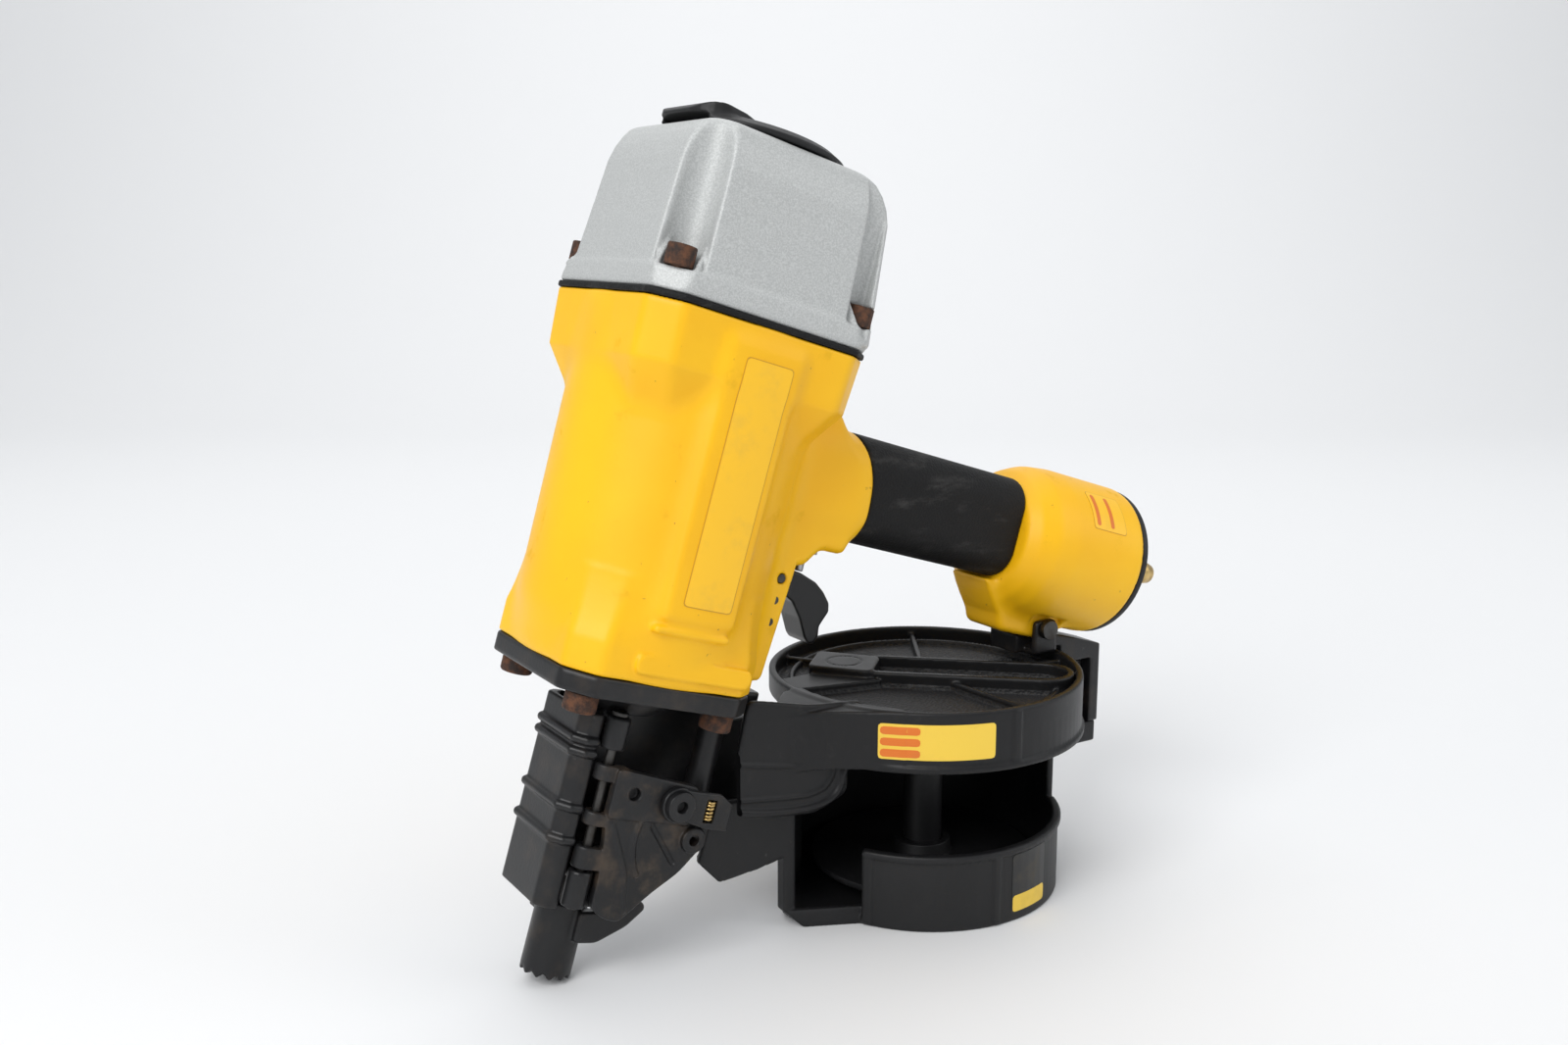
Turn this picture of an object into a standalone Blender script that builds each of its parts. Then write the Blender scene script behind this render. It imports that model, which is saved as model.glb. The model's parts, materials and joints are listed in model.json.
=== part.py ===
"""Coil nailer: a pneumatic nailer with a round coil magazine, as separate pieces in metres.

World frame: +Z up, the floor at z = 0, origin on the floor under the middle of the magazine,
+X towards the air inlet. The tool stands on its nose and on the magazine's flat base.
Tool frame: u towards the handle's end, v across (as world Y), w up the drive axis from the nose tip.
"""
import math

import bmesh
import bpy
from mathutils import Vector

MM = 0.001

# Stance and general fits
TILT = math.radians(17.09)
NOSE_TO_MAGAZINE = 191.8 * MM
GAP = 0.3 * MM
RUNNING = 0.3 * MM
MERGE = 0.001 * MM
FINE = 22
ROUND = 16
SMALL = 8

# Contact trip and nose
TIP_RADIUS = 10.5 * MM
TIP_BORE = 7.7 * MM
TIP_LENGTH = 31.0 * MM
TIP_TOOTH = 1.8 * MM
TIP_TEETH = 12
TRIP_TRAVEL = 12.0 * MM
TRIP_BAR_WIDTH = 12.0 * MM
TRIP_BAR_THICKNESS = 3.6 * MM
TRIP_STRAP_LEVEL = 92.0 * MM
TRIP_STRAP_HEIGHT = 7.0 * MM
TRIP_ROD_U = 60.0 * MM
TRIP_ROD_RADIUS = 2.2 * MM
TRIP_ROD_DROP = 20.7 * MM
TRIP_SPRING_WIRE = 0.7 * MM
SPRING_EAR = 4.5 * MM
DRIVE_BORE = 4.2 * MM
NOZZLE_END = 13.0 * MM
GUIDE_FRONT = 11.0 * MM
GUIDE_BACK = 9.0 * MM
GUIDE_NEAR = 9.0 * MM
GUIDE_TOP = 114.0 * MM
CHUTE_WALL_V = 8.0 * MM
CHUTE_WALL = 4.0 * MM
CHUTE_END_U = 50.0 * MM
FEED_SLOT_V = 4.0 * MM
KEEPER_U = 40.0 * MM
KEEPER_V = -14.0 * MM
KEEPER_RADIUS = 5.5 * MM
KEEPER_LOW = 73.5 * MM
FLANGE_UNDER = 121.5 * MM
FLANGE_THICKNESS = 8.2 * MM
FLANGE_HALF = 42.5 * MM
FLANGE_CHAMFER = 11.0 * MM
SPIGOT_HEIGHT = 8.0 * MM
NOSE_BOLT_OFFSET = 30.5 * MM
NOSE_BOLT_HEAD = 6.6 * MM
NOSE_BOLT_HEAD_HEIGHT = 7.5 * MM
NOSE_BOLT_SHANK = 3.4 * MM
NOSE_BOLT_REACH = 13.0 * MM
GUARD_FRONT = 21.5 * MM
GUARD_HALF = 20.0 * MM
GUARD_WALL = 2.6 * MM
GUARD_LOW = 33.0 * MM
GUARD_HIGH = 111.4 * MM
GUARD_RIB_V = 5.0 * MM
GUARD_BEADS = (60.5 * MM, 73.5 * MM, 95.5 * MM, 100.4 * MM)
BEAD = 1.5 * MM

# Nose door and latch
HINGE_U = -7.0 * MM
HINGE_V = -21.0 * MM
HINGE_PIN_RADIUS = 2.0 * MM
HINGE_PIN_HEAD = 3.4 * MM
KNUCKLE_RADIUS = 4.8 * MM
LOWER_KNUCKLE = (35.0 * MM, 50.0 * MM)
UPPER_KNUCKLE = (99.0 * MM, 112.0 * MM)
DOOR_KNUCKLES = ((51.0 * MM, 60.0 * MM), (68.5 * MM, 74.0 * MM), (86.5 * MM, 93.0 * MM))
DOOR_FACE_V = -28.0 * MM
DOOR_STRIP_THICKNESS = 5.0 * MM
DOOR_STRIP_LOW = 73.0 * MM
DOOR_STRIP_HIGH = 93.0 * MM
DOOR_STRIP_END = 33.0 * MM
DOOR_FAN_THICKNESS = 4.0 * MM
DOOR_FAN_END = 43.0 * MM
DOOR_FAN_LOW = 31.0 * MM
DOOR_RIB = 1.4 * MM
LATCH_U = 23.6 * MM
LATCH_W = 81.8 * MM
LATCH_PIN_RADIUS = 3.0 * MM
LATCH_PIN_HEAD = 6.6 * MM
LATCH_PIN_HEAD_HEIGHT = 2.4 * MM
LATCH_EYE = 7.4 * MM
LATCH_THICKNESS = 2.9 * MM
LATCH_END = 48.5 * MM
LATCH_SPRING_U = 38.5 * MM
LATCH_SPRING_RADIUS = 1.6 * MM
LATCH_SPRING_WIRE = 0.45 * MM
LATCH_SPRING_LENGTH = 9.4 * MM
STRIP_HOLE = 2.6 * MM
STRIP_HOLE_U = 4.5 * MM
STRIP_HOLE_W = 83.5 * MM
STOP_U = 36.0 * MM
STOP_W = 67.5 * MM
STOP_RADIUS = 5.4 * MM

# Housing
BODY_HEIGHT = 140.5 * MM
BARREL_FOOT_RADIUS = 43.0 * MM
BARREL_LOW_RADIUS = 48.0 * MM
BARREL_SHOULDER = 20.0 * MM
BARREL_HIGH_RADIUS = 49.2 * MM
HEAD_HALF = 50.0 * MM
HEAD_LOW_HALF = 48.8 * MM
HEAD_CHAMFER = 11.0 * MM
HEAD_HEIGHT = 23.0 * MM
HEAD_SLOPE = 18.0 * MM
FOOT_HEIGHT = 13.0 * MM
FOOT_SLOPE = 24.0 * MM
CHAMBER_RADIUS = 41.0 * MM
CHAMBER_FLOOR = 16.0 * MM
LOWER_BORE = 36.0 * MM
PANEL_HALF = 15.0 * MM
PANEL_FACE = 49.6 * MM
PANEL_RISE = 27.0 * MM
PANEL_DROP = 8.5 * MM
CHEEK_V = 15.5 * MM
CHEEK_WALL = 4.5 * MM
CHEEK_END = 56.0 * MM
CHEEK_START = 30.0 * MM
CHEEK_RISE = 4.0 * MM
CHEEK_OVER = 8.3 * MM
CHEEK_HOLE_DROPS = (18.5 * MM, 9.3 * MM)
ROOT_START = 31.0 * MM
ROOT_SHOULDER = 20.5 * MM
CHEEK_HOLE = 1.9 * MM

# Handle
HANDLE_W = 221.0 * MM
HANDLE_HALF_HEIGHT = 19.5 * MM
HANDLE_HALF_WIDTH = 17.0 * MM
HANDLE_BORE = 13.0 * MM
GRIP_HALF_HEIGHT = 23.2 * MM
GRIP_HALF_WIDTH = 20.6 * MM
GRIP_END = 171.5 * MM
COLLAR_NOSE = 86.0 * MM
COLLAR_NOSE_DROP = 10.0 * MM
COLLAR_FALL_HIGH = 5.0 * MM
COLLAR_FALL_LOW = 12.0 * MM
BELL_W = 217.0 * MM
BELL_RADIUS = 36.0 * MM
BELL_END = 238.0 * MM
BELL_BORE = 31.0 * MM
LUG_HALF = 13.0 * MM
LUG_DROP = 42.7 * MM
LUG_LEVEL = BELL_W - LUG_DROP
LUG_START = 182.0 * MM
LUG_BACK = 213.0 * MM
LUG_TOE = 6.0 * MM
LUG_END = 233.0 * MM
END_CAP_THICKNESS = 3.2 * MM
END_CAP_BOSS = 3.0 * MM
END_SCREWS = 3
END_SCREW_CIRCLE = 28.0 * MM
END_SCREW_SHANK = 1.7 * MM
END_SCREW_HEAD = 3.4 * MM
PLUG_SHANK = 5.2 * MM
PLUG_BORE = 3.0 * MM
PLUG_HEX = 8.0 * MM
PLUG_LENGTH = 36.0 * MM

# Trigger and its valve
TRIGGER_U = 51.5 * MM
TRIGGER_DROP = 43.3 * MM
TRIGGER_HALF = 8.5 * MM
TRIGGER_PIN_RADIUS = 1.9 * MM
STEM_U = 71.9 * MM
STEM_RADIUS = 2.2 * MM
STEM_OVER = 3.3 * MM
STEM_LENGTH = 21.5 * MM
BUSH_RADIUS = 6.5 * MM
BUSH_OVER = 8.5 * MM
BUSH_LENGTH = 14.0 * MM
BUSH_SHOWN = 3.0 * MM

# Cap, gasket and exhaust
GASKET_THICKNESS = 2.2 * MM
CAP_FLANGE_HEIGHT = 9.0 * MM
CAP_WALL_HEIGHT = 44.0 * MM
CAP_SHOULDER = 15.0 * MM
CAP_HALF_LOW = 48.0 * MM
CAP_HALF_HIGH = 44.5 * MM
CAP_TOP_HALF = 37.0 * MM
CAP_CORNER = 7.0 * MM
CAP_TOP_CORNER = 13.0 * MM
CAP_CAVITY = 38.0 * MM
CAP_CAVITY_HEIGHT = 45.0 * MM
CAP_BOLT_OFFSET = 41.3 * MM
CAP_BOLT_HEAD = 5.6 * MM
CAP_BOLT_HEAD_HEIGHT = 8.0 * MM
CAP_BOLT_SOCKET = 2.6 * MM
CAP_BOLT_SHANK = 3.0 * MM
CAP_BOLT_REACH = 14.0 * MM
FLUTE = 8.6 * MM
EXHAUST_HOLE = 5.0 * MM
EXHAUST_HOLE_CIRCLE = 20.0 * MM
DEFLECTOR_RADIUS = 37.5 * MM
DEFLECTOR_THICKNESS = 5.4 * MM
SPOUT_HALF = 21.5 * MM
SPOUT_REACH = 37.0 * MM
SPOUT_RISE = 3.2 * MM
SPOUT_ROOT = 7.0 * MM
SCREW_RADIUS = 3.0 * MM
SCREW_HEAD = 5.5 * MM

# Drive parts inside the housing
SLEEVE_BORE = 31.0 * MM
SLEEVE_WALL = 3.2 * MM
SLEEVE_TOP_DROP = 3.0 * MM
SLEEVE_COLLAR_W = 205.0 * MM
SLEEVE_COLLAR_HEIGHT = 6.0 * MM
BUMPER_HEIGHT = 20.0 * MM
BUMPER_BORE = 9.0 * MM
PISTON_HEIGHT = 13.0 * MM
PISTON_TOP_DROP = 2.0 * MM
RING_GROOVE = 3.0 * MM
DRIVER_RADIUS = 3.2 * MM
DRIVER_TIP = 112.0 * MM
HEAD_VALVE_BORE = 24.0 * MM
HEAD_VALVE_HEIGHT = 30.0 * MM
VALVE_SPRING_RADIUS = 31.0 * MM
VALVE_SPRING_WIRE = 1.0 * MM

# Magazine, in world sizes
CUP_RADIUS = 62.8 * MM
CUP_WALL = 3.0 * MM
CUP_FLOOR = 4.0 * MM
CUP_LOW_WALL = 34.9 * MM
CUP_HIGH_WALL = 91.0 * MM
CUP_LOW_START = math.radians(216.0)
CUP_LOW_END = math.radians(335.0)
CUP_HIGH_END = math.radians(515.0)
CUP_LEFT = 70.0 * MM
CUP_LEFT_NEAR = 14.0 * MM
CUP_SILL = 8.0 * MM
CHUTE_LOW = 37.0 * MM
CHUTE_KNEE_LEFT = -120.0 * MM
CHUTE_KNEE_RIGHT = -94.0 * MM
CHUTE_HIGH = 95.0 * MM
CHUTE_PLATE_V = 15.0 * MM
CHUTE_PLATE_HIGH = 62.0 * MM
POST_RADIUS = 9.0 * MM
POST_TOP = 88.0 * MM
PLATFORM_RADIUS = 52.0 * MM
PLATFORM_LEVEL = 10.0 * MM
PLATFORM_THICKNESS = 3.0 * MM
COVER_RADIUS = 71.9 * MM
COVER_WALL = 3.2 * MM
COVER_TOP = 101.8 * MM
COVER_DECK = 94.5 * MM
COVER_DECK_THICKNESS = 3.0 * MM
COVER_SKIRT = 75.6 * MM
COVER_SKIRT_START = math.radians(195.0)
COVER_SKIRT_END = math.radians(350.0)
COVER_RIBS = 9
RIB_WIDTH = 2.0 * MM
COVER_HUB = 16.0 * MM
CHANNEL_START = (-8.0 * MM, 9.0 * MM)
CHANNEL_END = (44.0 * MM, -40.0 * MM)
PAD_CORNERS = (
    (-30.0 * MM, 12.0 * MM), (-10.0 * MM, -11.0 * MM), (10.0 * MM, 11.0 * MM), (-10.0 * MM, 32.0 * MM),
)
CHANNEL_HALF = 9.0 * MM
CHANNEL_WALL = 2.4 * MM
ARM_FACE = 28.0 * MM
ARM_WALL = 3.0 * MM
ARM_EDGE_U = 49.4 * MM
ARM_LOW = 62.0 * MM
ARM_CORNER_X = -62.0 * MM
REAR_PIN_REACH = 17.1 * MM
REAR_PIN_RADIUS = 3.0 * MM
REAR_KNUCKLE = 6.0 * MM
REAR_KNUCKLE_LOW = 61.0 * MM
REAR_KNUCKLE_HIGH = 92.0 * MM
EAR_HALF = 8.0 * MM
EAR_LOW = 49.5 * MM
EAR_HIGH = 60.0 * MM
BRACKET_HALF = 9.0 * MM
BRACKET_LOW = 93.0 * MM
BRACKET_HIGH = 99.5 * MM
BRACKET_LEG = 6.0 * MM
BRACKET_EAR = 3.0 * MM
BRACKET_START = 196.0 * MM
BRACKET_BOLT_U = 207.0 * MM
BRACKET_BOLT_OVER = 5.7 * MM
BRACKET_BOLT_W = LUG_LEVEL + BRACKET_BOLT_OVER
BRACKET_BOLT_RADIUS = 2.5 * MM
BRACKET_BOLT_HEAD = 4.6 * MM

# Feed drive on the far side of the nose
FEED_W = 72.0 * MM
FEED_V = 24.0 * MM
FEED_RADIUS = 10.0 * MM
FEED_BORE = 7.0 * MM
FEED_START = 14.0 * MM
FEED_END = 47.0 * MM
FEED_HEAD = 4.0 * MM
FEED_PISTON = 11.0 * MM
FEED_SLOT_HALF = 3.0 * MM
FEED_SPRING_RADIUS = 4.6 * MM
FEED_SPRING_WIRE = 0.6 * MM

# Levels that follow from the sizes above
BODY_LOW = FLANGE_UNDER + FLANGE_THICKNESS + GAP
BODY_TOP = BODY_LOW + BODY_HEIGHT
GASKET_LOW = BODY_TOP + GAP
CAP_LOW = GASKET_LOW + GASKET_THICKNESS + GAP
CAP_SEAT = CAP_LOW + CAP_FLANGE_HEIGHT
CAP_EDGE = CAP_SEAT + CAP_WALL_HEIGHT
CAP_TOP = CAP_EDGE + CAP_SHOULDER
DEFLECTOR_LOW = CAP_TOP + GAP
DEFLECTOR_HIGH = DEFLECTOR_LOW + DEFLECTOR_THICKNESS
SPIGOT_TOP = FLANGE_UNDER + FLANGE_THICKNESS + SPIGOT_HEIGHT
SLEEVE_LOW = SPIGOT_TOP + GAP
SLEEVE_TOP = BODY_TOP - SLEEVE_TOP_DROP
PISTON_TOP = SLEEVE_TOP - PISTON_TOP_DROP
PISTON_LOW = PISTON_TOP - PISTON_HEIGHT
LATCH_FACE_V = DOOR_FACE_V - GAP
TRIP_BAR_V = CHUTE_WALL_V + CHUTE_WALL + 1.0 * MM
TRIP_ROD_V = TRIP_BAR_V + TRIP_BAR_THICKNESS
SPRING_EAR_LOW = FLANGE_UNDER + 0.5 * MM
GUIDE_LOW = TIP_LENGTH + TRIP_TRAVEL + 2.0 * MM
TRIGGER_W = HANDLE_W - TRIGGER_DROP
TRIP_ROD_TOP = TRIGGER_W - TRIP_ROD_DROP
STEM_LOW = TRIGGER_W + STEM_OVER
BUSH_LOW = STEM_LOW + BUSH_OVER
UNDERSIDE = BUSH_LOW + BUSH_SHOWN
CHEEK_HIGH = TRIGGER_W + CHEEK_OVER
CHEEK_LOW = BODY_LOW + CHEEK_RISE
PANEL_LOW = BODY_LOW + PANEL_RISE
PANEL_HIGH = BODY_TOP - PANEL_DROP
COLLAR_NOSE_W = HANDLE_W - COLLAR_NOSE_DROP
REAR_PIN_X = COVER_RADIUS + REAR_PIN_REACH

FINISHES = {
    "yellow_enamel": ((0.95, 0.50, 0.012), 0.35, 0.0),
    "cast_grey": ((0.50, 0.51, 0.51), 0.45, 0.6),
    "black_casting": ((0.025, 0.025, 0.027), 0.45, 0.3),
    "black_plastic": ((0.018, 0.018, 0.019), 0.5, 0.0),
    "black_rubber": ((0.022, 0.022, 0.023), 0.8, 0.0),
    "rusty_steel": ((0.16, 0.07, 0.04), 0.75, 0.5),
    "steel": ((0.45, 0.45, 0.46), 0.3, 1.0),
    "brass": ((0.60, 0.43, 0.16), 0.3, 1.0),
    "bumper_rubber": ((0.30, 0.10, 0.05), 0.7, 0.0),
}


def finish(name):
    """Return the Principled material of one finish, made on first use."""
    existing = bpy.data.materials.get(name)
    if existing:
        return existing
    colour, roughness, metallic = FINISHES[name]
    made = bpy.data.materials.new(name)
    made.use_nodes = True
    shader = made.node_tree.nodes["Principled BSDF"]
    shader.inputs["Base Color"].default_value = (*colour, 1.0)
    shader.inputs["Roughness"].default_value = roughness
    shader.inputs["Metallic"].default_value = metallic
    return made


def frame_empty(name, location, rotation):
    """Return an empty that carries a group of pieces."""
    empty = bpy.data.objects.new(name, None)
    empty.location = location
    empty.rotation_euler = rotation
    bpy.context.collection.objects.link(empty)
    return empty


def piece(name, solid, finish_name, parent, pivot=(0.0, 0.0, 0.0)):
    """Turn a bmesh into a named object with its origin at the pivot."""
    pivot = Vector(pivot)
    bmesh.ops.remove_doubles(solid, verts=solid.verts, dist=MERGE)
    bmesh.ops.recalc_face_normals(solid, faces=solid.faces)
    bmesh.ops.translate(solid, verts=solid.verts, vec=-pivot)
    mesh = bpy.data.meshes.new(name)
    solid.to_mesh(mesh)
    solid.free()
    mesh.shade_smooth()
    mesh.set_sharp_from_angle(angle=math.radians(35.0))
    made = bpy.data.objects.new(name, mesh)
    made.parent = parent
    made.location = pivot
    made.data.materials.append(finish(finish_name))
    bpy.context.collection.objects.link(made)
    return made


def guide(name, solid, target):
    """Return a helper solid in the target's frame, which isn't a piece itself."""
    helper = piece(name, solid, target.data.materials[0].name, target.parent, target.location)
    helper.hide_render = True
    helper.display_type = "WIRE"
    return helper


def combine(target, helpers, operation):
    """Join helpers to a piece, or cut them out of it, with one Boolean modifier."""
    name = f"{target.name}_{operation.lower()}_{len(target.modifiers)}"
    group = bpy.data.collections.new(name)
    for helper in helpers:
        group.objects.link(helper)
    step = target.modifiers.new(name, "BOOLEAN")
    step.operation = operation
    step.operand_type = "COLLECTION"
    step.collection = group


def helpers_of(target, solids, operation):
    """Return helper objects for solids, with names that tell what they do."""
    stage = len(target.modifiers)
    return [
        guide(f"{target.name}_{operation}_{stage}_{index}", solid, target)
        for index, solid in enumerate(solids)
    ]


def add(target, solids):
    """Join solids to a piece."""
    combine(target, helpers_of(target, solids, "add"), "UNION")


def cut(target, solids):
    """Cut solids out of a piece."""
    combine(target, helpers_of(target, solids, "cut"), "DIFFERENCE")


def oriented(points, level, axis):
    """Return 3-D points of a flat outline: (u, v) on w, (u, w) on v or (v, w) on u."""
    if axis == "w":
        return [(first, second, level) for first, second in points]
    if axis == "v":
        return [(first, level, second) for first, second in points]
    return [(level, first, second) for first, second in points]


def loft(loops):
    """Skin closed loops of equal length and cap both ends."""
    solid = bmesh.new()
    rings = [[solid.verts.new(point) for point in loop] for loop in loops]
    count = len(rings[0])
    for lower, upper in zip(rings, rings[1:]):
        for index in range(count):
            following = (index + 1) % count
            solid.faces.new((lower[index], lower[following], upper[following], upper[index]))
    solid.faces.new(reversed(rings[0]))
    solid.faces.new(rings[-1])
    return solid


def prism(points, low, high, axis="w"):
    """Extrude a flat outline between two levels of an axis."""
    solid = bmesh.new()
    base = solid.faces.new([solid.verts.new(point) for point in oriented(points, low, axis)])
    grown = bmesh.ops.extrude_face_region(solid, geom=[base])
    moved = [item for item in grown["geom"] if isinstance(item, bmesh.types.BMVert)]
    shift = Vector(oriented([(0.0, 0.0)], high - low, axis)[0])
    bmesh.ops.translate(solid, verts=moved, vec=shift)
    return solid


def box(u_span, v_span, w_span):
    """Return a block between three pairs of limits."""
    corners = [
        (u_span[0], v_span[0]), (u_span[1], v_span[0]), (u_span[1], v_span[1]), (u_span[0], v_span[1]),
    ]
    return prism(corners, w_span[0], w_span[1])


def turned(profile, centre=(0.0, 0.0, 0.0), axis="w", segments=FINE, ring=False):
    """Spin a (radius, height) profile round an axis through the centre."""
    solid = bmesh.new()
    verts = [solid.verts.new((radius, 0.0, height)) for radius, height in profile]
    edges = [solid.edges.new(pair) for pair in zip(verts, verts[1:])]
    if ring:
        edges.append(solid.edges.new((verts[-1], verts[0])))
    bmesh.ops.spin(
        solid,
        geom=verts + edges,
        cent=(0.0, 0.0, 0.0),
        axis=(0.0, 0.0, 1.0),
        angle=math.tau,
        steps=segments,
        use_merge=True,
    )
    bmesh.ops.remove_doubles(solid, verts=solid.verts, dist=MERGE)
    if axis == "u":
        for vert in solid.verts:
            vert.co = Vector((vert.co.z, vert.co.x, vert.co.y))
    if axis == "v":
        for vert in solid.verts:
            vert.co = Vector((vert.co.y, vert.co.z, vert.co.x))
    bmesh.ops.translate(solid, verts=solid.verts, vec=Vector(centre))
    return solid


def rod(radius, low, high, centre=(0.0, 0.0), axis="w", segments=ROUND):
    """Return a solid cylinder along an axis; the centre is given in the other two directions."""
    profile = [(0.0, low), (radius, low), (radius, high), (0.0, high)]
    places = {
        "w": (centre[0], centre[1], 0.0),
        "v": (centre[0], 0.0, centre[1]),
        "u": (0.0, centre[0], centre[1]),
    }
    return turned(profile, places[axis], axis, segments)


def arc(centre, radius, start, end, steps):
    """Return points on an arc, both ends included."""
    angles = [start + (end - start) * step / steps for step in range(steps + 1)]
    return [(centre[0] + radius * math.cos(a), centre[1] + radius * math.sin(a)) for a in angles]


def rounded(points, radius, steps=3):
    """Round each corner of an outline with an arc that touches both sides."""
    out = []
    count = len(points)
    for index, corner in enumerate(points):
        here = Vector(corner)
        back = Vector(points[index - 1]) - here
        ahead = Vector(points[(index + 1) % count]) - here
        opening = back.angle(ahead)
        reach = min(radius / math.tan(opening / 2), 0.49 * back.length, 0.49 * ahead.length)
        start = here + back.normalized() * reach
        end = here + ahead.normalized() * reach
        for step in range(steps + 1):
            t = step / steps
            out.append(tuple(start * (1 - t) ** 2 + here * 2 * t * (1 - t) + end * t ** 2))
    return out


def chamfered_square(half, chamfer):
    """Return a square outline with its corners cut at 45 degrees."""
    near = half - chamfer
    return [
        (half, -near), (half, near), (near, half), (-near, half),
        (-half, near), (-half, -near), (-near, -half), (near, -half),
    ]


def square_loft(sections):
    """Loft chamfered squares given as (w, half, chamfer)."""
    return loft(
        [oriented(chamfered_square(half, chamfer), level, "w") for level, half, chamfer in sections],
    )


def oblong(half_v, half_w, centre_w, corner):
    """Return a rounded rectangle in the (v, w) plane."""
    corners = [
        (half_v, centre_w - half_w), (half_v, centre_w + half_w),
        (-half_v, centre_w + half_w), (-half_v, centre_w - half_w),
    ]
    return rounded(corners, corner, 4)


def ring_sector(outer, inner, start, end, steps):
    """Return the outline of part of a flat ring."""
    far = arc((0.0, 0.0), outer, start, end, steps)
    near = arc((0.0, 0.0), inner, end, start, steps)
    return far + near


def sweep(points, radius, sides=4):
    """Carry a small polygon along points and close both ends: a wire or a bent rod."""
    places = [Vector(point) for point in points]
    last = len(places) - 1
    side = Vector((1.0, 0.0, 0.0))
    loops = []
    for index, place in enumerate(places):
        along = (places[min(index + 1, last)] - places[max(index - 1, 0)]).normalized()
        side = (side - along * side.dot(along)).normalized()
        up = along.cross(side)
        turns = [math.tau * corner / sides for corner in range(sides)]
        loops.append([place + (side * math.cos(turn) + up * math.sin(turn)) * radius for turn in turns])
    return loft(loops)


def helix(centre, radius, low, high, turns, axis="w", per_turn=8):
    """Return points on a coil between two levels of an axis."""
    points = []
    for step in range(turns * per_turn + 1):
        angle = math.tau * step / per_turn
        level = low + (high - low) * step / (turns * per_turn)
        across = (radius * math.cos(angle), radius * math.sin(angle))
        if axis == "w":
            points.append((centre[0] + across[0], centre[1] + across[1], level))
        else:
            points.append((level, centre[0] + across[0], centre[1] + across[1]))
    return points


def to_world(u, w):
    """Return world (x, z) of a tool-frame point."""
    x = u * math.cos(TILT) + w * math.sin(TILT) - NOSE_TO_MAGAZINE
    z = -u * math.sin(TILT) + w * math.cos(TILT) + TIP_RADIUS * math.sin(TILT)
    return x, z


def corner_places(offset):
    """Return the four bolt places round the drive axis."""
    return [(-offset, -offset), (offset, -offset), (offset, offset), (-offset, offset)]


def collar_edge(w):
    """Return the u of the yellow collar's rounded edge at a height w."""
    reach = GRIP_HALF_HEIGHT
    fall = COLLAR_FALL_HIGH if w > COLLAR_NOSE_W else COLLAR_FALL_LOW
    return COLLAR_NOSE - fall * ((w - COLLAR_NOSE_W) / reach) ** 2


def collar_outline(grow):
    """Return the (u, w) side outline that ends the collar, moved out by a clearance."""
    low = HANDLE_W - GRIP_HALF_HEIGHT - 4.0 * MM
    high = HANDLE_W + GRIP_HALF_HEIGHT + 4.0 * MM
    steps = 8
    levels = [low + (high - low) * step / steps for step in range(steps + 1)]
    edge = [(collar_edge(level) + grow, level) for level in levels]
    return [(20.0 * MM, low)] + edge + [(20.0 * MM, high)]


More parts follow.
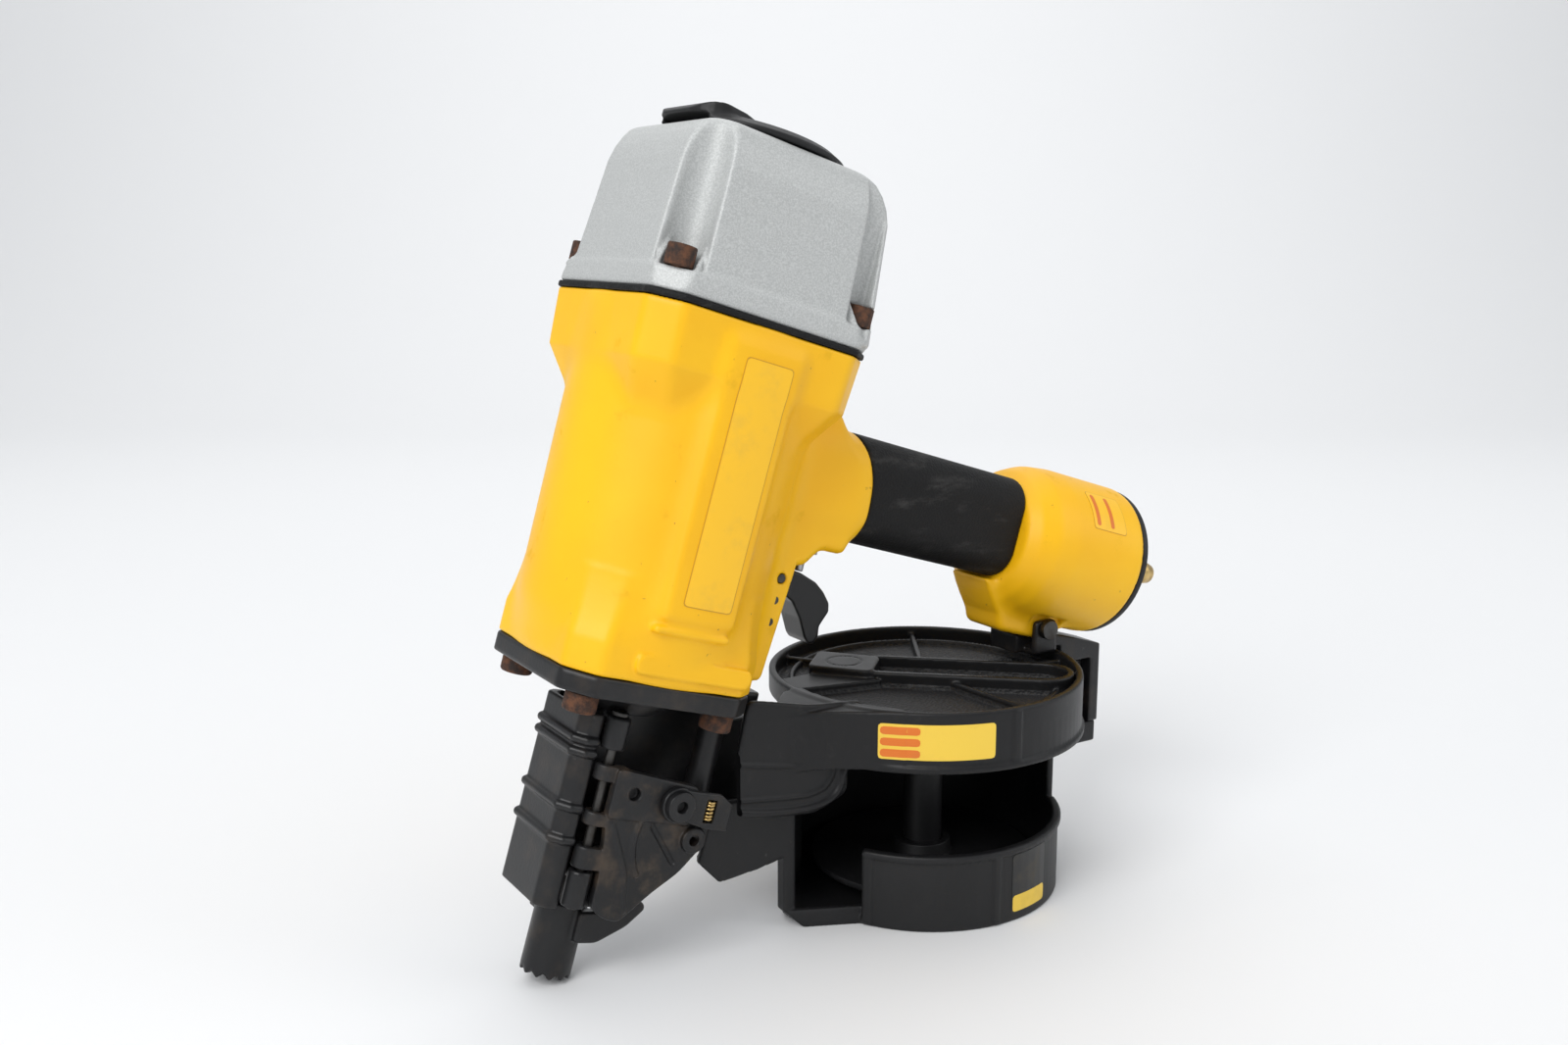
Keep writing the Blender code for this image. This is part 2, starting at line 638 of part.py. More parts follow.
def build_housing(tool):
    """Barrel, bolted head and foot, trigger cheeks, handle, bell and magazine lug in one casting."""
    barrel = [
        (0.0, BODY_LOW), (BARREL_FOOT_RADIUS, BODY_LOW), (BARREL_LOW_RADIUS, BODY_LOW + BARREL_SHOULDER),
        (BARREL_HIGH_RADIUS, BODY_TOP - HEAD_HEIGHT - HEAD_SLOPE), (BARREL_HIGH_RADIUS, BODY_TOP),
        (0.0, BODY_TOP),
    ]
    body = piece("body_housing", turned(barrel), "yellow_enamel", tool)
    inside_half = BARREL_HIGH_RADIUS * math.sqrt(0.5) + HEAD_CHAMFER / 2 - 1.0 * MM
    head = square_loft([
        (BODY_TOP - HEAD_HEIGHT - HEAD_SLOPE, inside_half, HEAD_CHAMFER),
        (BODY_TOP - HEAD_HEIGHT, HEAD_LOW_HALF, HEAD_CHAMFER),
        (BODY_TOP, HEAD_HALF, HEAD_CHAMFER),
    ])
    foot_inside = BARREL_LOW_RADIUS * math.sqrt(0.5) + FLANGE_CHAMFER / 2 - 1.0 * MM
    foot = square_loft([
        (BODY_LOW, FLANGE_HALF, FLANGE_CHAMFER),
        (BODY_LOW + FOOT_HEIGHT, FLANGE_HALF, FLANGE_CHAMFER),
        (BODY_LOW + FOOT_HEIGHT + FOOT_SLOPE, foot_inside, FLANGE_CHAMFER),
    ])
    panel = box((-PANEL_HALF, PANEL_HALF), (-PANEL_FACE, PANEL_FACE), (PANEL_LOW, PANEL_HIGH))
    cheek = rounded([
        (CHEEK_START, CHEEK_LOW), (CHEEK_END - 4.0 * MM, CHEEK_LOW), (CHEEK_END, CHEEK_HIGH),
        (CHEEK_START, CHEEK_HIGH),
    ], 3.0 * MM, 2)
    cheek_end = CHEEK_V + CHEEK_WALL
    cheeks = [prism(cheek, -cheek_end, -CHEEK_V, "v"), prism(cheek, CHEEK_V, cheek_end, "v")]
    root_side = rounded([
        (ROOT_START, CHEEK_HIGH - 2.0 * MM), (STEM_U - 9.9 * MM, CHEEK_HIGH - 2.0 * MM),
        (STEM_U - 3.5 * MM, UNDERSIDE), (COLLAR_NOSE - 5.5 * MM, UNDERSIDE),
        (COLLAR_NOSE - 3.0 * MM, UNDERSIDE + 10.5 * MM), (COLLAR_NOSE - 3.5 * MM, HANDLE_W + 4.0 * MM),
        (ROOT_START + 31.0 * MM, PANEL_HIGH - ROOT_SHOULDER + 8.5 * MM), (ROOT_START, PANEL_HIGH),
    ], 3.0 * MM, 2)
    root_half = cheek_end - 0.4 * MM
    bell_face = GRIP_END + GAP
    core = oblong(HANDLE_HALF_WIDTH, HANDLE_HALF_HEIGHT, HANDLE_W, 12.0 * MM)
    handle = loft([oriented(core, 40.0 * MM, "u"), oriented(core, bell_face + 6.0 * MM, "u")])
    bell = turned([
        (0.0, bell_face), (BELL_RADIUS - 10.0 * MM, bell_face),
        (BELL_RADIUS - 4.5 * MM, bell_face + 5.0 * MM),
        (BELL_RADIUS - 1.2 * MM, bell_face + 13.0 * MM), (BELL_RADIUS, bell_face + 24.0 * MM),
        (BELL_RADIUS, BELL_END), (0.0, BELL_END),
    ], (0.0, 0.0, BELL_W), "u")
    lug = rounded([
        (bell_face, BELL_W - 20.5 * MM), (LUG_START - 3.0 * MM, LUG_LEVEL + 6.0 * MM),
        (LUG_START, LUG_LEVEL), (LUG_BACK, LUG_LEVEL), (LUG_BACK + 6.0 * MM, LUG_LEVEL + 8.0 * MM),
        (LUG_END, LUG_LEVEL + 14.0 * MM), (LUG_END, BELL_W - 10.0 * MM),
        (bell_face + 6.0 * MM, BELL_W - 10.0 * MM),
    ], 4.0 * MM, 2)
    toe_high = HANDLE_W - GRIP_HALF_HEIGHT - 1.2 * MM
    toe = [
        (bell_face - LUG_TOE, toe_high), (LUG_START - 2.0 * MM, LUG_LEVEL + 5.5 * MM),
        (LUG_START + 4.0 * MM, LUG_LEVEL + 5.0 * MM), (bell_face + 8.0 * MM, toe_high),
    ]
    add(body, [head, foot, panel, prism(root_side, -root_half, root_half, "v"), *cheeks])
    sleeve_section = oblong(GRIP_HALF_WIDTH, GRIP_HALF_HEIGHT, HANDLE_W, 14.0 * MM)
    collar = guide("collar_guide", loft([
        oriented(sleeve_section, 32.0 * MM, "u"), oriented(sleeve_section, COLLAR_NOSE + 10.0 * MM, "u"),
    ]), body)
    combine(
        collar, helpers_of(collar, [prism(collar_outline(0.0), -40.0 * MM, 40.0 * MM, "v")], "keep"),
        "INTERSECT",
    )
    combine(body, [collar], "UNION")
    lug_half = LUG_HALF - 0.2 * MM
    add(body, [
        handle, bell, prism(lug, -LUG_HALF, LUG_HALF, "v"), prism(toe, -lug_half, lug_half, "v"),
    ])
    across = 60.0 * MM
    bores = [
        rod(CHAMBER_RADIUS, BODY_LOW + CHAMBER_FLOOR, BODY_TOP + 5.0 * MM, segments=FINE),
        rod(LOWER_BORE, BODY_LOW - 5.0 * MM, BODY_LOW + CHAMBER_FLOOR + 1.0 * MM, segments=FINE),
        rod(HANDLE_BORE, 33.0 * MM, BELL_END - 10.0 * MM, (0.0, HANDLE_W), "u"),
        rod(BELL_BORE, bell_face + 24.0 * MM, BELL_END + 5.0 * MM, (0.0, BELL_W), "u"),
        rod(BUSH_RADIUS + GAP, TRIGGER_W, HANDLE_W, (STEM_U, 0.0)),
        box(
            (TRIGGER_U - 4.5 * MM, STEM_U - 2.9 * MM), (-CHEEK_V + 2.0 * MM, CHEEK_V - 2.0 * MM),
            (CHEEK_LOW, UNDERSIDE + 1.0 * MM),
        ),
        rod(TRIGGER_PIN_RADIUS + GAP, -across, across, (TRIGGER_U, TRIGGER_W), "v", SMALL),
        rod(BRACKET_BOLT_RADIUS + GAP, -across, across, (BRACKET_BOLT_U, BRACKET_BOLT_W), "v", SMALL),
    ]
    notch = (BRACKET_BOLT_U - 9.0 * MM, BRACKET_BOLT_U + 9.0 * MM)
    for near, far in ((-across, -LUG_HALF), (LUG_HALF, across)):
        bores.append(box(notch, (near, far), (LUG_LEVEL - 5.0 * MM, BRACKET_BOLT_W + 6.2 * MM)))
    bores += [
        rod(CHEEK_HOLE, -across, across, (TRIGGER_U, level), "v", SMALL)
        for level in (TRIGGER_W - drop for drop in CHEEK_HOLE_DROPS)
    ]
    hole = CAP_BOLT_SHANK + GAP
    for place in corner_places(CAP_BOLT_OFFSET):
        bores.append(rod(hole, BODY_TOP - CAP_BOLT_REACH, BODY_TOP + 5.0 * MM, place, "w", SMALL))
    hole = NOSE_BOLT_SHANK + GAP
    for place in corner_places(NOSE_BOLT_OFFSET):
        bores.append(rod(hole, BODY_LOW - 5.0 * MM, BODY_LOW + NOSE_BOLT_REACH, place, "w", SMALL))
    cut(body, bores)
    return body


def build_handle_fittings(tool):
    """Rubber grip, end cap with its screws, and the brass air plug."""
    outer = oblong(GRIP_HALF_WIDTH, GRIP_HALF_HEIGHT, HANDLE_W, 14.0 * MM)
    start = COLLAR_NOSE - 25.0 * MM
    grip = piece("handle_grip", loft([
        oriented(outer, start, "u"), oriented(outer, GRIP_END, "u"),
    ]), "black_rubber", tool)
    inner = oblong(HANDLE_HALF_WIDTH + GAP, HANDLE_HALF_HEIGHT + GAP, HANDLE_W, 12.0 * MM)
    cut(grip, [
        loft([oriented(inner, start - 5.0 * MM, "u"), oriented(inner, GRIP_END + 5.0 * MM, "u")]),
        prism(collar_outline(GAP), -60.0 * MM, 60.0 * MM, "v"),
    ])
    face = BELL_END + GAP
    top = face + END_CAP_THICKNESS
    boss = top + END_CAP_BOSS
    cap = piece("handle_end_cap", turned([
        (PLUG_SHANK + GAP, face), (BELL_RADIUS - 0.5 * MM, face), (BELL_RADIUS - 0.5 * MM, top),
        (14.0 * MM, top), (12.0 * MM, boss), (PLUG_SHANK + GAP, boss),
    ], (0.0, 0.0, BELL_W), "u", ring=True), "black_plastic", tool)
    holes = []
    for index in range(END_SCREWS):
        angle = math.tau * index / END_SCREWS + math.pi / 2
        place = (END_SCREW_CIRCLE * math.cos(angle), BELL_W + END_SCREW_CIRCLE * math.sin(angle))
        head = top + GAP
        screw = [
            (0.0, face), (END_SCREW_SHANK, face), (END_SCREW_SHANK, head), (END_SCREW_HEAD, head),
            (END_SCREW_HEAD - 0.4 * MM, head + 2.0 * MM), (0.0, head + 2.0 * MM),
        ]
        holes.append(rod(END_SCREW_SHANK + GAP, face - 5.0 * MM, top + 5.0 * MM, place, "u", 8))
        piece(f"end_cap_screw_{index + 1}", turned(screw, (0.0, *place), "u", 8), "steel", tool)
    cut(cap, holes)
    seat = boss + GAP
    piece("air_plug", turned([
        (PLUG_BORE, face), (PLUG_SHANK, face), (PLUG_SHANK, seat), (PLUG_HEX, seat),
        (PLUG_HEX, seat + 7.0 * MM), (PLUG_SHANK, seat + 8.0 * MM), (PLUG_SHANK, seat + 14.0 * MM),
        (PLUG_SHANK + 1.4 * MM, seat + 15.0 * MM), (PLUG_SHANK + 1.4 * MM, seat + 17.5 * MM),
        (PLUG_SHANK - 0.8 * MM, seat + 18.5 * MM), (PLUG_SHANK - 0.8 * MM, seat + 23.0 * MM),
        (PLUG_SHANK + 0.7 * MM, seat + 24.0 * MM), (PLUG_SHANK + 0.7 * MM, seat + PLUG_LENGTH - 5.0 * MM),
        (PLUG_SHANK - 0.4 * MM, seat + PLUG_LENGTH), (PLUG_BORE, seat + PLUG_LENGTH),
    ], (0.0, 0.0, BELL_W), "u", SMALL, ring=True), "brass", tool)


def build_cap(tool):
    """Cast cap with fluted corners, its gasket and bolts, and the turning exhaust deflector."""
    gasket_half = HEAD_HALF + 0.4 * MM
    gasket_high = GASKET_LOW + GASKET_THICKNESS
    gasket = piece("cap_gasket", square_loft([
        (GASKET_LOW, gasket_half, HEAD_CHAMFER), (gasket_high, gasket_half, HEAD_CHAMFER),
    ]), "black_rubber", tool)
    gasket_cuts = [rod(CHAMBER_RADIUS, GASKET_LOW - 5.0 * MM, gasket_high + 5.0 * MM, segments=FINE)]
    cap = piece("cylinder_cap", square_loft([
        (CAP_LOW, HEAD_HALF, HEAD_CHAMFER), (CAP_SEAT, HEAD_HALF - 0.8 * MM, HEAD_CHAMFER),
    ]), "cast_grey", tool)
    shoulder_corner = (CAP_CORNER + CAP_TOP_CORNER) / 2
    add(cap, [square_loft([
        (CAP_LOW + 1.0 * MM, CAP_HALF_LOW, CAP_CORNER), (CAP_EDGE, CAP_HALF_HIGH, CAP_CORNER),
        (CAP_EDGE + CAP_SHOULDER * 0.55, (CAP_HALF_HIGH + CAP_TOP_HALF) / 2 + 1.5 * MM, shoulder_corner),
        (CAP_TOP, CAP_TOP_HALF, CAP_TOP_CORNER),
    ])])
    cavity_top = CAP_LOW + CAP_CAVITY_HEIGHT
    cuts = [
        rod(CAP_CAVITY, CAP_LOW - 5.0 * MM, cavity_top, segments=FINE),
        rod(SCREW_RADIUS + GAP, CAP_TOP - 8.0 * MM, CAP_TOP + 5.0 * MM, segments=SMALL),
    ]
    for index in range(4):
        angle = math.tau * index / 4
        place = (EXHAUST_HOLE_CIRCLE * math.cos(angle), EXHAUST_HOLE_CIRCLE * math.sin(angle))
        cuts.append(rod(EXHAUST_HOLE, cavity_top - 5.0 * MM, CAP_TOP + 5.0 * MM, place, "w", SMALL))
    hole = CAP_BOLT_SHANK + GAP
    head = CAP_SEAT + GAP
    end = BODY_TOP - CAP_BOLT_REACH + 1.0 * MM
    socket = head + CAP_BOLT_HEAD_HEIGHT / 2
    for index, place in enumerate(corner_places(CAP_BOLT_OFFSET)):
        cuts.append(rod(FLUTE, CAP_SEAT, CAP_TOP + 10.0 * MM, place, "w", ROUND))
        cuts.append(rod(hole, CAP_LOW - 5.0 * MM, CAP_SEAT + 5.0 * MM, place, "w", SMALL))
        gasket_cuts.append(rod(hole, GASKET_LOW - 5.0 * MM, gasket_high + 5.0 * MM, place, "w", SMALL))
        bolt = [
            (0.0, end), (CAP_BOLT_SHANK, end), (CAP_BOLT_SHANK, head), (CAP_BOLT_HEAD, head),
            (CAP_BOLT_HEAD, head + CAP_BOLT_HEAD_HEIGHT), (CAP_BOLT_SOCKET, head + CAP_BOLT_HEAD_HEIGHT),
            (CAP_BOLT_SOCKET, socket), (0.0, socket),
        ]
        piece(f"cap_bolt_{index + 1}", turned(bolt, (*place, 0.0), "w", SMALL), "rusty_steel", tool)
    cut(gasket, gasket_cuts)
    cut(cap, cuts)
    under = DEFLECTOR_LOW + 2.5 * MM
    deflector = piece("exhaust_deflector", turned([
        (SCREW_RADIUS + GAP, DEFLECTOR_LOW), (12.0 * MM, DEFLECTOR_LOW), (12.0 * MM, under),
        (DEFLECTOR_RADIUS - 4.0 * MM, under), (DEFLECTOR_RADIUS - 4.0 * MM, DEFLECTOR_LOW),
        (DEFLECTOR_RADIUS - 0.6 * MM, DEFLECTOR_LOW), (DEFLECTOR_RADIUS, DEFLECTOR_LOW + 2.0 * MM),
        (DEFLECTOR_RADIUS - 5.0 * MM, DEFLECTOR_HIGH - 0.6 * MM), (SCREW_RADIUS + GAP, DEFLECTOR_HIGH),
    ], ring=True), "black_plastic", tool)
    crest = DEFLECTOR_HIGH + SPOUT_RISE
    spout_side = [
        (-SPOUT_REACH, DEFLECTOR_LOW + 1.5 * MM), (-SPOUT_ROOT, DEFLECTOR_LOW + 3.5 * MM),
        (-SPOUT_ROOT - 2.0 * MM, DEFLECTOR_HIGH - 0.7 * MM), (-SPOUT_ROOT - 10.0 * MM, crest - 1.0 * MM),
        (-SPOUT_REACH + 5.0 * MM, crest), (-SPOUT_REACH, crest - 2.0 * MM),
    ]
    add(deflector, [prism(spout_side, -SPOUT_HALF, SPOUT_HALF, "v")])
    inside = SPOUT_HALF - 3.0 * MM
    cut(deflector, [box(
        (-SPOUT_REACH - 5.0 * MM, -SPOUT_ROOT - 9.0 * MM), (-inside, inside),
        (DEFLECTOR_LOW - 5.0 * MM, crest - 4.0 * MM),
    )])
    seat = DEFLECTOR_HIGH + GAP
    piece("deflector_screw", turned([
        (0.0, CAP_TOP - 7.0 * MM), (SCREW_RADIUS, CAP_TOP - 7.0 * MM), (SCREW_RADIUS, seat),
        (SCREW_HEAD, seat),
        (SCREW_HEAD - 1.0 * MM, seat + 3.0 * MM), (0.0, seat + 3.0 * MM),
    ], segments=SMALL), "steel", tool)


def build_drive(tool):
    """Cylinder sleeve, piston, driver, bumper and head valve inside the housing."""
    outer = SLEEVE_BORE + SLEEVE_WALL
    collar_high = SLEEVE_COLLAR_W + SLEEVE_COLLAR_HEIGHT
    piece("cylinder_sleeve", turned([
        (SLEEVE_BORE, SLEEVE_LOW), (LOWER_BORE - GAP, SLEEVE_LOW),
        (LOWER_BORE - GAP, SLEEVE_LOW + 7.0 * MM),
        (outer, SLEEVE_LOW + 9.0 * MM), (outer, SLEEVE_COLLAR_W), (CHAMBER_RADIUS - GAP, SLEEVE_COLLAR_W),
        (CHAMBER_RADIUS - GAP, collar_high), (outer, collar_high), (outer, SLEEVE_TOP),
        (SLEEVE_BORE, SLEEVE_TOP),
    ], ring=True), "steel", tool)
    bumper_low = SPIGOT_TOP + GAP
    bumper_top = bumper_low + BUMPER_HEIGHT
    piece("bumper", turned([
        (BUMPER_BORE, bumper_low), (SLEEVE_BORE - GAP, bumper_low),
        (SLEEVE_BORE - GAP, bumper_top - 8.0 * MM),
        (SLEEVE_BORE - 9.0 * MM, bumper_top), (BUMPER_BORE, bumper_top),
    ], ring=True), "bumper_rubber", tool)
    groove = (PISTON_LOW + PISTON_TOP) / 2 + 1.0 * MM
    rim = SLEEVE_BORE - RUNNING
    half = RING_GROOVE / 2
    skirt = PISTON_LOW + 4.0 * MM
    shank_top = PISTON_TOP - 3.0 * MM
    top = (0.0, 0.0, PISTON_TOP)
    bore = DRIVER_RADIUS + GAP
    piece("piston", turned([
        (0.0, shank_top), (bore, shank_top), (bore, PISTON_LOW), (12.0 * MM, PISTON_LOW),
        (18.0 * MM, skirt), (rim, skirt),
        (rim, groove - half), (rim - RING_GROOVE, groove - half), (rim - RING_GROOVE, groove + half),
        (rim, groove + half), (rim, PISTON_TOP), (0.0, PISTON_TOP),
    ]), "steel", tool, top)
    ring_inner = rim - RING_GROOVE + GAP
    piece("piston_ring", turned([
        (ring_inner, groove - half + GAP), (rim, groove - half + GAP), (rim, groove + half - GAP),
        (ring_inner, groove + half - GAP),
    ], ring=True), "black_rubber", tool, top)
    piece(
        "driver_blade", rod(DRIVER_RADIUS, DRIVER_TIP, shank_top - GAP, segments=SMALL), "steel", tool,
        top,
    )
    low = SLEEVE_TOP + GAP
    high = low + HEAD_VALVE_HEIGHT
    skirt_outer = CAP_CAVITY - RUNNING
    piece("head_valve", turned([
        (HEAD_VALVE_BORE, low), (outer, low), (skirt_outer, low + 6.0 * MM), (skirt_outer, high),
        (VALVE_SPRING_RADIUS - 4.0 * MM, high), (HEAD_VALVE_BORE, high - 6.0 * MM),
    ], ring=True), "black_plastic", tool, (0.0, 0.0, low))
    wire_gap = VALVE_SPRING_WIRE + GAP
    spring_top = CAP_LOW + CAP_CAVITY_HEIGHT - wire_gap
    coil = helix((0.0, 0.0), VALVE_SPRING_RADIUS, high + wire_gap, spring_top, 2, per_turn=16)
    piece("head_valve_spring", sweep(coil, VALVE_SPRING_WIRE), "steel", tool)


def build_nose(tool):
    """Bolted nose casting with its nozzle, guide block, hinge knuckles and feed cylinder."""
    flange_high = FLANGE_UNDER + FLANGE_THICKNESS
    nose = piece("nosepiece", square_loft([
        (FLANGE_UNDER, FLANGE_HALF, FLANGE_CHAMFER), (flange_high, FLANGE_HALF, FLANGE_CHAMFER),
    ]), "black_casting", tool)
    hub_low = GUIDE_TOP - 2.0 * MM
    far = CHUTE_WALL_V + CHUTE_WALL
    wall = rounded([
        (-1.0 * MM, GUIDE_LOW + 1.0 * MM), (24.0 * MM, GUIDE_LOW + 1.0 * MM),
        (CHUTE_END_U, FEED_W - 10.0 * MM),
        (CHUTE_END_U, GUIDE_TOP - 1.0 * MM), (-1.0 * MM, GUIDE_TOP - 1.0 * MM),
    ], 3.0 * MM, 2)
    ear = rounded([
        (FLANGE_HALF - 8.0 * MM, TRIP_ROD_V - 6.0 * MM), (TRIP_ROD_U + 5.0 * MM, TRIP_ROD_V - 6.0 * MM),
        (TRIP_ROD_U + 5.0 * MM, TRIP_ROD_V + 6.0 * MM), (FLANGE_HALF - 8.0 * MM, TRIP_ROD_V + 6.0 * MM),
    ], 3.0 * MM, 2)
    hinge = (HINGE_U, HINGE_V)
    arm = (HINGE_U - 3.5 * MM, HINGE_U + 3.5 * MM)
    arm_reach = (HINGE_V, -GUIDE_NEAR + 1.0 * MM)
    add(nose, [
        rod(LOWER_BORE - GAP, flange_high - 1.0 * MM, SPIGOT_TOP, segments=FINE),
        turned([
            (0.0, hub_low), (17.0 * MM, hub_low), (30.0 * MM, FLANGE_UNDER + 1.0 * MM),
            (0.0, FLANGE_UNDER + 1.0 * MM),
        ], segments=ROUND),
        box((-GUIDE_FRONT, GUIDE_BACK), (-GUIDE_NEAR, far + 0.5 * MM), (GUIDE_LOW, GUIDE_TOP)),
        rod(TIP_BORE - GAP, NOZZLE_END, GUIDE_LOW + 3.0 * MM),
        prism(wall, CHUTE_WALL_V, far, "v"),
        rod(KNUCKLE_RADIUS, *LOWER_KNUCKLE, hinge, "w", SMALL),
        rod(KNUCKLE_RADIUS, *UPPER_KNUCKLE, hinge, "w", SMALL),
        box(arm, arm_reach, (GUIDE_LOW + 0.5 * MM, LOWER_KNUCKLE[1] - 0.2 * MM)),
        box(arm, arm_reach, (UPPER_KNUCKLE[0] + 0.2 * MM, UPPER_KNUCKLE[1] - 0.2 * MM)),
        rod(KEEPER_RADIUS, KEEPER_LOW, FLANGE_UNDER + 1.5 * MM, (KEEPER_U, KEEPER_V), "w", SMALL),
        prism(ear, SPRING_EAR_LOW, SPRING_EAR_LOW + SPRING_EAR),
        rod(FEED_RADIUS, FEED_START, FEED_END, (FEED_V, FEED_W), "u"),
        box(
            (FEED_START + 1.0 * MM, FEED_END - 1.0 * MM), (far - 1.0 * MM, FEED_V),
            (FEED_W - 7.0 * MM, FEED_W + 7.0 * MM),
        ),
    ])
    slot = FEED_SLOT_HALF + GAP
    cuts = [
        rod(DRIVE_BORE, NOZZLE_END - 5.0 * MM, SPIGOT_TOP + 5.0 * MM, segments=SMALL),
        box(
            (0.0, GUIDE_BACK + 5.0 * MM), (-GUIDE_NEAR - 5.0 * MM, FEED_SLOT_V),
            (GUIDE_LOW + 1.0 * MM, hub_low - 1.0 * MM),
        ),
        rod(
            HINGE_PIN_RADIUS + GAP, LOWER_KNUCKLE[0] - 5.0 * MM, UPPER_KNUCKLE[1] + 1.0 * MM, hinge,
            "w", SMALL,
        ),
        rod(HINGE_PIN_HEAD + GAP, UPPER_KNUCKLE[1], UPPER_KNUCKLE[1] + 2.5 * MM, hinge, "w", SMALL),
        rod(
            TRIP_ROD_RADIUS + GAP, SPRING_EAR_LOW - 5.0 * MM, SPRING_EAR_LOW + SPRING_EAR + 5.0 * MM,
            (TRIP_ROD_U, TRIP_ROD_V), "w", SMALL,
        ),
        rod(FEED_BORE, FEED_START + FEED_HEAD, FEED_END + 5.0 * MM, (FEED_V, FEED_W), "u"),
        box(
            (FEED_START + FEED_HEAD + 1.0 * MM, FEED_END - 5.0 * MM), (CHUTE_WALL_V - 5.0 * MM, FEED_V),
            (FEED_W - slot, FEED_W + slot),
        ),
    ]
    hole = NOSE_BOLT_SHANK + GAP
    top = FLANGE_UNDER - GAP
    low = top - NOSE_BOLT_HEAD_HEIGHT
    end = BODY_LOW + NOSE_BOLT_REACH - 1.0 * MM
    bolt = [
        (0.0, low), (NOSE_BOLT_HEAD - 0.8 * MM, low), (NOSE_BOLT_HEAD, low + 0.8 * MM),
        (NOSE_BOLT_HEAD, top),
        (NOSE_BOLT_SHANK, top), (NOSE_BOLT_SHANK, end), (0.0, end),
    ]
    for index, place in enumerate(corner_places(NOSE_BOLT_OFFSET)):
        cuts.append(rod(hole, FLANGE_UNDER - 5.0 * MM, BODY_LOW + 5.0 * MM, place, "w", SMALL))
        piece(f"nose_bolt_{index + 1}", turned(bolt, (*place, 0.0), "w", SMALL), "rusty_steel", tool)
    cut(nose, cuts)


def guard_outline(grow, back):
    """Return the outer U of the nose guard in (u, v), widened by a bead or narrowed by the wall."""
    front = -GUARD_FRONT - grow
    side = GUARD_HALF + grow
    corner = 4.0 * MM
    return [
        (back, -side), (front + corner, -side), (front, -side + corner), (front, side - corner),
        (front + corner, side), (back, side),
    ]


def build_guard(tool):
    """U-shaped cover in front of the drive guide, with raised beads and two seating ribs."""
    back = HINGE_U - KNUCKLE_RADIUS - 0.5 * MM
    guard = piece(
        "nose_guard", prism(guard_outline(0.0, back), GUARD_LOW, GUARD_HIGH), "black_casting", tool,
    )
    add(
        guard,
        [prism(guard_outline(BEAD, back - BEAD), level - BEAD, level + BEAD) for level in GUARD_BEADS],
    )
    cut(
        guard,
        [prism(guard_outline(-GUARD_WALL, back + 5.0 * MM), GUARD_LOW - 5.0 * MM, GUARD_HIGH + 5.0 * MM)],
    )
    ribs = []
    for inner, outer in (
        (-GUARD_RIB_V - GUARD_WALL, -GUARD_RIB_V), (GUARD_RIB_V, GUARD_RIB_V + GUARD_WALL),
    ):
        ribs.append(
            box(
                (-GUARD_FRONT + 1.0 * MM, -GUIDE_FRONT - GAP), (inner, outer),
                (GUIDE_LOW + 2.0 * MM, GUARD_HIGH - 4.0 * MM),
            ),
        )
    add(guard, ribs)


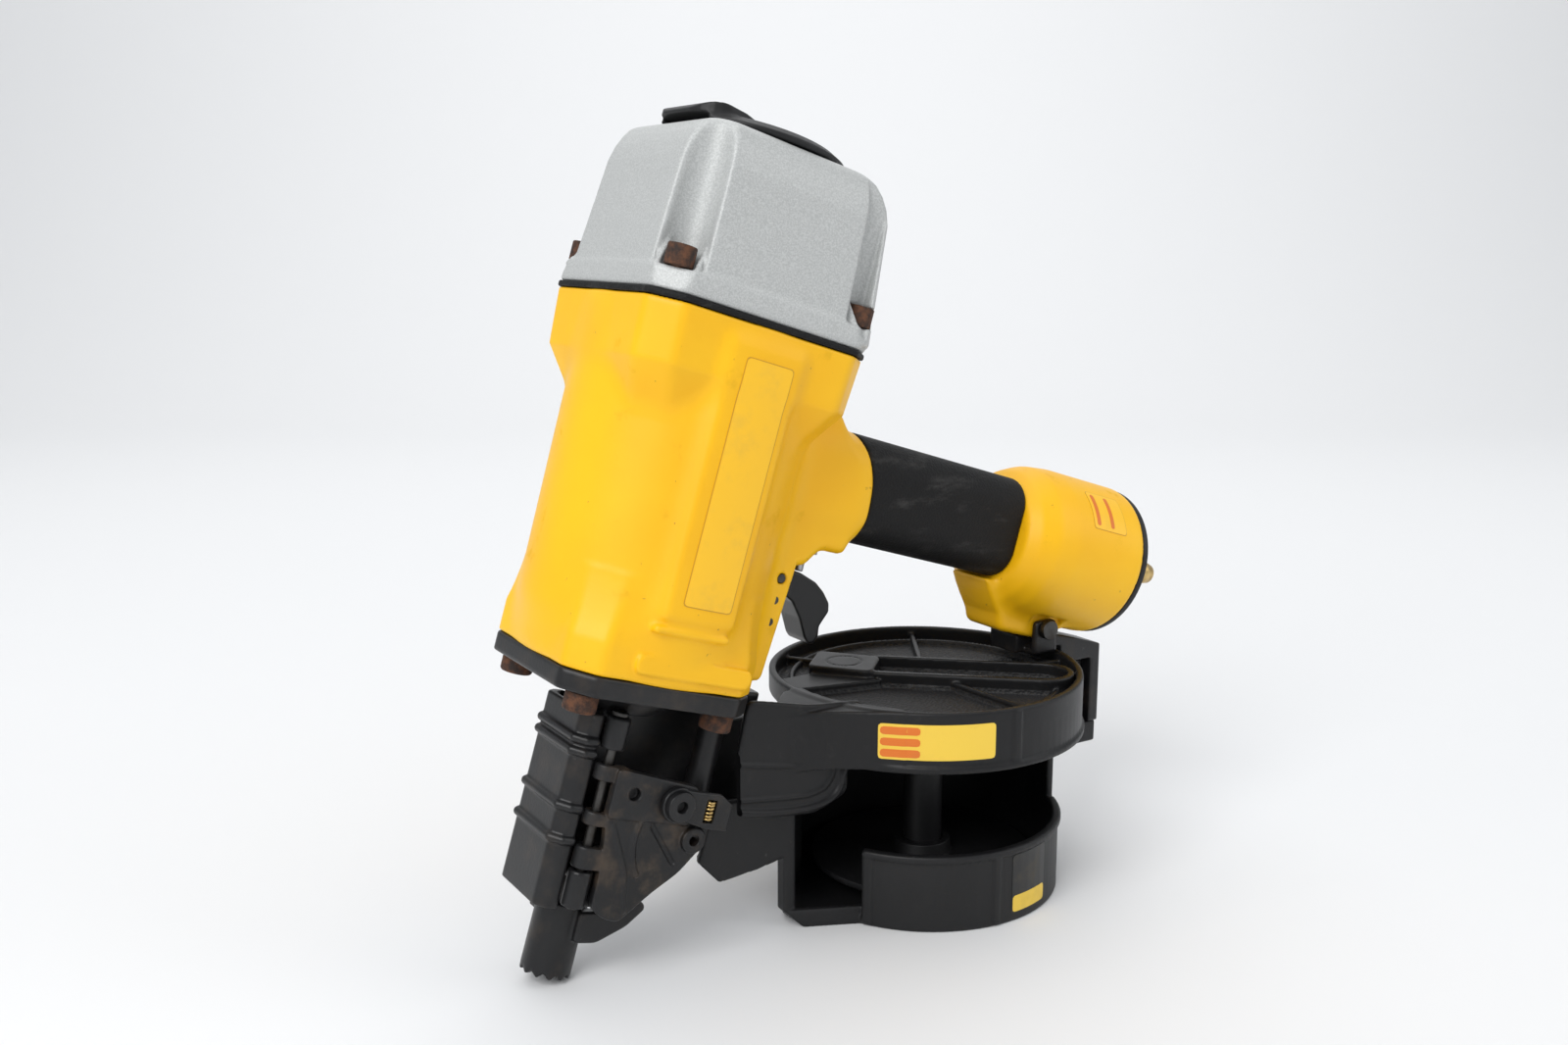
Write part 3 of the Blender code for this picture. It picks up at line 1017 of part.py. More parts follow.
def build_contact_trip(tool):
    """Toothed tip tube with its foot and far-side bar, the bent rod to the trigger, and its spring."""
    tip = turned([
        (TIP_BORE, 0.0), (TIP_RADIUS, 0.0), (TIP_RADIUS, TIP_LENGTH), (TIP_BORE, TIP_LENGTH),
    ], segments=TIP_TEETH * 2, ring=True)
    step = math.tau / (TIP_TEETH * 2)
    for vert in tip.verts:
        tooth = round(math.atan2(vert.co.y, vert.co.x) / step) % 2
        if vert.co.z < MERGE and tooth:
            vert.co.z = TIP_TOOTH
    trip = piece("contact_trip", tip, "black_casting", tool)
    bar_far = TRIP_BAR_V + TRIP_BAR_THICKNESS
    half = TRIP_BAR_WIDTH / 2
    strap_top = TRIP_STRAP_LEVEL + TRIP_STRAP_HEIGHT
    rod_foot = TRIP_ROD_U + TRIP_ROD_RADIUS + 3.0 * MM
    inside = TIP_BORE + 0.6 * MM
    bar_low = TIP_LENGTH - 9.0 * MM
    foot = [
        (2.0 * MM, TIP_LENGTH - 14.0 * MM), (12.0 * MM, TIP_LENGTH - 13.5 * MM),
        (24.0 * MM, TIP_LENGTH - 6.0 * MM),
        (31.0 * MM, TIP_LENGTH + 2.0 * MM), (29.0 * MM, TIP_LENGTH + 5.0 * MM),
        (10.0 * MM, TIP_LENGTH - 0.5 * MM),
        (2.0 * MM, TIP_LENGTH - 1.0 * MM),
    ]
    add(trip, [
        box((-half, half), (inside, bar_far - 0.5 * MM), (bar_low, TIP_LENGTH - 0.5 * MM)),
        box((-half + 0.5 * MM, half - 0.5 * MM), (TRIP_BAR_V, bar_far), (bar_low + 1.0 * MM, strap_top)),
        box(
            (0.0, rod_foot), (TRIP_BAR_V + 0.2 * MM, bar_far + 2.6 * MM),
            (TRIP_STRAP_LEVEL, strap_top - 0.2 * MM),
        ),
        prism(foot, -14.0 * MM, -inside, "v"),
    ])
    ear_top = SPRING_EAR_LOW + SPRING_EAR
    start = strap_top - 0.2 * MM + GAP
    bent = [
        (TRIP_ROD_U, TRIP_ROD_V, start), (TRIP_ROD_U, TRIP_ROD_V, ear_top + 3.0 * MM),
        (TRIP_ROD_U, TRIP_ROD_V * 0.85, ear_top + 7.0 * MM),
        (TRIP_ROD_U, TRIP_ROD_V * 0.15, ear_top + 17.0 * MM),
        (TRIP_ROD_U, 0.0, ear_top + 21.0 * MM), (TRIP_ROD_U, 0.0, TRIP_ROD_TOP),
    ]
    piece("trip_rod", sweep(bent, TRIP_ROD_RADIUS, 8), "steel", tool)
    radius = TRIP_ROD_RADIUS + TRIP_SPRING_WIRE + GAP
    low = start + TRIP_SPRING_WIRE
    high = SPRING_EAR_LOW - TRIP_SPRING_WIRE - GAP
    coil = helix((TRIP_ROD_U, TRIP_ROD_V), radius, low, high, 5)
    piece("trip_spring", sweep(coil, TRIP_SPRING_WIRE), "steel", tool)


def build_door(tool):
    """Hinged nose door with a feed rib, its pin, and the sprung latch on its strip."""
    hinge = (HINGE_U, HINGE_V, 0.0)
    strip_back = DOOR_FACE_V + DOOR_STRIP_THICKNESS
    fan_face = DOOR_FACE_V + 1.6 * MM
    fan_back = fan_face + DOOR_FAN_THICKNESS
    root = HINGE_U + 2.0 * MM
    strip = rounded([
        (root, DOOR_STRIP_LOW), (DOOR_STRIP_END, DOOR_STRIP_LOW),
        (DOOR_STRIP_END, DOOR_STRIP_HIGH - 4.0 * MM),
        (root, DOOR_STRIP_HIGH),
    ], 2.0 * MM, 2)
    door = piece("nose_door", prism(strip, DOOR_FACE_V, strip_back, "v"), "black_casting", tool, hinge)
    fan = rounded([
        (root + 0.5 * MM, DOOR_STRIP_LOW + 2.0 * MM), (root + 1.5 * MM, DOOR_STRIP_LOW - 18.0 * MM),
        (7.0 * MM, DOOR_FAN_LOW + 2.0 * MM),
        (12.0 * MM, DOOR_FAN_LOW), (24.0 * MM, DOOR_FAN_LOW + 13.0 * MM),
        (34.0 * MM, DOOR_FAN_LOW + 22.0 * MM),
        (DOOR_FAN_END, STOP_W - 1.5 * MM), (DOOR_FAN_END, DOOR_STRIP_LOW + 1.0 * MM),
    ], 3.0 * MM, 2)
    arc_rib = ring_sector(27.0 * MM, 27.0 * MM - DOOR_RIB, math.radians(150.0), math.radians(215.0), 6)
    curved = [(u + STOP_U, w + STOP_W - 1.5 * MM) for u, w in arc_rib]
    solids = [
        prism(fan, fan_face, fan_back, "v"),
        box(
            (1.0 * MM, GUIDE_BACK - 1.0 * MM), (fan_face + 1.0 * MM, -FEED_SLOT_V - 1.0 * MM),
            (GUIDE_LOW + 11.0 * MM, DOOR_STRIP_HIGH - 4.0 * MM),
        ),
        prism(curved, fan_face - DOOR_RIB, fan_face + 1.0 * MM, "v"),
        rod(STOP_RADIUS, DOOR_FACE_V - 1.0 * MM, fan_back - 1.0 * MM, (STOP_U, STOP_W), "v", ROUND),
    ]
    for low, high in DOOR_KNUCKLES:
        solids.append(rod(KNUCKLE_RADIUS, low, high, (HINGE_U, HINGE_V), "w", SMALL))
        solids.append(
            box(
                (HINGE_U, root + 6.0 * MM), (fan_face + 0.5 * MM, HINGE_V + 2.0 * MM),
                (low + 0.2 * MM, high - 0.2 * MM),
            ),
        )
    add(door, solids)
    across = (-60.0 * MM, -GUIDE_NEAR - 1.0 * MM)
    cut(door, [
        rod(
            HINGE_PIN_RADIUS + GAP, LOWER_KNUCKLE[0], UPPER_KNUCKLE[1] + 5.0 * MM, (HINGE_U, HINGE_V),
            "w", SMALL,
        ),
        rod(LATCH_PIN_RADIUS + GAP, *across, (LATCH_U, LATCH_W), "v", SMALL),
        rod(STRIP_HOLE, across[0], strip_back - 1.5 * MM, (STRIP_HOLE_U, STRIP_HOLE_W), "v", SMALL),
        rod(STOP_RADIUS - 3.2 * MM, *across, (STOP_U, STOP_W), "v", SMALL),
    ])
    pin_head = UPPER_KNUCKLE[1] + GAP
    piece("door_hinge_pin", turned([
        (0.0, LOWER_KNUCKLE[0] - 1.0 * MM), (HINGE_PIN_RADIUS, LOWER_KNUCKLE[0] - 1.0 * MM),
        (HINGE_PIN_RADIUS, pin_head),
        (HINGE_PIN_HEAD, pin_head), (HINGE_PIN_HEAD, pin_head + 1.6 * MM), (0.0, pin_head + 1.6 * MM),
    ], hinge, "w", SMALL), "steel", tool)
    latch_axis = (LATCH_U, 0.0, LATCH_W)
    latch_front = LATCH_FACE_V - LATCH_THICKNESS
    half = LATCH_SPRING_LENGTH / 2
    middle = LATCH_W - 1.2 * MM
    border = 2.6 * MM
    eye = arc((LATCH_U, LATCH_W), LATCH_EYE, math.radians(60.0), math.radians(300.0), 10)
    tail = [
        (LATCH_SPRING_U, middle - half - border), (LATCH_END, middle - half - border),
        (LATCH_END, middle + half - 1.0 * MM), (LATCH_SPRING_U + 4.0 * MM, middle + half + border),
        (LATCH_SPRING_U - 5.0 * MM, middle + half + border),
    ]
    latch = piece(
        "door_latch", prism(eye + tail, latch_front, LATCH_FACE_V, "v"), "black_casting", tool,
        latch_axis,
    )
    window = LATCH_SPRING_RADIUS + LATCH_SPRING_WIRE + GAP
    cut(latch, [
        rod(LATCH_PIN_RADIUS + GAP, *across, (LATCH_U, LATCH_W), "v", SMALL),
        box((LATCH_SPRING_U - window, LATCH_SPRING_U + window), across, (middle - half, middle + half)),
    ])
    seat = latch_front - GAP
    face = seat - LATCH_PIN_HEAD_HEIGHT
    piece("latch_pin", turned([
        (0.0, strip_back), (LATCH_PIN_RADIUS, strip_back), (LATCH_PIN_RADIUS, seat), (LATCH_PIN_HEAD, seat),
        (LATCH_PIN_HEAD - 0.5 * MM, face), (LATCH_PIN_RADIUS - 0.6 * MM, face),
        (LATCH_PIN_RADIUS - 0.6 * MM, seat + 1.0 * MM),
        (0.0, seat + 1.0 * MM),
    ], latch_axis, "v", SMALL), "black_casting", tool)
    end = LATCH_SPRING_WIRE + GAP
    coil = helix(
        (LATCH_SPRING_U, LATCH_FACE_V - LATCH_THICKNESS / 2), LATCH_SPRING_RADIUS,
        middle - half + end, middle + half - end, 4,
    )
    piece("latch_spring", sweep(coil, LATCH_SPRING_WIRE), "brass", tool)


def build_trigger(tool):
    """Finger trigger on its cross pin, with the valve stem and bush above it."""
    axis = (TRIGGER_U, 0.0, TRIGGER_W)
    boss = arc((TRIGGER_U, TRIGGER_W), 3.2 * MM, math.radians(100.0), math.radians(250.0), 5)
    finger = [
        (8.5, -6.2), (16.5, -9.7), (22.5, -16.2), (27.5, -24.1), (29.8, -26.1), (32.5, -25.7),
        (34.1, -22.2),
        (33.3, -17.7), (36.3, -10.7), (35.3, -7.0), (31.0, -2.7), (26.0, 0.5), (17.3, 3.1), (10.5, 3.9),
    ]
    outline = boss + [(TRIGGER_U + u * MM, TRIGGER_W + w * MM) for u, w in finger]
    trigger = piece(
        "trigger", prism(outline, -TRIGGER_HALF, TRIGGER_HALF, "v"), "black_plastic", tool, axis,
    )
    across = 60.0 * MM
    inside = TRIGGER_HALF - 2.2 * MM
    cut(trigger, [
        rod(TRIGGER_PIN_RADIUS + GAP, -across, across, (TRIGGER_U, TRIGGER_W), "v", SMALL),
        box(
            (TRIGGER_U + 6.0 * MM, TRIGGER_U + 17.0 * MM), (-inside, inside),
            (TRIGGER_W - 3.2 * MM, TRIGGER_W + 12.0 * MM),
        ),
    ])
    reach = CHEEK_V + CHEEK_WALL
    piece(
        "trigger_pin", rod(TRIGGER_PIN_RADIUS, -reach, reach, (TRIGGER_U, TRIGGER_W), "v", SMALL),
        "steel", tool,
    )
    bush_high = BUSH_LOW + BUSH_LENGTH
    piece("trigger_valve_bush", turned([
        (STEM_RADIUS + GAP, BUSH_LOW), (BUSH_RADIUS, BUSH_LOW), (BUSH_RADIUS, bush_high),
        (STEM_RADIUS + GAP, bush_high),
    ], (STEM_U, 0.0, 0.0), "w", ROUND, ring=True), "steel", tool)
    stem_high = STEM_LOW + STEM_LENGTH
    piece("trigger_valve_stem", turned([
        (0.0, STEM_LOW), (STEM_RADIUS - 0.6 * MM, STEM_LOW), (STEM_RADIUS, STEM_LOW + 0.6 * MM),
        (STEM_RADIUS, stem_high), (0.0, stem_high),
    ], (STEM_U, 0.0, 0.0), "w", SMALL), "steel", tool, (STEM_U, 0.0, STEM_LOW))


def build_feed(tool):
    """Feed piston with its nail pawl and return spring, in the nose casting's side cylinder."""
    crown = FEED_START + FEED_HEAD + FEED_PISTON
    feed = piece(
        "feed_piston", rod(FEED_BORE - RUNNING, FEED_START + FEED_HEAD + GAP, crown, (FEED_V, FEED_W), "u"),
        "steel", tool, (FEED_START, FEED_V, FEED_W),
    )
    finger = FEED_SLOT_HALF - GAP
    add(
        feed,
        [
            box(
                (crown - 6.0 * MM, crown - 1.0 * MM), (CHUTE_WALL_V - 2.0 * MM, FEED_V),
                (FEED_W - finger, FEED_W + finger),
            ),
        ],
    )
    plug_face = FEED_END - 3.0 * MM
    head = FEED_END + GAP
    piece("feed_end_plug", turned([
        (0.0, plug_face), (FEED_BORE - GAP, plug_face), (FEED_BORE - GAP, head), (FEED_RADIUS, head),
        (FEED_RADIUS - 1.0 * MM, head + 2.3 * MM), (0.0, head + 2.3 * MM),
    ], (0.0, FEED_V, FEED_W), "u", ROUND), "steel", tool)
    end = FEED_SPRING_WIRE + GAP
    coil = helix((FEED_V, FEED_W), FEED_SPRING_RADIUS, crown + end, plug_face - end, 4, "u")
    piece("feed_spring", sweep(coil, FEED_SPRING_WIRE), "steel", tool)


def build_magazine():
    """Fixed cup with its chute, nail post and height-set platform, in world sizes."""
    inner = CUP_RADIUS - CUP_WALL
    cup = piece("magazine_canister", rod(CUP_RADIUS, 0.0, CUP_FLOOR, segments=FINE), "black_plastic", None)
    buried = CUP_FLOOR - 1.0 * MM
    low_wall = ring_sector(CUP_RADIUS - 0.1 * MM, inner, CUP_LOW_START, CUP_LOW_END + 0.02, 16)
    high_wall = ring_sector(CUP_RADIUS - 0.2 * MM, inner - 0.1 * MM, CUP_LOW_END, CUP_HIGH_END, 24)
    edge = CHUTE_WALL_V + CHUTE_WALL
    left = -CUP_LEFT
    near = -CUP_LEFT_NEAR
    start = [CUP_RADIUS * math.cos(CUP_LOW_START), CUP_RADIUS * math.sin(CUP_LOW_START)]
    tongue = [
        (0.0, start[1]), (start[0] + 2.0 * MM, start[1]), (left, near), (left, edge),
        (0.0, CUP_RADIUS / 2),
    ]
    jamb = [
        (left, near), (left + 4.0 * MM, near - 2.7 * MM), (left + 5.0 * MM, near + 0.2 * MM),
        (left + 3.0 * MM, near + 2.0 * MM),
        (left + 3.0 * MM, near + 6.0 * MM), (left, near + 6.0 * MM),
    ]
    cup_sill = [
        (start[0] + 2.2 * MM, start[1] + 0.2 * MM), (left + 0.2 * MM, near + 0.1 * MM),
        (left + 3.0 * MM, near + 2.0 * MM), (start[0] + 4.0 * MM, start[1] + 3.0 * MM),
    ]
    gate = CHUTE_END_U + GAP
    far_plate = [
        to_world(gate, CHUTE_LOW + 18.0 * MM), (left + 1.5 * MM, CHUTE_LOW), (
            left + 1.5 * MM, CHUTE_HIGH - 4.0 * MM,
        ),
        to_world(gate, CHUTE_HIGH + 12.0 * MM),
    ]
    join = high_wall[24]
    side = [
        (left - 1.0 * MM, CHUTE_WALL_V + 0.2 * MM), (left + 1.0 * MM, CHUTE_WALL_V + 0.2 * MM),
        (join[0] + 6.0 * MM, join[1] - 1.0 * MM),
        (join[0] + 2.0 * MM, join[1] + 1.0 * MM), (left - 1.0 * MM, edge - 0.2 * MM),
    ]
    near_plate = [
        to_world(gate, CHUTE_LOW + 17.0 * MM), (CHUTE_KNEE_LEFT, CHUTE_LOW), (CHUTE_KNEE_RIGHT, CHUTE_LOW),
        (left + 1.0 * MM, CHUTE_LOW + 4.0 * MM),
        (left + 1.0 * MM, CHUTE_PLATE_HIGH), to_world(gate, CHUTE_PLATE_HIGH + 18.0 * MM),
    ]
    sill = [
        (CHUTE_KNEE_LEFT + 2.0 * MM, CHUTE_LOW + 0.2 * MM), (CHUTE_KNEE_RIGHT, CHUTE_LOW + 0.2 * MM),
        (left + 0.5 * MM, CHUTE_LOW + 4.2 * MM), (left + 0.5 * MM, CHUTE_LOW + 7.0 * MM),
        (CHUTE_KNEE_RIGHT, CHUTE_LOW + 3.0 * MM), (CHUTE_KNEE_LEFT + 2.0 * MM, CHUTE_LOW + 3.0 * MM),
    ]
    ear_end = REAR_PIN_X + REAR_KNUCKLE + BRACKET_LEG
    add(cup, [
        prism(low_wall, buried, CUP_LOW_WALL),
        prism(high_wall, buried, CUP_HIGH_WALL),
        prism(tongue, 0.1 * MM, CUP_FLOOR - 0.1 * MM),
        prism(jamb, buried, CHUTE_PLATE_HIGH - 0.5 * MM),
        prism(cup_sill, buried - 0.2 * MM, CUP_SILL),
        prism(far_plate, CHUTE_WALL_V, edge, "v"),
        prism(side, buried, CHUTE_HIGH - 5.0 * MM),
        prism(near_plate, -CHUTE_PLATE_V, -CHUTE_PLATE_V + 3.0 * MM, "v"),
        prism(sill, -CHUTE_PLATE_V + 1.0 * MM, CHUTE_WALL_V + 1.0 * MM, "v"),
        box((inner + 1.0 * MM, ear_end), (-EAR_HALF, EAR_HALF), (EAR_LOW, EAR_HIGH)),
    ])
    bevel = [(left - 1.0 * MM, -1.0 * MM), (left + 9.0 * MM, -1.0 * MM), (left - 1.0 * MM, 9.0 * MM)]
    cut(cup, [
        prism(bevel, -CUP_RADIUS, CUP_RADIUS, "v"),
        rod(REAR_PIN_RADIUS + GAP, EAR_LOW - 5.0 * MM, EAR_HIGH + 5.0 * MM, (REAR_PIN_X, 0.0), "w", SMALL),
    ])
    foot = CUP_FLOOR + GAP
    piece("nail_post", turned([
        (0.0, foot), (POST_RADIUS + 3.0 * MM, foot), (POST_RADIUS + 3.0 * MM, foot + 2.2 * MM),
        (POST_RADIUS, foot + 3.2 * MM),
        (POST_RADIUS, POST_TOP - 2.0 * MM), (POST_RADIUS - 2.0 * MM, POST_TOP), (0.0, POST_TOP),
    ], segments=ROUND), "black_plastic", None)
    level = PLATFORM_LEVEL
    hub = level + 9.0 * MM
    piece("nail_platform", turned([
        (POST_RADIUS + RUNNING, level), (PLATFORM_RADIUS, level),
        (PLATFORM_RADIUS, level + PLATFORM_THICKNESS),
        (POST_RADIUS + 5.0 * MM, level + PLATFORM_THICKNESS), (POST_RADIUS + 4.0 * MM, hub),
        (POST_RADIUS + RUNNING, hub),
    ], segments=ROUND, ring=True), "black_plastic", None, (0.0, 0.0, level))


def cover_channel(grow):
    """Return the long round-ended finger channel on the cover's deck, as an outline."""
    start = Vector(CHANNEL_START)
    end = Vector(CHANNEL_END)
    along = end - start
    turn = math.atan2(along.y, along.x)
    half = CHANNEL_HALF + grow
    far = arc(CHANNEL_END, half, turn - math.pi / 2, turn + math.pi / 2, 8)
    near = arc(CHANNEL_START, half, turn + math.pi / 2, turn + 3 * math.pi / 2, 8)
    return far + near


def build_cover():
    """Swinging magazine cover: ribbed deck, skirt, chute arm and rear hinge knuckle."""
    low = COVER_DECK - COVER_DECK_THICKNESS
    inner = COVER_RADIUS - COVER_WALL
    cover = piece("magazine_cover", turned([
        (0.0, low), (COVER_RADIUS, low), (COVER_RADIUS, COVER_TOP), (inner, COVER_TOP), (inner, COVER_DECK),
        (COVER_HUB, COVER_DECK), (COVER_HUB, COVER_TOP - 2.0 * MM), (0.0, COVER_TOP - 2.0 * MM),
    ]), "black_plastic", None, (REAR_PIN_X, 0.0, 0.0))
    ribs = []
    for index in range(COVER_RIBS):
        angle = math.tau * (index + 0.5) / COVER_RIBS
        along = Vector((math.cos(angle), math.sin(angle)))
        across = Vector((-along.y, along.x)) * RIB_WIDTH / 2
        near = along * (COVER_HUB - 2.0 * MM)
        far = along * (inner + 1.0 * MM)
        corners = [tuple(near + across), tuple(near - across), tuple(far - across), tuple(far + across)]
        ribs.append(prism(corners, COVER_DECK - 1.0 * MM, COVER_TOP - 3.0 * MM))
    skirt = ring_sector(COVER_RADIUS - 0.1 * MM, inner + 0.1 * MM, COVER_SKIRT_START, COVER_SKIRT_END, 18)
    lip = ring_sector(
        COVER_RADIUS + 1.4 * MM, inner + 0.2 * MM, COVER_SKIRT_START + 0.2, COVER_SKIRT_END - 0.1, 16,
    )
    edge_low = to_world(ARM_EDGE_U, ARM_LOW + 17.0 * MM)
    edge_high = to_world(ARM_EDGE_U - 4.0 * MM, COVER_TOP + 25.0 * MM)
    window = ARM_CORNER_X
    arm = rounded([
        edge_low, (CHUTE_KNEE_LEFT + 20.0 * MM, ARM_LOW - 4.0 * MM), (
            window - 16.0 * MM, ARM_LOW - 6.0 * MM,
        ),
        (window, ARM_LOW), (window, COVER_SKIRT + 0.3 * MM), (window + 8.0 * MM, COVER_SKIRT + 0.3 * MM),
        (window + 8.0 * MM, COVER_TOP - 0.3 * MM), (window - 18.0 * MM, COVER_TOP + 2.0 * MM), edge_high,
    ], 4.0 * MM, 2)
    web = [
        (edge_high[0] + 14.0 * MM, -ARM_FACE + 1.0 * MM), (-COVER_RADIUS * 0.8, -ARM_FACE + 1.0 * MM),
        (-COVER_RADIUS + 6.0 * MM, -4.0 * MM), (-COVER_RADIUS - 15.0 * MM, -10.0 * MM),
    ]
    neck = REAR_KNUCKLE - 0.5 * MM
    add(cover, ribs + [
        prism(skirt, COVER_SKIRT + 0.2 * MM, COVER_DECK - 1.0 * MM),
        prism(lip, COVER_SKIRT, COVER_SKIRT + 3.0 * MM),
        prism(cover_channel(CHANNEL_WALL), COVER_DECK - 1.2 * MM, COVER_TOP - 0.2 * MM),
        prism(arm, -ARM_FACE, -ARM_FACE + ARM_WALL, "v"),
        prism(web, low + 0.2 * MM, COVER_TOP - 0.4 * MM),
        box(
            (inner + 0.4 * MM, REAR_PIN_X), (-neck, neck),
            (COVER_SKIRT + 0.5 * MM, REAR_KNUCKLE_HIGH - 0.2 * MM),
        ),
        rod(REAR_KNUCKLE, REAR_KNUCKLE_LOW, REAR_KNUCKLE_HIGH, (REAR_PIN_X, 0.0)),
    ])
    cut(cover, [
        prism(cover_channel(0.0), COVER_DECK + 0.2 * MM, COVER_TOP + 5.0 * MM),
        rod(REAR_PIN_RADIUS + GAP, 0.0, REAR_KNUCKLE_HIGH + 5.0 * MM, (REAR_PIN_X, 0.0), "w", SMALL),
    ])
    start = Vector(CHANNEL_START)
    pad = [tuple(start + Vector(offset)) for offset in PAD_CORNERS]
    add(cover, [prism(rounded(pad, 4.0 * MM, 2), COVER_DECK - 1.4 * MM, COVER_TOP - 0.1 * MM)])


def build_rear_bracket(tool):
    """Bracket between the housing lug and the magazine, its cross bolt and the cover's hinge pin."""
    leg = REAR_PIN_X + REAR_KNUCKLE + GAP
    leg_end = leg + BRACKET_LEG
    clear = COVER_TOP + 0.6 * MM
    step = COVER_RADIUS + 3.5 * MM
    front, under = to_world(BRACKET_START, LUG_LEVEL - GAP)
    side = [
        (front, clear), (front, under), to_world(LUG_BACK, LUG_LEVEL - GAP),
        to_world(LUG_BACK + 9.0 * MM, LUG_LEVEL + 3.7 * MM),
        (step + 10.0 * MM, BRACKET_HIGH + 5.0 * MM), (leg_end, BRACKET_HIGH), (leg_end, EAR_HIGH + GAP),
        (leg, EAR_HIGH + GAP), (leg, BRACKET_LOW), (step, BRACKET_LOW), (step, clear),
    ]
    bracket = piece("rear_bracket", prism(side, -BRACKET_HALF, BRACKET_HALF, "v"), "black_casting", None)
    bolt_x, bolt_z = to_world(BRACKET_BOLT_U, BRACKET_BOLT_W)
    inside = LUG_HALF + GAP
    outside = inside + BRACKET_EAR
    ear = rounded([
        (bolt_x - 7.0 * MM, clear + 0.2 * MM), (bolt_x + 7.0 * MM, clear + 0.2 * MM),
        (bolt_x + 6.0 * MM, bolt_z + 4.0 * MM),
        (bolt_x - 6.0 * MM, bolt_z + 4.0 * MM),
    ], 2.0 * MM, 3)
    foot = [
        (bolt_x - 6.8 * MM, clear + 0.1 * MM), (bolt_x + 6.8 * MM, clear + 0.1 * MM),
        (bolt_x + 6.8 * MM, clear + 2.6 * MM), (bolt_x - 6.8 * MM, clear + 2.6 * MM),
    ]
    add(bracket, [
        prism(ear, -outside, -inside, "v"), prism(ear, inside, outside, "v"),
        prism(foot, -outside + 0.1 * MM, outside - 0.1 * MM, "v"),
    ])
    pin_top = BRACKET_HIGH - 1.5 * MM
    cut(bracket, [
        rod(BRACKET_BOLT_RADIUS + GAP, -60.0 * MM, 60.0 * MM, (bolt_x, bolt_z), "v", SMALL),
        rod(REAR_PIN_RADIUS + GAP, BRACKET_LOW - 5.0 * MM, pin_top + GAP, (REAR_PIN_X, 0.0), "w", SMALL),
    ])
    reach = outside + GAP
    piece("bracket_bolt", turned([
        (0.0, -reach - 3.0 * MM), (BRACKET_BOLT_HEAD, -reach - 3.0 * MM), (BRACKET_BOLT_HEAD, -reach),
        (BRACKET_BOLT_RADIUS, -reach), (BRACKET_BOLT_RADIUS, reach), (0.0, reach),
    ], (BRACKET_BOLT_U, 0.0, BRACKET_BOLT_W), "v", SMALL), "rusty_steel", tool)
    piece(
        "magazine_hinge_pin", rod(REAR_PIN_RADIUS, EAR_LOW, pin_top, (REAR_PIN_X, 0.0), "w", SMALL),
        "steel", None,
    )


def main():
    """Build every piece in its place."""
    for leftover in list(bpy.data.objects):
        bpy.data.objects.remove(leftover, do_unlink=True)
    stand = (-NOSE_TO_MAGAZINE, 0.0, TIP_RADIUS * math.sin(TILT))
    tool = frame_empty("tool_frame", stand, (0.0, TILT, 0.0))
    build_housing(tool)
    build_handle_fittings(tool)
    build_cap(tool)
    build_drive(tool)
    build_nose(tool)
    build_guard(tool)
    build_contact_trip(tool)
    build_door(tool)
    build_trigger(tool)
    build_feed(tool)
    build_magazine()
    build_cover()
    build_rear_bracket(tool)


main()
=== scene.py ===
"""Looks of the coil nailer: smooth castings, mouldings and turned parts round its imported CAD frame.

Sizes here are in millimetres. Tool frame: u towards the handle's end, v across, w up the drive axis.
World frame: x towards the air inlet, z up, origin on the floor under the magazine.
"""
from __future__ import annotations

import json
import logging
import math
from dataclasses import dataclass, field
from enum import Enum
from typing import Any, Callable, Sequence

import bpy
import numpy as np
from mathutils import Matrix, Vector

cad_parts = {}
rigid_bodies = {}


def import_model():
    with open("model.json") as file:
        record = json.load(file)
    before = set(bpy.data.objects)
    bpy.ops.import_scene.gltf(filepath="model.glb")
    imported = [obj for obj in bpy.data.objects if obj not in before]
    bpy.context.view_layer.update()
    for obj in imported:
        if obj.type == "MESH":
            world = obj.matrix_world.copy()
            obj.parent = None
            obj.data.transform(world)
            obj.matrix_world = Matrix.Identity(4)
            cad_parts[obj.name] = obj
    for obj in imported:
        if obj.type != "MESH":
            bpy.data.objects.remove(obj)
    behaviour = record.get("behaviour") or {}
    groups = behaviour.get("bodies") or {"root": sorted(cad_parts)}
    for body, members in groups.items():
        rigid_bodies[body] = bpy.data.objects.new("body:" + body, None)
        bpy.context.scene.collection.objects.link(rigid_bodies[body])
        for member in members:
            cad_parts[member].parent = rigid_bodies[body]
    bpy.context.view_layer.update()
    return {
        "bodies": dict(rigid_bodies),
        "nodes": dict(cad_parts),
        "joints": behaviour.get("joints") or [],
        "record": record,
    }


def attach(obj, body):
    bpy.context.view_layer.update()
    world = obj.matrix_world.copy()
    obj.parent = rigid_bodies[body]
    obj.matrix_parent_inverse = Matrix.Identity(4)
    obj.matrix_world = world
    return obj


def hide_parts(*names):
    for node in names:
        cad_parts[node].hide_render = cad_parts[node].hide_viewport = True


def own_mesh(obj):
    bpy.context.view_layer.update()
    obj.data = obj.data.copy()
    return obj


logging.basicConfig(level=logging.INFO, format="%(message)s")
LOG = logging.getLogger("nailer")

Array = np.ndarray
Point = tuple[float, float]
Points = list[Point]
Outline = Sequence[Point]
Flat = Callable[[Array, Array], Array]
Skin = tuple[Array, Array]
Colour = tuple[float, float, float]

MM = 0.001

# Stand of the tool frame in the world
TILT = math.radians(17.09)
NOSE_X = -191.8
NOSE_Z = 10.5 * math.sin(TILT)
ORIGIN = (0.0, 0.0)

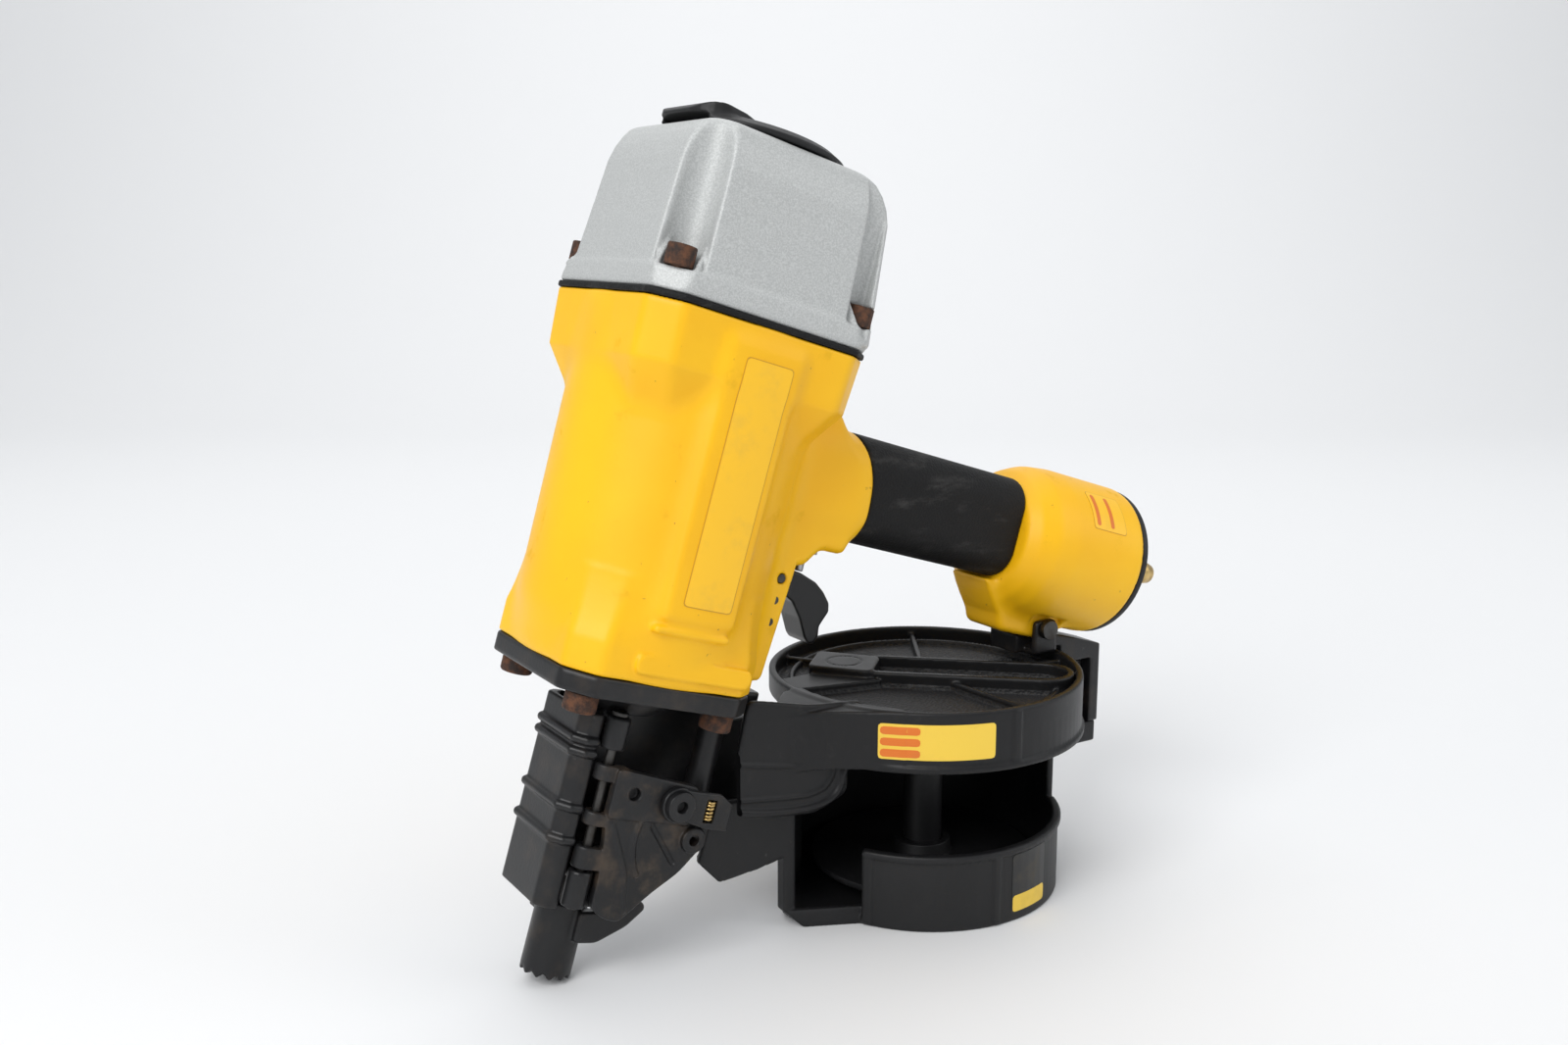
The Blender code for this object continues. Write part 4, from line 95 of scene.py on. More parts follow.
# Clearance between fitted pieces, and the reach of a cut that goes right through
GAP = 0.3
THROUGH = 60.0

# Places and sizes that several groups share, in the tool frame
HEAD_HALF = 50.0
CORNER_CUT = 11.0
CAP_BOLT = 41.3
NOSE_BOLT = 30.5
TRIGGER_PIVOT = (51.5, 177.7)
VALVE_PLACE = (71.9, 0.0)
HANDLE_LEVEL = 221.0
GRIP_CORNER = 14.0
BELL_AXIS = (0.0, 217.0)
BRACKET_BOLT = (207.0, 180.0)

# Meshing: cells along a block, blocks in a batch, two far distances, radius of a closed end, trial step
BLOCK = 8
BATCH = 200
FAR = 1e9
FAR_CELL = 1e3
TINY = 0.02

# Angles in degrees above which an edge of a turned piece, a wire or a film stays crisp
TURNED_SHARP = 38.0
WIRE_SHARP = 50.0
FILM_SHARP = 40.0


class Stance(Enum):
    """The frame in which a piece's sizes are given."""

    WORLD = "world"
    TOOL = "tool"


class Axis(Enum):
    """The direction along which an outline is pulled or a profile is spun."""

    U = "u"
    V = "v"
    W = "w"


def to_metres(points: Array, stance: Stance) -> Array:
    """Carry points to the world frame.

    Args:
        points: rows of three sizes in millimetres.
        stance: the frame they are given in.

    Returns:
        Rows of world places in metres.
    """
    if stance is Stance.TOOL:
        u, v, w = points.T
        x = u * math.cos(TILT) + w * math.sin(TILT) + NOSE_X
        z = w * math.cos(TILT) - u * math.sin(TILT) + NOSE_Z
        points = np.stack([x, v, z], 1)
    return points * MM


def tool_place(u: float, w: float) -> Point:
    """World (x, z) in millimetres of a tool-frame point."""
    place = to_metres(np.array([[u, 0.0, w]]), Stance.TOOL)[0] / MM
    return float(place[0]), float(place[2])


def soft_min(a: Array, b: Array, radius: float) -> Array:
    """Smaller of two distances, with a fillet of about the given radius where they meet."""
    meet = np.maximum(radius - np.abs(a - b), 0.0) / radius
    return np.minimum(a, b) - meet * meet * radius / 4


def soft_max(a: Array, b: Array, radius: float) -> Array:
    """Larger of two distances, with a rounded edge of about the given radius."""
    return -soft_min(-a, -b, radius)


class Solid:
    """A shape as a signed distance in millimetres: below zero inside, above zero outside."""

    def __init__(self, distance: Callable[[Array, Array, Array], Array]) -> None:
        """Keep the distance formula."""
        self.distance = distance

    def __call__(self, x: Array, y: Array, z: Array) -> Array:
        """Distance at places, given as arrays that fit together."""
        return self.distance(x, y, z)

    def __or__(self, other: Solid) -> Solid:
        """Both shapes, with a sharp seam."""
        return Solid(lambda x, y, z: np.minimum(self(x, y, z), other(x, y, z)))

    def __and__(self, other: Solid) -> Solid:
        """What the two shapes share."""
        return Solid(lambda x, y, z: np.maximum(self(x, y, z), other(x, y, z)))

    def __sub__(self, other: Solid) -> Solid:
        """This shape less another, with a sharp edge."""
        return Solid(lambda x, y, z: np.maximum(self(x, y, z), -other(x, y, z)))

    def join(self, other: Solid, radius: float) -> Solid:
        """Add a shape with a cast fillet at the seam."""
        return Solid(lambda x, y, z: soft_min(self(x, y, z), other(x, y, z), radius))

    def carve(self, other: Solid, radius: float) -> Solid:
        """Take a shape away with a rounded edge."""
        return Solid(lambda x, y, z: soft_max(self(x, y, z), -other(x, y, z), radius))


def union(solids: Sequence[Solid]) -> Solid:
    """Join many shapes with sharp seams.

    Args:
        solids: the shapes.

    Returns:
        The solid.
    """
    def distance(x: Array, y: Array, z: Array) -> Array:
        """Smallest of the distances."""
        found = solids[0](x, y, z)
        for solid in solids[1:]:
            found = np.minimum(found, solid(x, y, z))
        return found
    return Solid(distance)


def turn_to(axis: Axis, x: Array, y: Array, z: Array) -> tuple[Array, Array, Array]:
    """Return the two in-plane coordinates and the level along an axis.

    Args:
        axis: the axis.
        x: first coordinate.
        y: second coordinate.
        z: third coordinate.

    Returns:
        Both in-plane coordinates, then the level.
    """
    if axis is Axis.W:
        return x, y, z
    if axis is Axis.V:
        return x, z, y
    return y, z, x


def flat_polygon(points: Outline) -> Flat:
    """Signed distance to a flat outline: nearest edge, with the sign by counting crossings.

    Args:
        points: corners in order.

    Returns:
        The distance as a function of two coordinates.
    """
    start = np.asarray(points, float)
    end = np.roll(start, -1, 0)

    def distance(a: Array, b: Array) -> Array:
        """Root of the least squared distance; inside where a line to the left meets an odd count of edges."""
        nearest = np.full(np.broadcast(a, b).shape, FAR)
        inside = np.zeros(nearest.shape, bool)
        for (px, py), (qx, qy) in zip(start, end):
            ex, ey = qx - px, qy - py
            da, db = a - px, b - py
            share = np.clip((da * ex + db * ey) / (ex * ex + ey * ey + 1e-12), 0.0, 1.0)
            nearest = np.minimum(nearest, (da - ex * share) ** 2 + (db - ey * share) ** 2)
            above, below, left = b >= py, b < qy, ex * db > ey * da
            inside ^= (above & below & left) | (~above & ~below & ~left)
        return np.where(inside, -1.0, 1.0) * np.sqrt(nearest)
    return distance


def pulled(flat: Flat, low: float, high: float, axis: Axis, edge: float) -> Solid:
    """Pull a flat shape along an axis between two levels, with rounded rims.

    Args:
        flat: signed distance of the outline in its plane.
        low: first level.
        high: last level.
        axis: direction of the pull.
        edge: radius of the rims.

    Returns:
        The solid.
    """
    middle, half = (low + high) / 2, (high - low) / 2

    def distance(x: Array, y: Array, z: Array) -> Array:
        """Distance to the shape drawn in by the rim's radius, less that radius."""
        a, b, level = turn_to(axis, x, y, z)
        side = flat(a, b) + edge
        cap = np.abs(level - middle) - half + edge
        outside = np.hypot(np.maximum(side, 0.0), np.maximum(cap, 0.0))
        return np.minimum(np.maximum(side, cap), 0.0) + outside - edge
    return Solid(distance)


def prism(points: Outline, low: float, high: float, axis: Axis = Axis.W, edge: float = 0.6) -> Solid:
    """Pull an outline: (u, v) along w, (u, w) along v or (v, w) along u."""
    return pulled(flat_polygon(points), low, high, axis, edge)


def rod(radius: float, low: float, high: float, at: Point = ORIGIN, axis: Axis = Axis.W,
        edge: float = 0.6) -> Solid:
    """Cylinder along an axis, its centre given in the other two directions."""
    return pulled(lambda a, b: np.hypot(a - at[0], b - at[1]) - radius, low, high, axis, edge)


def block(low: Sequence[float], high: Sequence[float], edge: float = 0.6) -> Solid:
    """Box between two corners with rounded edges.

    Args:
        low: lowest corner.
        high: highest corner.
        edge: radius of the edges.

    Returns:
        The solid.
    """
    middle = (np.asarray(low) + np.asarray(high)) / 2
    half = (np.asarray(high) - np.asarray(low)) / 2 - edge

    def distance(x: Array, y: Array, z: Array) -> Array:
        """Distance to the box drawn in by the edge radius, less that radius."""
        a, b, c = (np.abs(p - m) - h for p, m, h in zip((x, y, z), middle, half))
        out = np.sqrt(np.maximum(a, 0.0) ** 2 + np.maximum(b, 0.0) ** 2 + np.maximum(c, 0.0) ** 2)
        return out + np.minimum(np.maximum(np.maximum(a, b), c), 0.0) - edge
    return Solid(distance)


def spun(profile: Outline, axis: Axis = Axis.W, at: Point = ORIGIN, corner: float = 0.8) -> Solid:
    """Spin a (radius, level) profile; points on the axis are carried past it, so no skin is left there.

    Args:
        profile: corners of the profile.
        axis: the axis it turns about.
        at: where that axis stands.
        corner: radius of the profile's corners.

    Returns:
        The solid.
    """
    open_profile = [(-THROUGH if r == 0 else r, level) for r, level in profile]
    flat = flat_polygon(rounded(open_profile, corner))

    def distance(x: Array, y: Array, z: Array) -> Array:
        """Flat distance at the radius and level of each place."""
        a, b, level = turn_to(axis, x, y, z)
        return flat(np.hypot(a - at[0], b - at[1]), level)
    return Solid(distance)


def square(levels: Outline, chamfer: float, soft: float = 1.6, rim: float = 1.0) -> Solid:
    """Square post with cut corners whose half width follows (w, half) levels.

    Args:
        levels: pairs of height and half width.
        chamfer: depth of the corner cuts.
        soft: radius of the upright edges.
        rim: radius of the end edges.

    Returns:
        The solid.
    """
    at, half = zip(*levels)

    def distance(x: Array, y: Array, z: Array) -> Array:
        """Distance to sides and corner cuts at each level, eased for their slope, then to both ends."""
        h = np.interp(z, at, half)
        a, b = np.abs(x), np.abs(y)
        side = soft_max(soft_max(a - h, b - h, soft), (a + b - 2 * h + chamfer) * math.sqrt(0.5), soft)
        return soft_max(side * 0.87, np.maximum(z - at[-1], at[0] - z), rim)
    return Solid(distance)


def bead(points: Sequence[Sequence[float]], radius: float) -> Solid:
    """Round wire through points: distance to the nearest stretch less its radius.

    Args:
        points: places along the wire.
        radius: its radius.

    Returns:
        The solid.
    """
    path = np.asarray(points, float)

    def distance(x: Array, y: Array, z: Array) -> Array:
        """Root of the least squared distance to the stretches."""
        nearest = np.full(np.broadcast(x, y, z).shape, FAR)
        for start, end in zip(path, path[1:]):
            ex, ey, ez = along = end - start
            dx, dy, dz = x - start[0], y - start[1], z - start[2]
            share = np.clip((dx * ex + dy * ey + dz * ez) / (along @ along + 1e-9), 0.0, 1.0)
            gap = (dx - ex * share) ** 2 + (dy - ey * share) ** 2 + (dz - ez * share) ** 2
            nearest = np.minimum(nearest, gap)
        return np.sqrt(nearest) - radius
    return Solid(distance)


def arc(centre: Point, radius: float, start: float, end: float, steps: int) -> Points:
    """Points on an arc, angles in degrees, both ends included."""
    turn = np.radians(np.linspace(start, end, steps + 1))
    return list(zip(centre[0] + radius * np.cos(turn), centre[1] + radius * np.sin(turn)))


def rounded(points: Outline, radius: float, steps: int = 3) -> Points:
    """Replace each corner of an outline by a short curve that touches both sides.

    Args:
        points: the corners.
        radius: reach of each curve along its sides.
        steps: parts of each curve.

    Returns:
        The new outline.
    """
    here = np.asarray(points, float)
    back, ahead = np.roll(here, 1, 0) - here, np.roll(here, -1, 0) - here
    long_back = np.linalg.norm(back, axis=1, keepdims=True)
    long_ahead = np.linalg.norm(ahead, axis=1, keepdims=True)
    reach = np.minimum(radius, np.minimum(long_back, long_ahead) * 0.45)
    first, last = here + back / long_back * reach, here + ahead / long_ahead * reach
    t = np.linspace(0.0, 1.0, steps + 1)[None, :, None]
    curve = first[:, None] * (1 - t) ** 2 + here[:, None] * 2 * t * (1 - t) + last[:, None] * t ** 2
    return [tuple(p) for p in curve.reshape(-1, 2)]


def rounded_line(points: Outline, steps: int = 6) -> Points:
    """Smooth an open line: quadratic curves between the middles of its stretches.

    Args:
        points: corners of the line.
        steps: parts of each curve.

    Returns:
        The new line.
    """
    line = np.asarray(points, float)
    middle = (line[:-1] + line[1:]) / 2
    t = np.linspace(0.0, 1.0, steps + 1)[None, :, None]
    curve = middle[:-1, None] * (1 - t) ** 2 + line[1:-1, None] * 2 * t * (1 - t) + middle[1:, None] * t ** 2
    return [tuple(p) for p in np.concatenate([line[:1], curve.reshape(-1, 2), line[-1:]])]


def ring_part(outer: float, inner: float, start: float, end: float, steps: int = 24) -> Points:
    """Outline of part of a flat ring, angles in degrees."""
    return arc(ORIGIN, outer, start, end, steps) + arc(ORIGIN, inner, end, start, steps)


def sampled(solid: Solid, low: Array, blocks: Array, step: float) -> Array:
    """Distances on a grid, worked out only in blocks of cells near the surface.

    Args:
        solid: the shape.
        low: lowest corner of the grid.
        blocks: number of blocks each way.
        step: grid spacing.

    Returns:
        The distance at each grid point.
    """
    size = BLOCK * step
    centres = [low[i] + (np.arange(blocks[i]) + 0.5) * size for i in range(3)]
    middle = solid(centres[0][:, None, None], centres[1][None, :, None], centres[2][None, None, :])
    middle = np.broadcast_to(middle, tuple(blocks))
    grid = np.where(middle > 0, FAR_CELL, -FAR_CELL).astype(np.float32)
    grid = grid.repeat(BLOCK, 0).repeat(BLOCK, 1).repeat(BLOCK, 2)
    grid = np.pad(grid, ((0, 1), (0, 1), (0, 1)), mode="edge")
    near = np.argwhere(np.abs(middle) < size * 1.15) * BLOCK
    offsets = np.arange(BLOCK + 1)
    for start in range(0, len(near), BATCH):
        corner = near[start:start + BATCH]
        i, j, k = (corner[:, axis, None] + offsets for axis in range(3))
        i, j, k = i[:, :, None, None], j[:, None, :, None], k[:, None, None, :]
        grid[i, j, k] = solid(low[0] + i * step, low[1] + j * step, low[2] + k * step)
    return grid


def skinned(solid: Solid, low: Sequence[float], high: Sequence[float], step: float) -> Skin:
    """Mesh a solid: one point in each grid cell that it crosses, then quads round each crossed grid line.

    The point is the mean of the cell's edge crossings, and is then moved along the slope onto the surface.

    Args:
        solid: the shape.
        low: lowest corner of the room it takes.
        high: highest corner of that room.
        step: grid spacing.

    Returns:
        Points in millimetres and quads of their numbers.
    """
    base = np.asarray(low, float) - 2 * step
    blocks = np.ceil((np.asarray(high) + 2 * step - base) / (BLOCK * step)).astype(int)
    grid = sampled(solid, base, blocks, step)
    within = grid < 0
    shape = np.array(grid.shape) - 1
    corners = [(a, b, c) for a in (0, 1) for b in (0, 1) for c in (0, 1)]
    counted = within.astype(np.int8)
    count = sum(counted[a:a + shape[0], b:b + shape[1], c:c + shape[2]] for a, b, c in corners)
    crossed = (count > 0) & (count < 8)
    cells = np.argwhere(crossed)
    number = np.full(tuple(shape), -1, np.int64)
    number[crossed] = np.arange(len(cells))
    total, hits = np.zeros((len(cells), 3)), np.zeros((len(cells), 1))
    for axis in range(3):
        for corner in corners:
            if corner[axis]:
                continue
            start = cells + corner
            end = start.copy()
            end[:, axis] += 1
            a, b = grid[tuple(start.T)], grid[tuple(end.T)]
            meets = (a < 0) != (b < 0)
            share = np.where(meets, a / np.where(meets, a - b, 1.0), 0.0)
            place = np.tile(np.asarray(corner, float), (len(cells), 1))
            place[:, axis] += share
            total += place * meets[:, None]
            hits += meets[:, None]
    points = base + (cells + total / np.maximum(hits, 1)) * step
    quads = []
    for axis in range(3):
        first, second = (axis + 1) % 3, (axis + 2) % 3
        lower = [slice(1, -1)] * 3
        upper = [slice(1, -1)] * 3
        lower[axis], upper[axis] = slice(0, -1), slice(1, None)
        inside = within[tuple(lower)]
        lines = np.argwhere(inside != within[tuple(upper)])
        out = inside[tuple(lines.T)]
        lines[:, first] += 1
        lines[:, second] += 1
        ring = []
        for da, db in ((-1, -1), (0, -1), (0, 0), (-1, 0)):
            cell = lines.copy()
            cell[:, first] += da
            cell[:, second] += db
            ring.append(number[tuple(cell.T)])
        ring = np.stack(ring, 1)
        quads.append(np.where(out[:, None], ring, ring[:, ::-1]))
    return settled(solid, points, step), np.concatenate(quads)


def slope_of(solid: Solid, x: Array, y: Array, z: Array, nudge: float) -> Array:
    """Slope of the distance, which points out of the solid.

    Args:
        solid: the shape.
        x: first coordinates.
        y: second coordinates.
        z: third coordinates.
        nudge: half the length it is measured over.

    Returns:
        Rows of slopes.
    """
    return np.stack([
        solid(x + nudge, y, z) - solid(x - nudge, y, z),
        solid(x, y + nudge, z) - solid(x, y - nudge, z),
        solid(x, y, z + nudge) - solid(x, y, z - nudge),
    ], 1) / (2 * nudge)


def settled(solid: Solid, points: Array, step: float) -> Array:
    """Move points along the slope of the distance until they lie on the surface.

    Args:
        solid: the shape.
        points: places near its surface.
        step: longest move, twice over.

    Returns:
        The moved places.
    """
    for _ in range(3):
        value = solid(*points.T)
        slope = slope_of(solid, *points.T, 0.12 * step)
        move = value[:, None] * slope / np.maximum((slope * slope).sum(1, keepdims=True), 0.25)
        points = points - np.clip(move, -0.5 * step, 0.5 * step)
    return points


def spun_grid(profile: Outline, turns: int, axis: Axis, at: Point, corner: float) -> Skin:
    """Turned surface: point (i, j) is the i-th profile point spun by j parts of a full turn.

    Args:
        profile: pairs of radius and level.
        turns: points round a turn.
        axis: the axis.
        at: where the axis stands.
        corner: radius of the profile's corners.

    Returns:
        Points in millimetres and quads of their numbers.
    """
    line = np.asarray(rounded(profile, corner) if corner else profile, float)
    angle = np.linspace(0.0, math.tau, turns, endpoint=False)
    a = at[0] + line[:, 0, None] * np.cos(angle)
    b = at[1] + line[:, 0, None] * np.sin(angle)
    level = np.broadcast_to(line[:, 1, None], a.shape)
    order = {Axis.W: (a, b, level), Axis.V: (a, level, b), Axis.U: (level, a, b)}[axis]
    points = np.stack(order, -1).reshape(-1, 3)
    flip = axis is not Axis.V
    return points, grid_quads(len(line), turns, True, True, flip)


def grid_quads(rows: int, columns: int, wrap_rows: bool, wrap_columns: bool, flip: bool) -> Array:
    """Quads of a grid of points, closed round its rows or columns where asked.

    Args:
        rows: number of rows.
        columns: number of columns.
        wrap_rows: close the last row to the first.
        wrap_columns: close the last column to the first.
        flip: turn the faces over.

    Returns:
        Rows of four point numbers.
    """
    i = np.arange(rows if wrap_rows else rows - 1)[:, None]
    j = np.arange(columns if wrap_columns else columns - 1)[None, :]
    i2, j2 = (i + 1) % rows, (j + 1) % columns
    here, ahead = i * columns, i2 * columns
    quads = np.stack([here + j, ahead + j, ahead + j2, here + j2], -1).reshape(-1, 4)
    return quads[:, ::-1] if flip else quads


def swept_grid(path: Array, radius: float, sides: int) -> Skin:
    """Wire: a circle carried along a path, its ends drawn in to a point.

    Args:
        path: places along the wire.
        radius: its radius.
        sides: points round it.

    Returns:
        Points in millimetres and quads of their numbers.
    """
    along = np.gradient(path, axis=0)
    along /= np.linalg.norm(along, axis=1, keepdims=True)
    helper = np.where(np.abs(along[:, :1]) < 0.9, [[1.0, 0.0, 0.0]], [[0.0, 1.0, 0.0]])
    side = np.cross(along, helper)
    side /= np.linalg.norm(side, axis=1, keepdims=True)
    up = np.cross(along, side)
    rows = np.concatenate([[0], np.arange(len(path)), [len(path) - 1]])
    size = np.concatenate([[TINY], np.full(len(path), radius), [TINY]])
    angle = np.linspace(0.0, math.tau, sides, endpoint=False)[None, :, None]
    circle = side[rows][:, None] * np.cos(angle) + up[rows][:, None] * np.sin(angle)
    points = path[rows][:, None] + circle * size[:, None, None]
    return points.reshape(-1, 3), grid_quads(len(rows), sides, False, True, False)


def film_grid(outline: Array, lay: Flat, solid: Solid, proud: float) -> Skin:
    """Thin closed sheet: rings of an outline drawn in to its middle, settled on a solid's skin.

    Args:
        outline: border of the sheet in its own two directions, about its middle.
        lay: carries sheet places to rows of places near the solid.
        solid: the piece that it sticks to.
        proud: height of the upper side over the skin.

    Returns:
        Points and quads.
    """
    rings, middle, sunk = 16, 0.002, -0.3
    size = np.concatenate([np.linspace(middle, 1.0, rings), np.linspace(1.0, middle, rings)])
    height = np.repeat([proud, sunk], rings * len(outline))
    points = np.concatenate([lay(outline[:, 0] * k, outline[:, 1] * k) for k in size])
    for _ in range(3):
        points = settled(solid, points, 1.5)
    points = points + slope_of(solid, *points.T, 0.3) * height[:, None]
    return points, grid_quads(len(size), len(outline), False, True, False)


def evenly(points: Outline, spacing: float) -> Array:
    """Points at even distances round a closed outline.

    Args:
        points: the outline.
        spacing: distance between points.

    Returns:
        Rows of points.
    """
    closed = np.vstack([points, points[0]])
    run = np.concatenate([[0.0], np.cumsum(np.linalg.norm(np.diff(closed, axis=0), axis=1))])
    at = np.linspace(0.0, run[-1], max(int(run[-1] / spacing), 12), endpoint=False)
    return np.stack([np.interp(at, run, closed[:, i]) for i in range(2)], 1)


def helix(at: Point, radius: float, low: float, high: float, turns: float, axis: Axis) -> Array:
    """Coil path with closed end turns: the level eases at both ends while the angle runs evenly.

    Args:
        at: where its axis stands.
        radius: radius of the coil.
        low: first level.
        high: last level.
        turns: number of turns.
        axis: its direction.

    Returns:
        Places along the wire.
    """
    t = np.linspace(0.0, 1.0, int(turns * 20) + 1)
    angle = math.tau * turns * t
    level = low + (high - low) * (t - 0.12 * np.sin(math.tau * t) / math.tau * 2)
    a, b = at[0] + radius * np.cos(angle), at[1] + radius * np.sin(angle)
    return np.stack((a, b, level) if axis is Axis.W else (level, a, b), 1)


class Wire:
    """One output of a node tree, with arithmetic that makes Math nodes."""

    def __init__(self, graph: Graph, socket: Any) -> None:
        """Keep the tree and the output."""
        self.graph = graph
        self.socket = socket

    def _math(self, kind: str, first: Any, second: Any) -> Wire:
        """One Math node on two values."""
        return self.graph.make("ShaderNodeMath", {"operation": kind}, {0: first, 1: second})

    def __add__(self, other: Any) -> Wire:
        """Sum with another value."""
        return self._math("ADD", self, other)

    def __radd__(self, other: Any) -> Wire:
        """Sum with a number on the left."""
        return self._math("ADD", other, self)

    def __rsub__(self, other: Any) -> Wire:
        """A number less this value."""
        return self._math("SUBTRACT", other, self)

    def __mul__(self, other: Any) -> Wire:
        """Product with another value."""
        return self._math("MULTIPLY", self, other)

    def __pow__(self, other: Any) -> Wire:
        """This value to a power."""
        return self._math("POWER", self, other)

    def above(self, start: float, full: float) -> Wire:
        """Smooth step from 0 at start to 1 at full."""
        settings = {"interpolation_type": "SMOOTHSTEP"}
        return self.graph.make("ShaderNodeMapRange", settings, {0: self, 1: start, 2: full, 3: 0.0, 4: 1.0})


class Graph:
    """A material's node tree, with short ways to the patterns that the finishes share."""

    def __init__(self, name: str) -> None:
        """Start a material with its shader and object coordinates.

        Args:
            name: the material's name.
        """
        self.material = bpy.data.materials.new(name)
        self.material.use_nodes = True
        self.tree = self.material.node_tree
        self.shader = self.tree.nodes["Principled BSDF"]
        self.place = self.make("ShaderNodeTexCoord", {}, {}, "Object")

    def make(self, kind: str, settings: dict[str, Any], inputs: dict[Any, Any], output: Any = 0) -> Wire:
        """Make any node.

        Args:
            kind: node type.
            settings: its properties.
            inputs: its inputs by name or number, each a wire or a constant.
            output: the output that is wanted.

        Returns:
            That output.
        """
        node = self.tree.nodes.new(kind)
        for name, value in settings.items():
            setattr(node, name, value)
        for key, value in inputs.items():
            self.feed(node.inputs[key], value)
        return Wire(self, node.outputs[output])

    def feed(self, socket: Any, value: Any) -> None:
        """Link a wire to a socket, or set the socket's constant.

        Args:
            socket: the socket.
            value: a wire, a number or a colour.
        """
        if isinstance(value, Wire):
            self.tree.links.new(value.socket, socket)
        elif isinstance(value, tuple) and len(value) == 3 and socket.type == "RGBA":
            socket.default_value = (*value, 1.0)
        else:
            socket.default_value = value

    def stretch(self, scale: Sequence[float]) -> Wire:
        """Object coordinates, longer or shorter along each axis."""
        return self.make("ShaderNodeMapping", {}, {"Vector": self.place, "Scale": scale})

    def noise(self, scale: float, detail: float = 3.0, rough: float = 0.55, place: Any = None) -> Wire:
        """Cloudy pattern; scale is in features a metre."""
        inputs = {"Vector": place or self.place, "Scale": scale, "Detail": detail, "Roughness": rough}
        return self.make("ShaderNodeTexNoise", {}, inputs, 0)

    def cells(self, scale: float) -> Wire:
        """Distance to the nearest of many scattered points."""
        return self.make("ShaderNodeTexVoronoi", {}, {"Vector": self.place, "Scale": scale}, "Distance")

    def parts(self) -> tuple[Wire, Wire, Wire]:
        """Object coordinates x, y and z."""
        node = self.make("ShaderNodeSeparateXYZ", {}, {0: self.place}).socket.node
        return tuple(Wire(self, node.outputs[i]) for i in range(3))

    def mix(self, share: Any, first: Any, second: Any) -> Wire:
        """Blend two colours."""
        return self.make("ShaderNodeMix", {"data_type": "RGBA"}, {0: share, 6: first, 7: second}, 2)

    def bump(self, height: Wire, strength: float, depth: float, under: Wire | None = None) -> Wire:
        """Small relief of a height pattern, on top of another relief if one is given.

        Args:
            height: the pattern.
            strength: share of it that shows.
            depth: its depth in metres.
            under: relief below it.

        Returns:
            The shading normal.
        """
        inputs: dict[Any, Any] = {"Height": height, "Strength": strength, "Distance": depth}
        if under is not None:
            inputs["Normal"] = under
        return self.make("ShaderNodeBump", {}, inputs)

    def done(self, **sockets: Any) -> bpy.types.Material:
        """Feed the shader; underscores in names stand for spaces.

        Args:
            sockets: values by socket name.

        Returns:
            The material.
        """
        for name, value in sockets.items():
            self.feed(self.shader.inputs[name.replace("_", " ")], value)
        return self.material


@dataclass(frozen=True)
class Enamel:
    """Glossy enamel over a casting: slight orange peel, rubbed spots and dark nicks."""

    name: str = "yellow_enamel"
    colour: Colour = (0.955, 0.535, 0.005)
    shade: Colour = (0.90, 0.465, 0.003)
    grime: Colour = (0.30, 0.135, 0.010)

    def make(self) -> bpy.types.Material:
        """Build the finish.

        Returns:
            The material.
        """
        g = Graph(self.name)
        cloud = g.noise(14.0, 3.0)
        rub = g.noise(55.0, 7.0, 0.62).above(0.61, 0.72)
        nick = g.noise(210.0, 4.0, 0.6).above(0.70, 0.74)
        base = g.mix(cloud.above(0.3, 0.75), self.colour, self.shade)
        base = g.mix(rub * 0.16, base, self.grime)
        base = g.mix(nick * 0.6, base, self.grime)
        peel = g.bump(g.noise(420.0, 2.0), 0.10, 0.0006)
        peel = g.bump(nick, 0.25, 0.0004, peel)
        rough = 0.42 + rub * 0.2 + cloud * 0.08
        return g.done(Base_Color=base, Roughness=rough, Coat_Weight=0.12 - rub * 0.1, Coat_Roughness=0.34,
                      Normal=peel, Specular_IOR_Level=0.32)


@dataclass(frozen=True)
class CastMetal:
    """Bare grey casting: fine grain, small bright and dark specks, a few rubbed marks."""

    name: str = "cast_grey"
    colour: Colour = (0.49, 0.50, 0.485)
    dark: Colour = (0.30, 0.31, 0.315)
    light: Colour = (0.60, 0.61, 0.61)

    def make(self) -> bpy.types.Material:
        """Build the finish.

        Returns:
            The material.
        """
        g = Graph(self.name)
        grain = g.noise(1500.0, 3.0, 0.7)
        cloud = g.noise(30.0, 4.0)
        mark = g.noise(60.0, 8.0, 0.65).above(0.66, 0.74)
        base = g.mix(grain.above(0.38, 0.64), self.dark, self.light)
        base = g.mix(0.62, base, self.colour)
        base = g.mix(mark * 0.3, base, self.dark)
        relief = g.bump(grain, 0.16, 0.0005)
        rough = 0.40 + cloud * 0.14 + mark * 0.1
        return g.done(Base_Color=base, Metallic=0.12, Roughness=rough, Normal=relief)


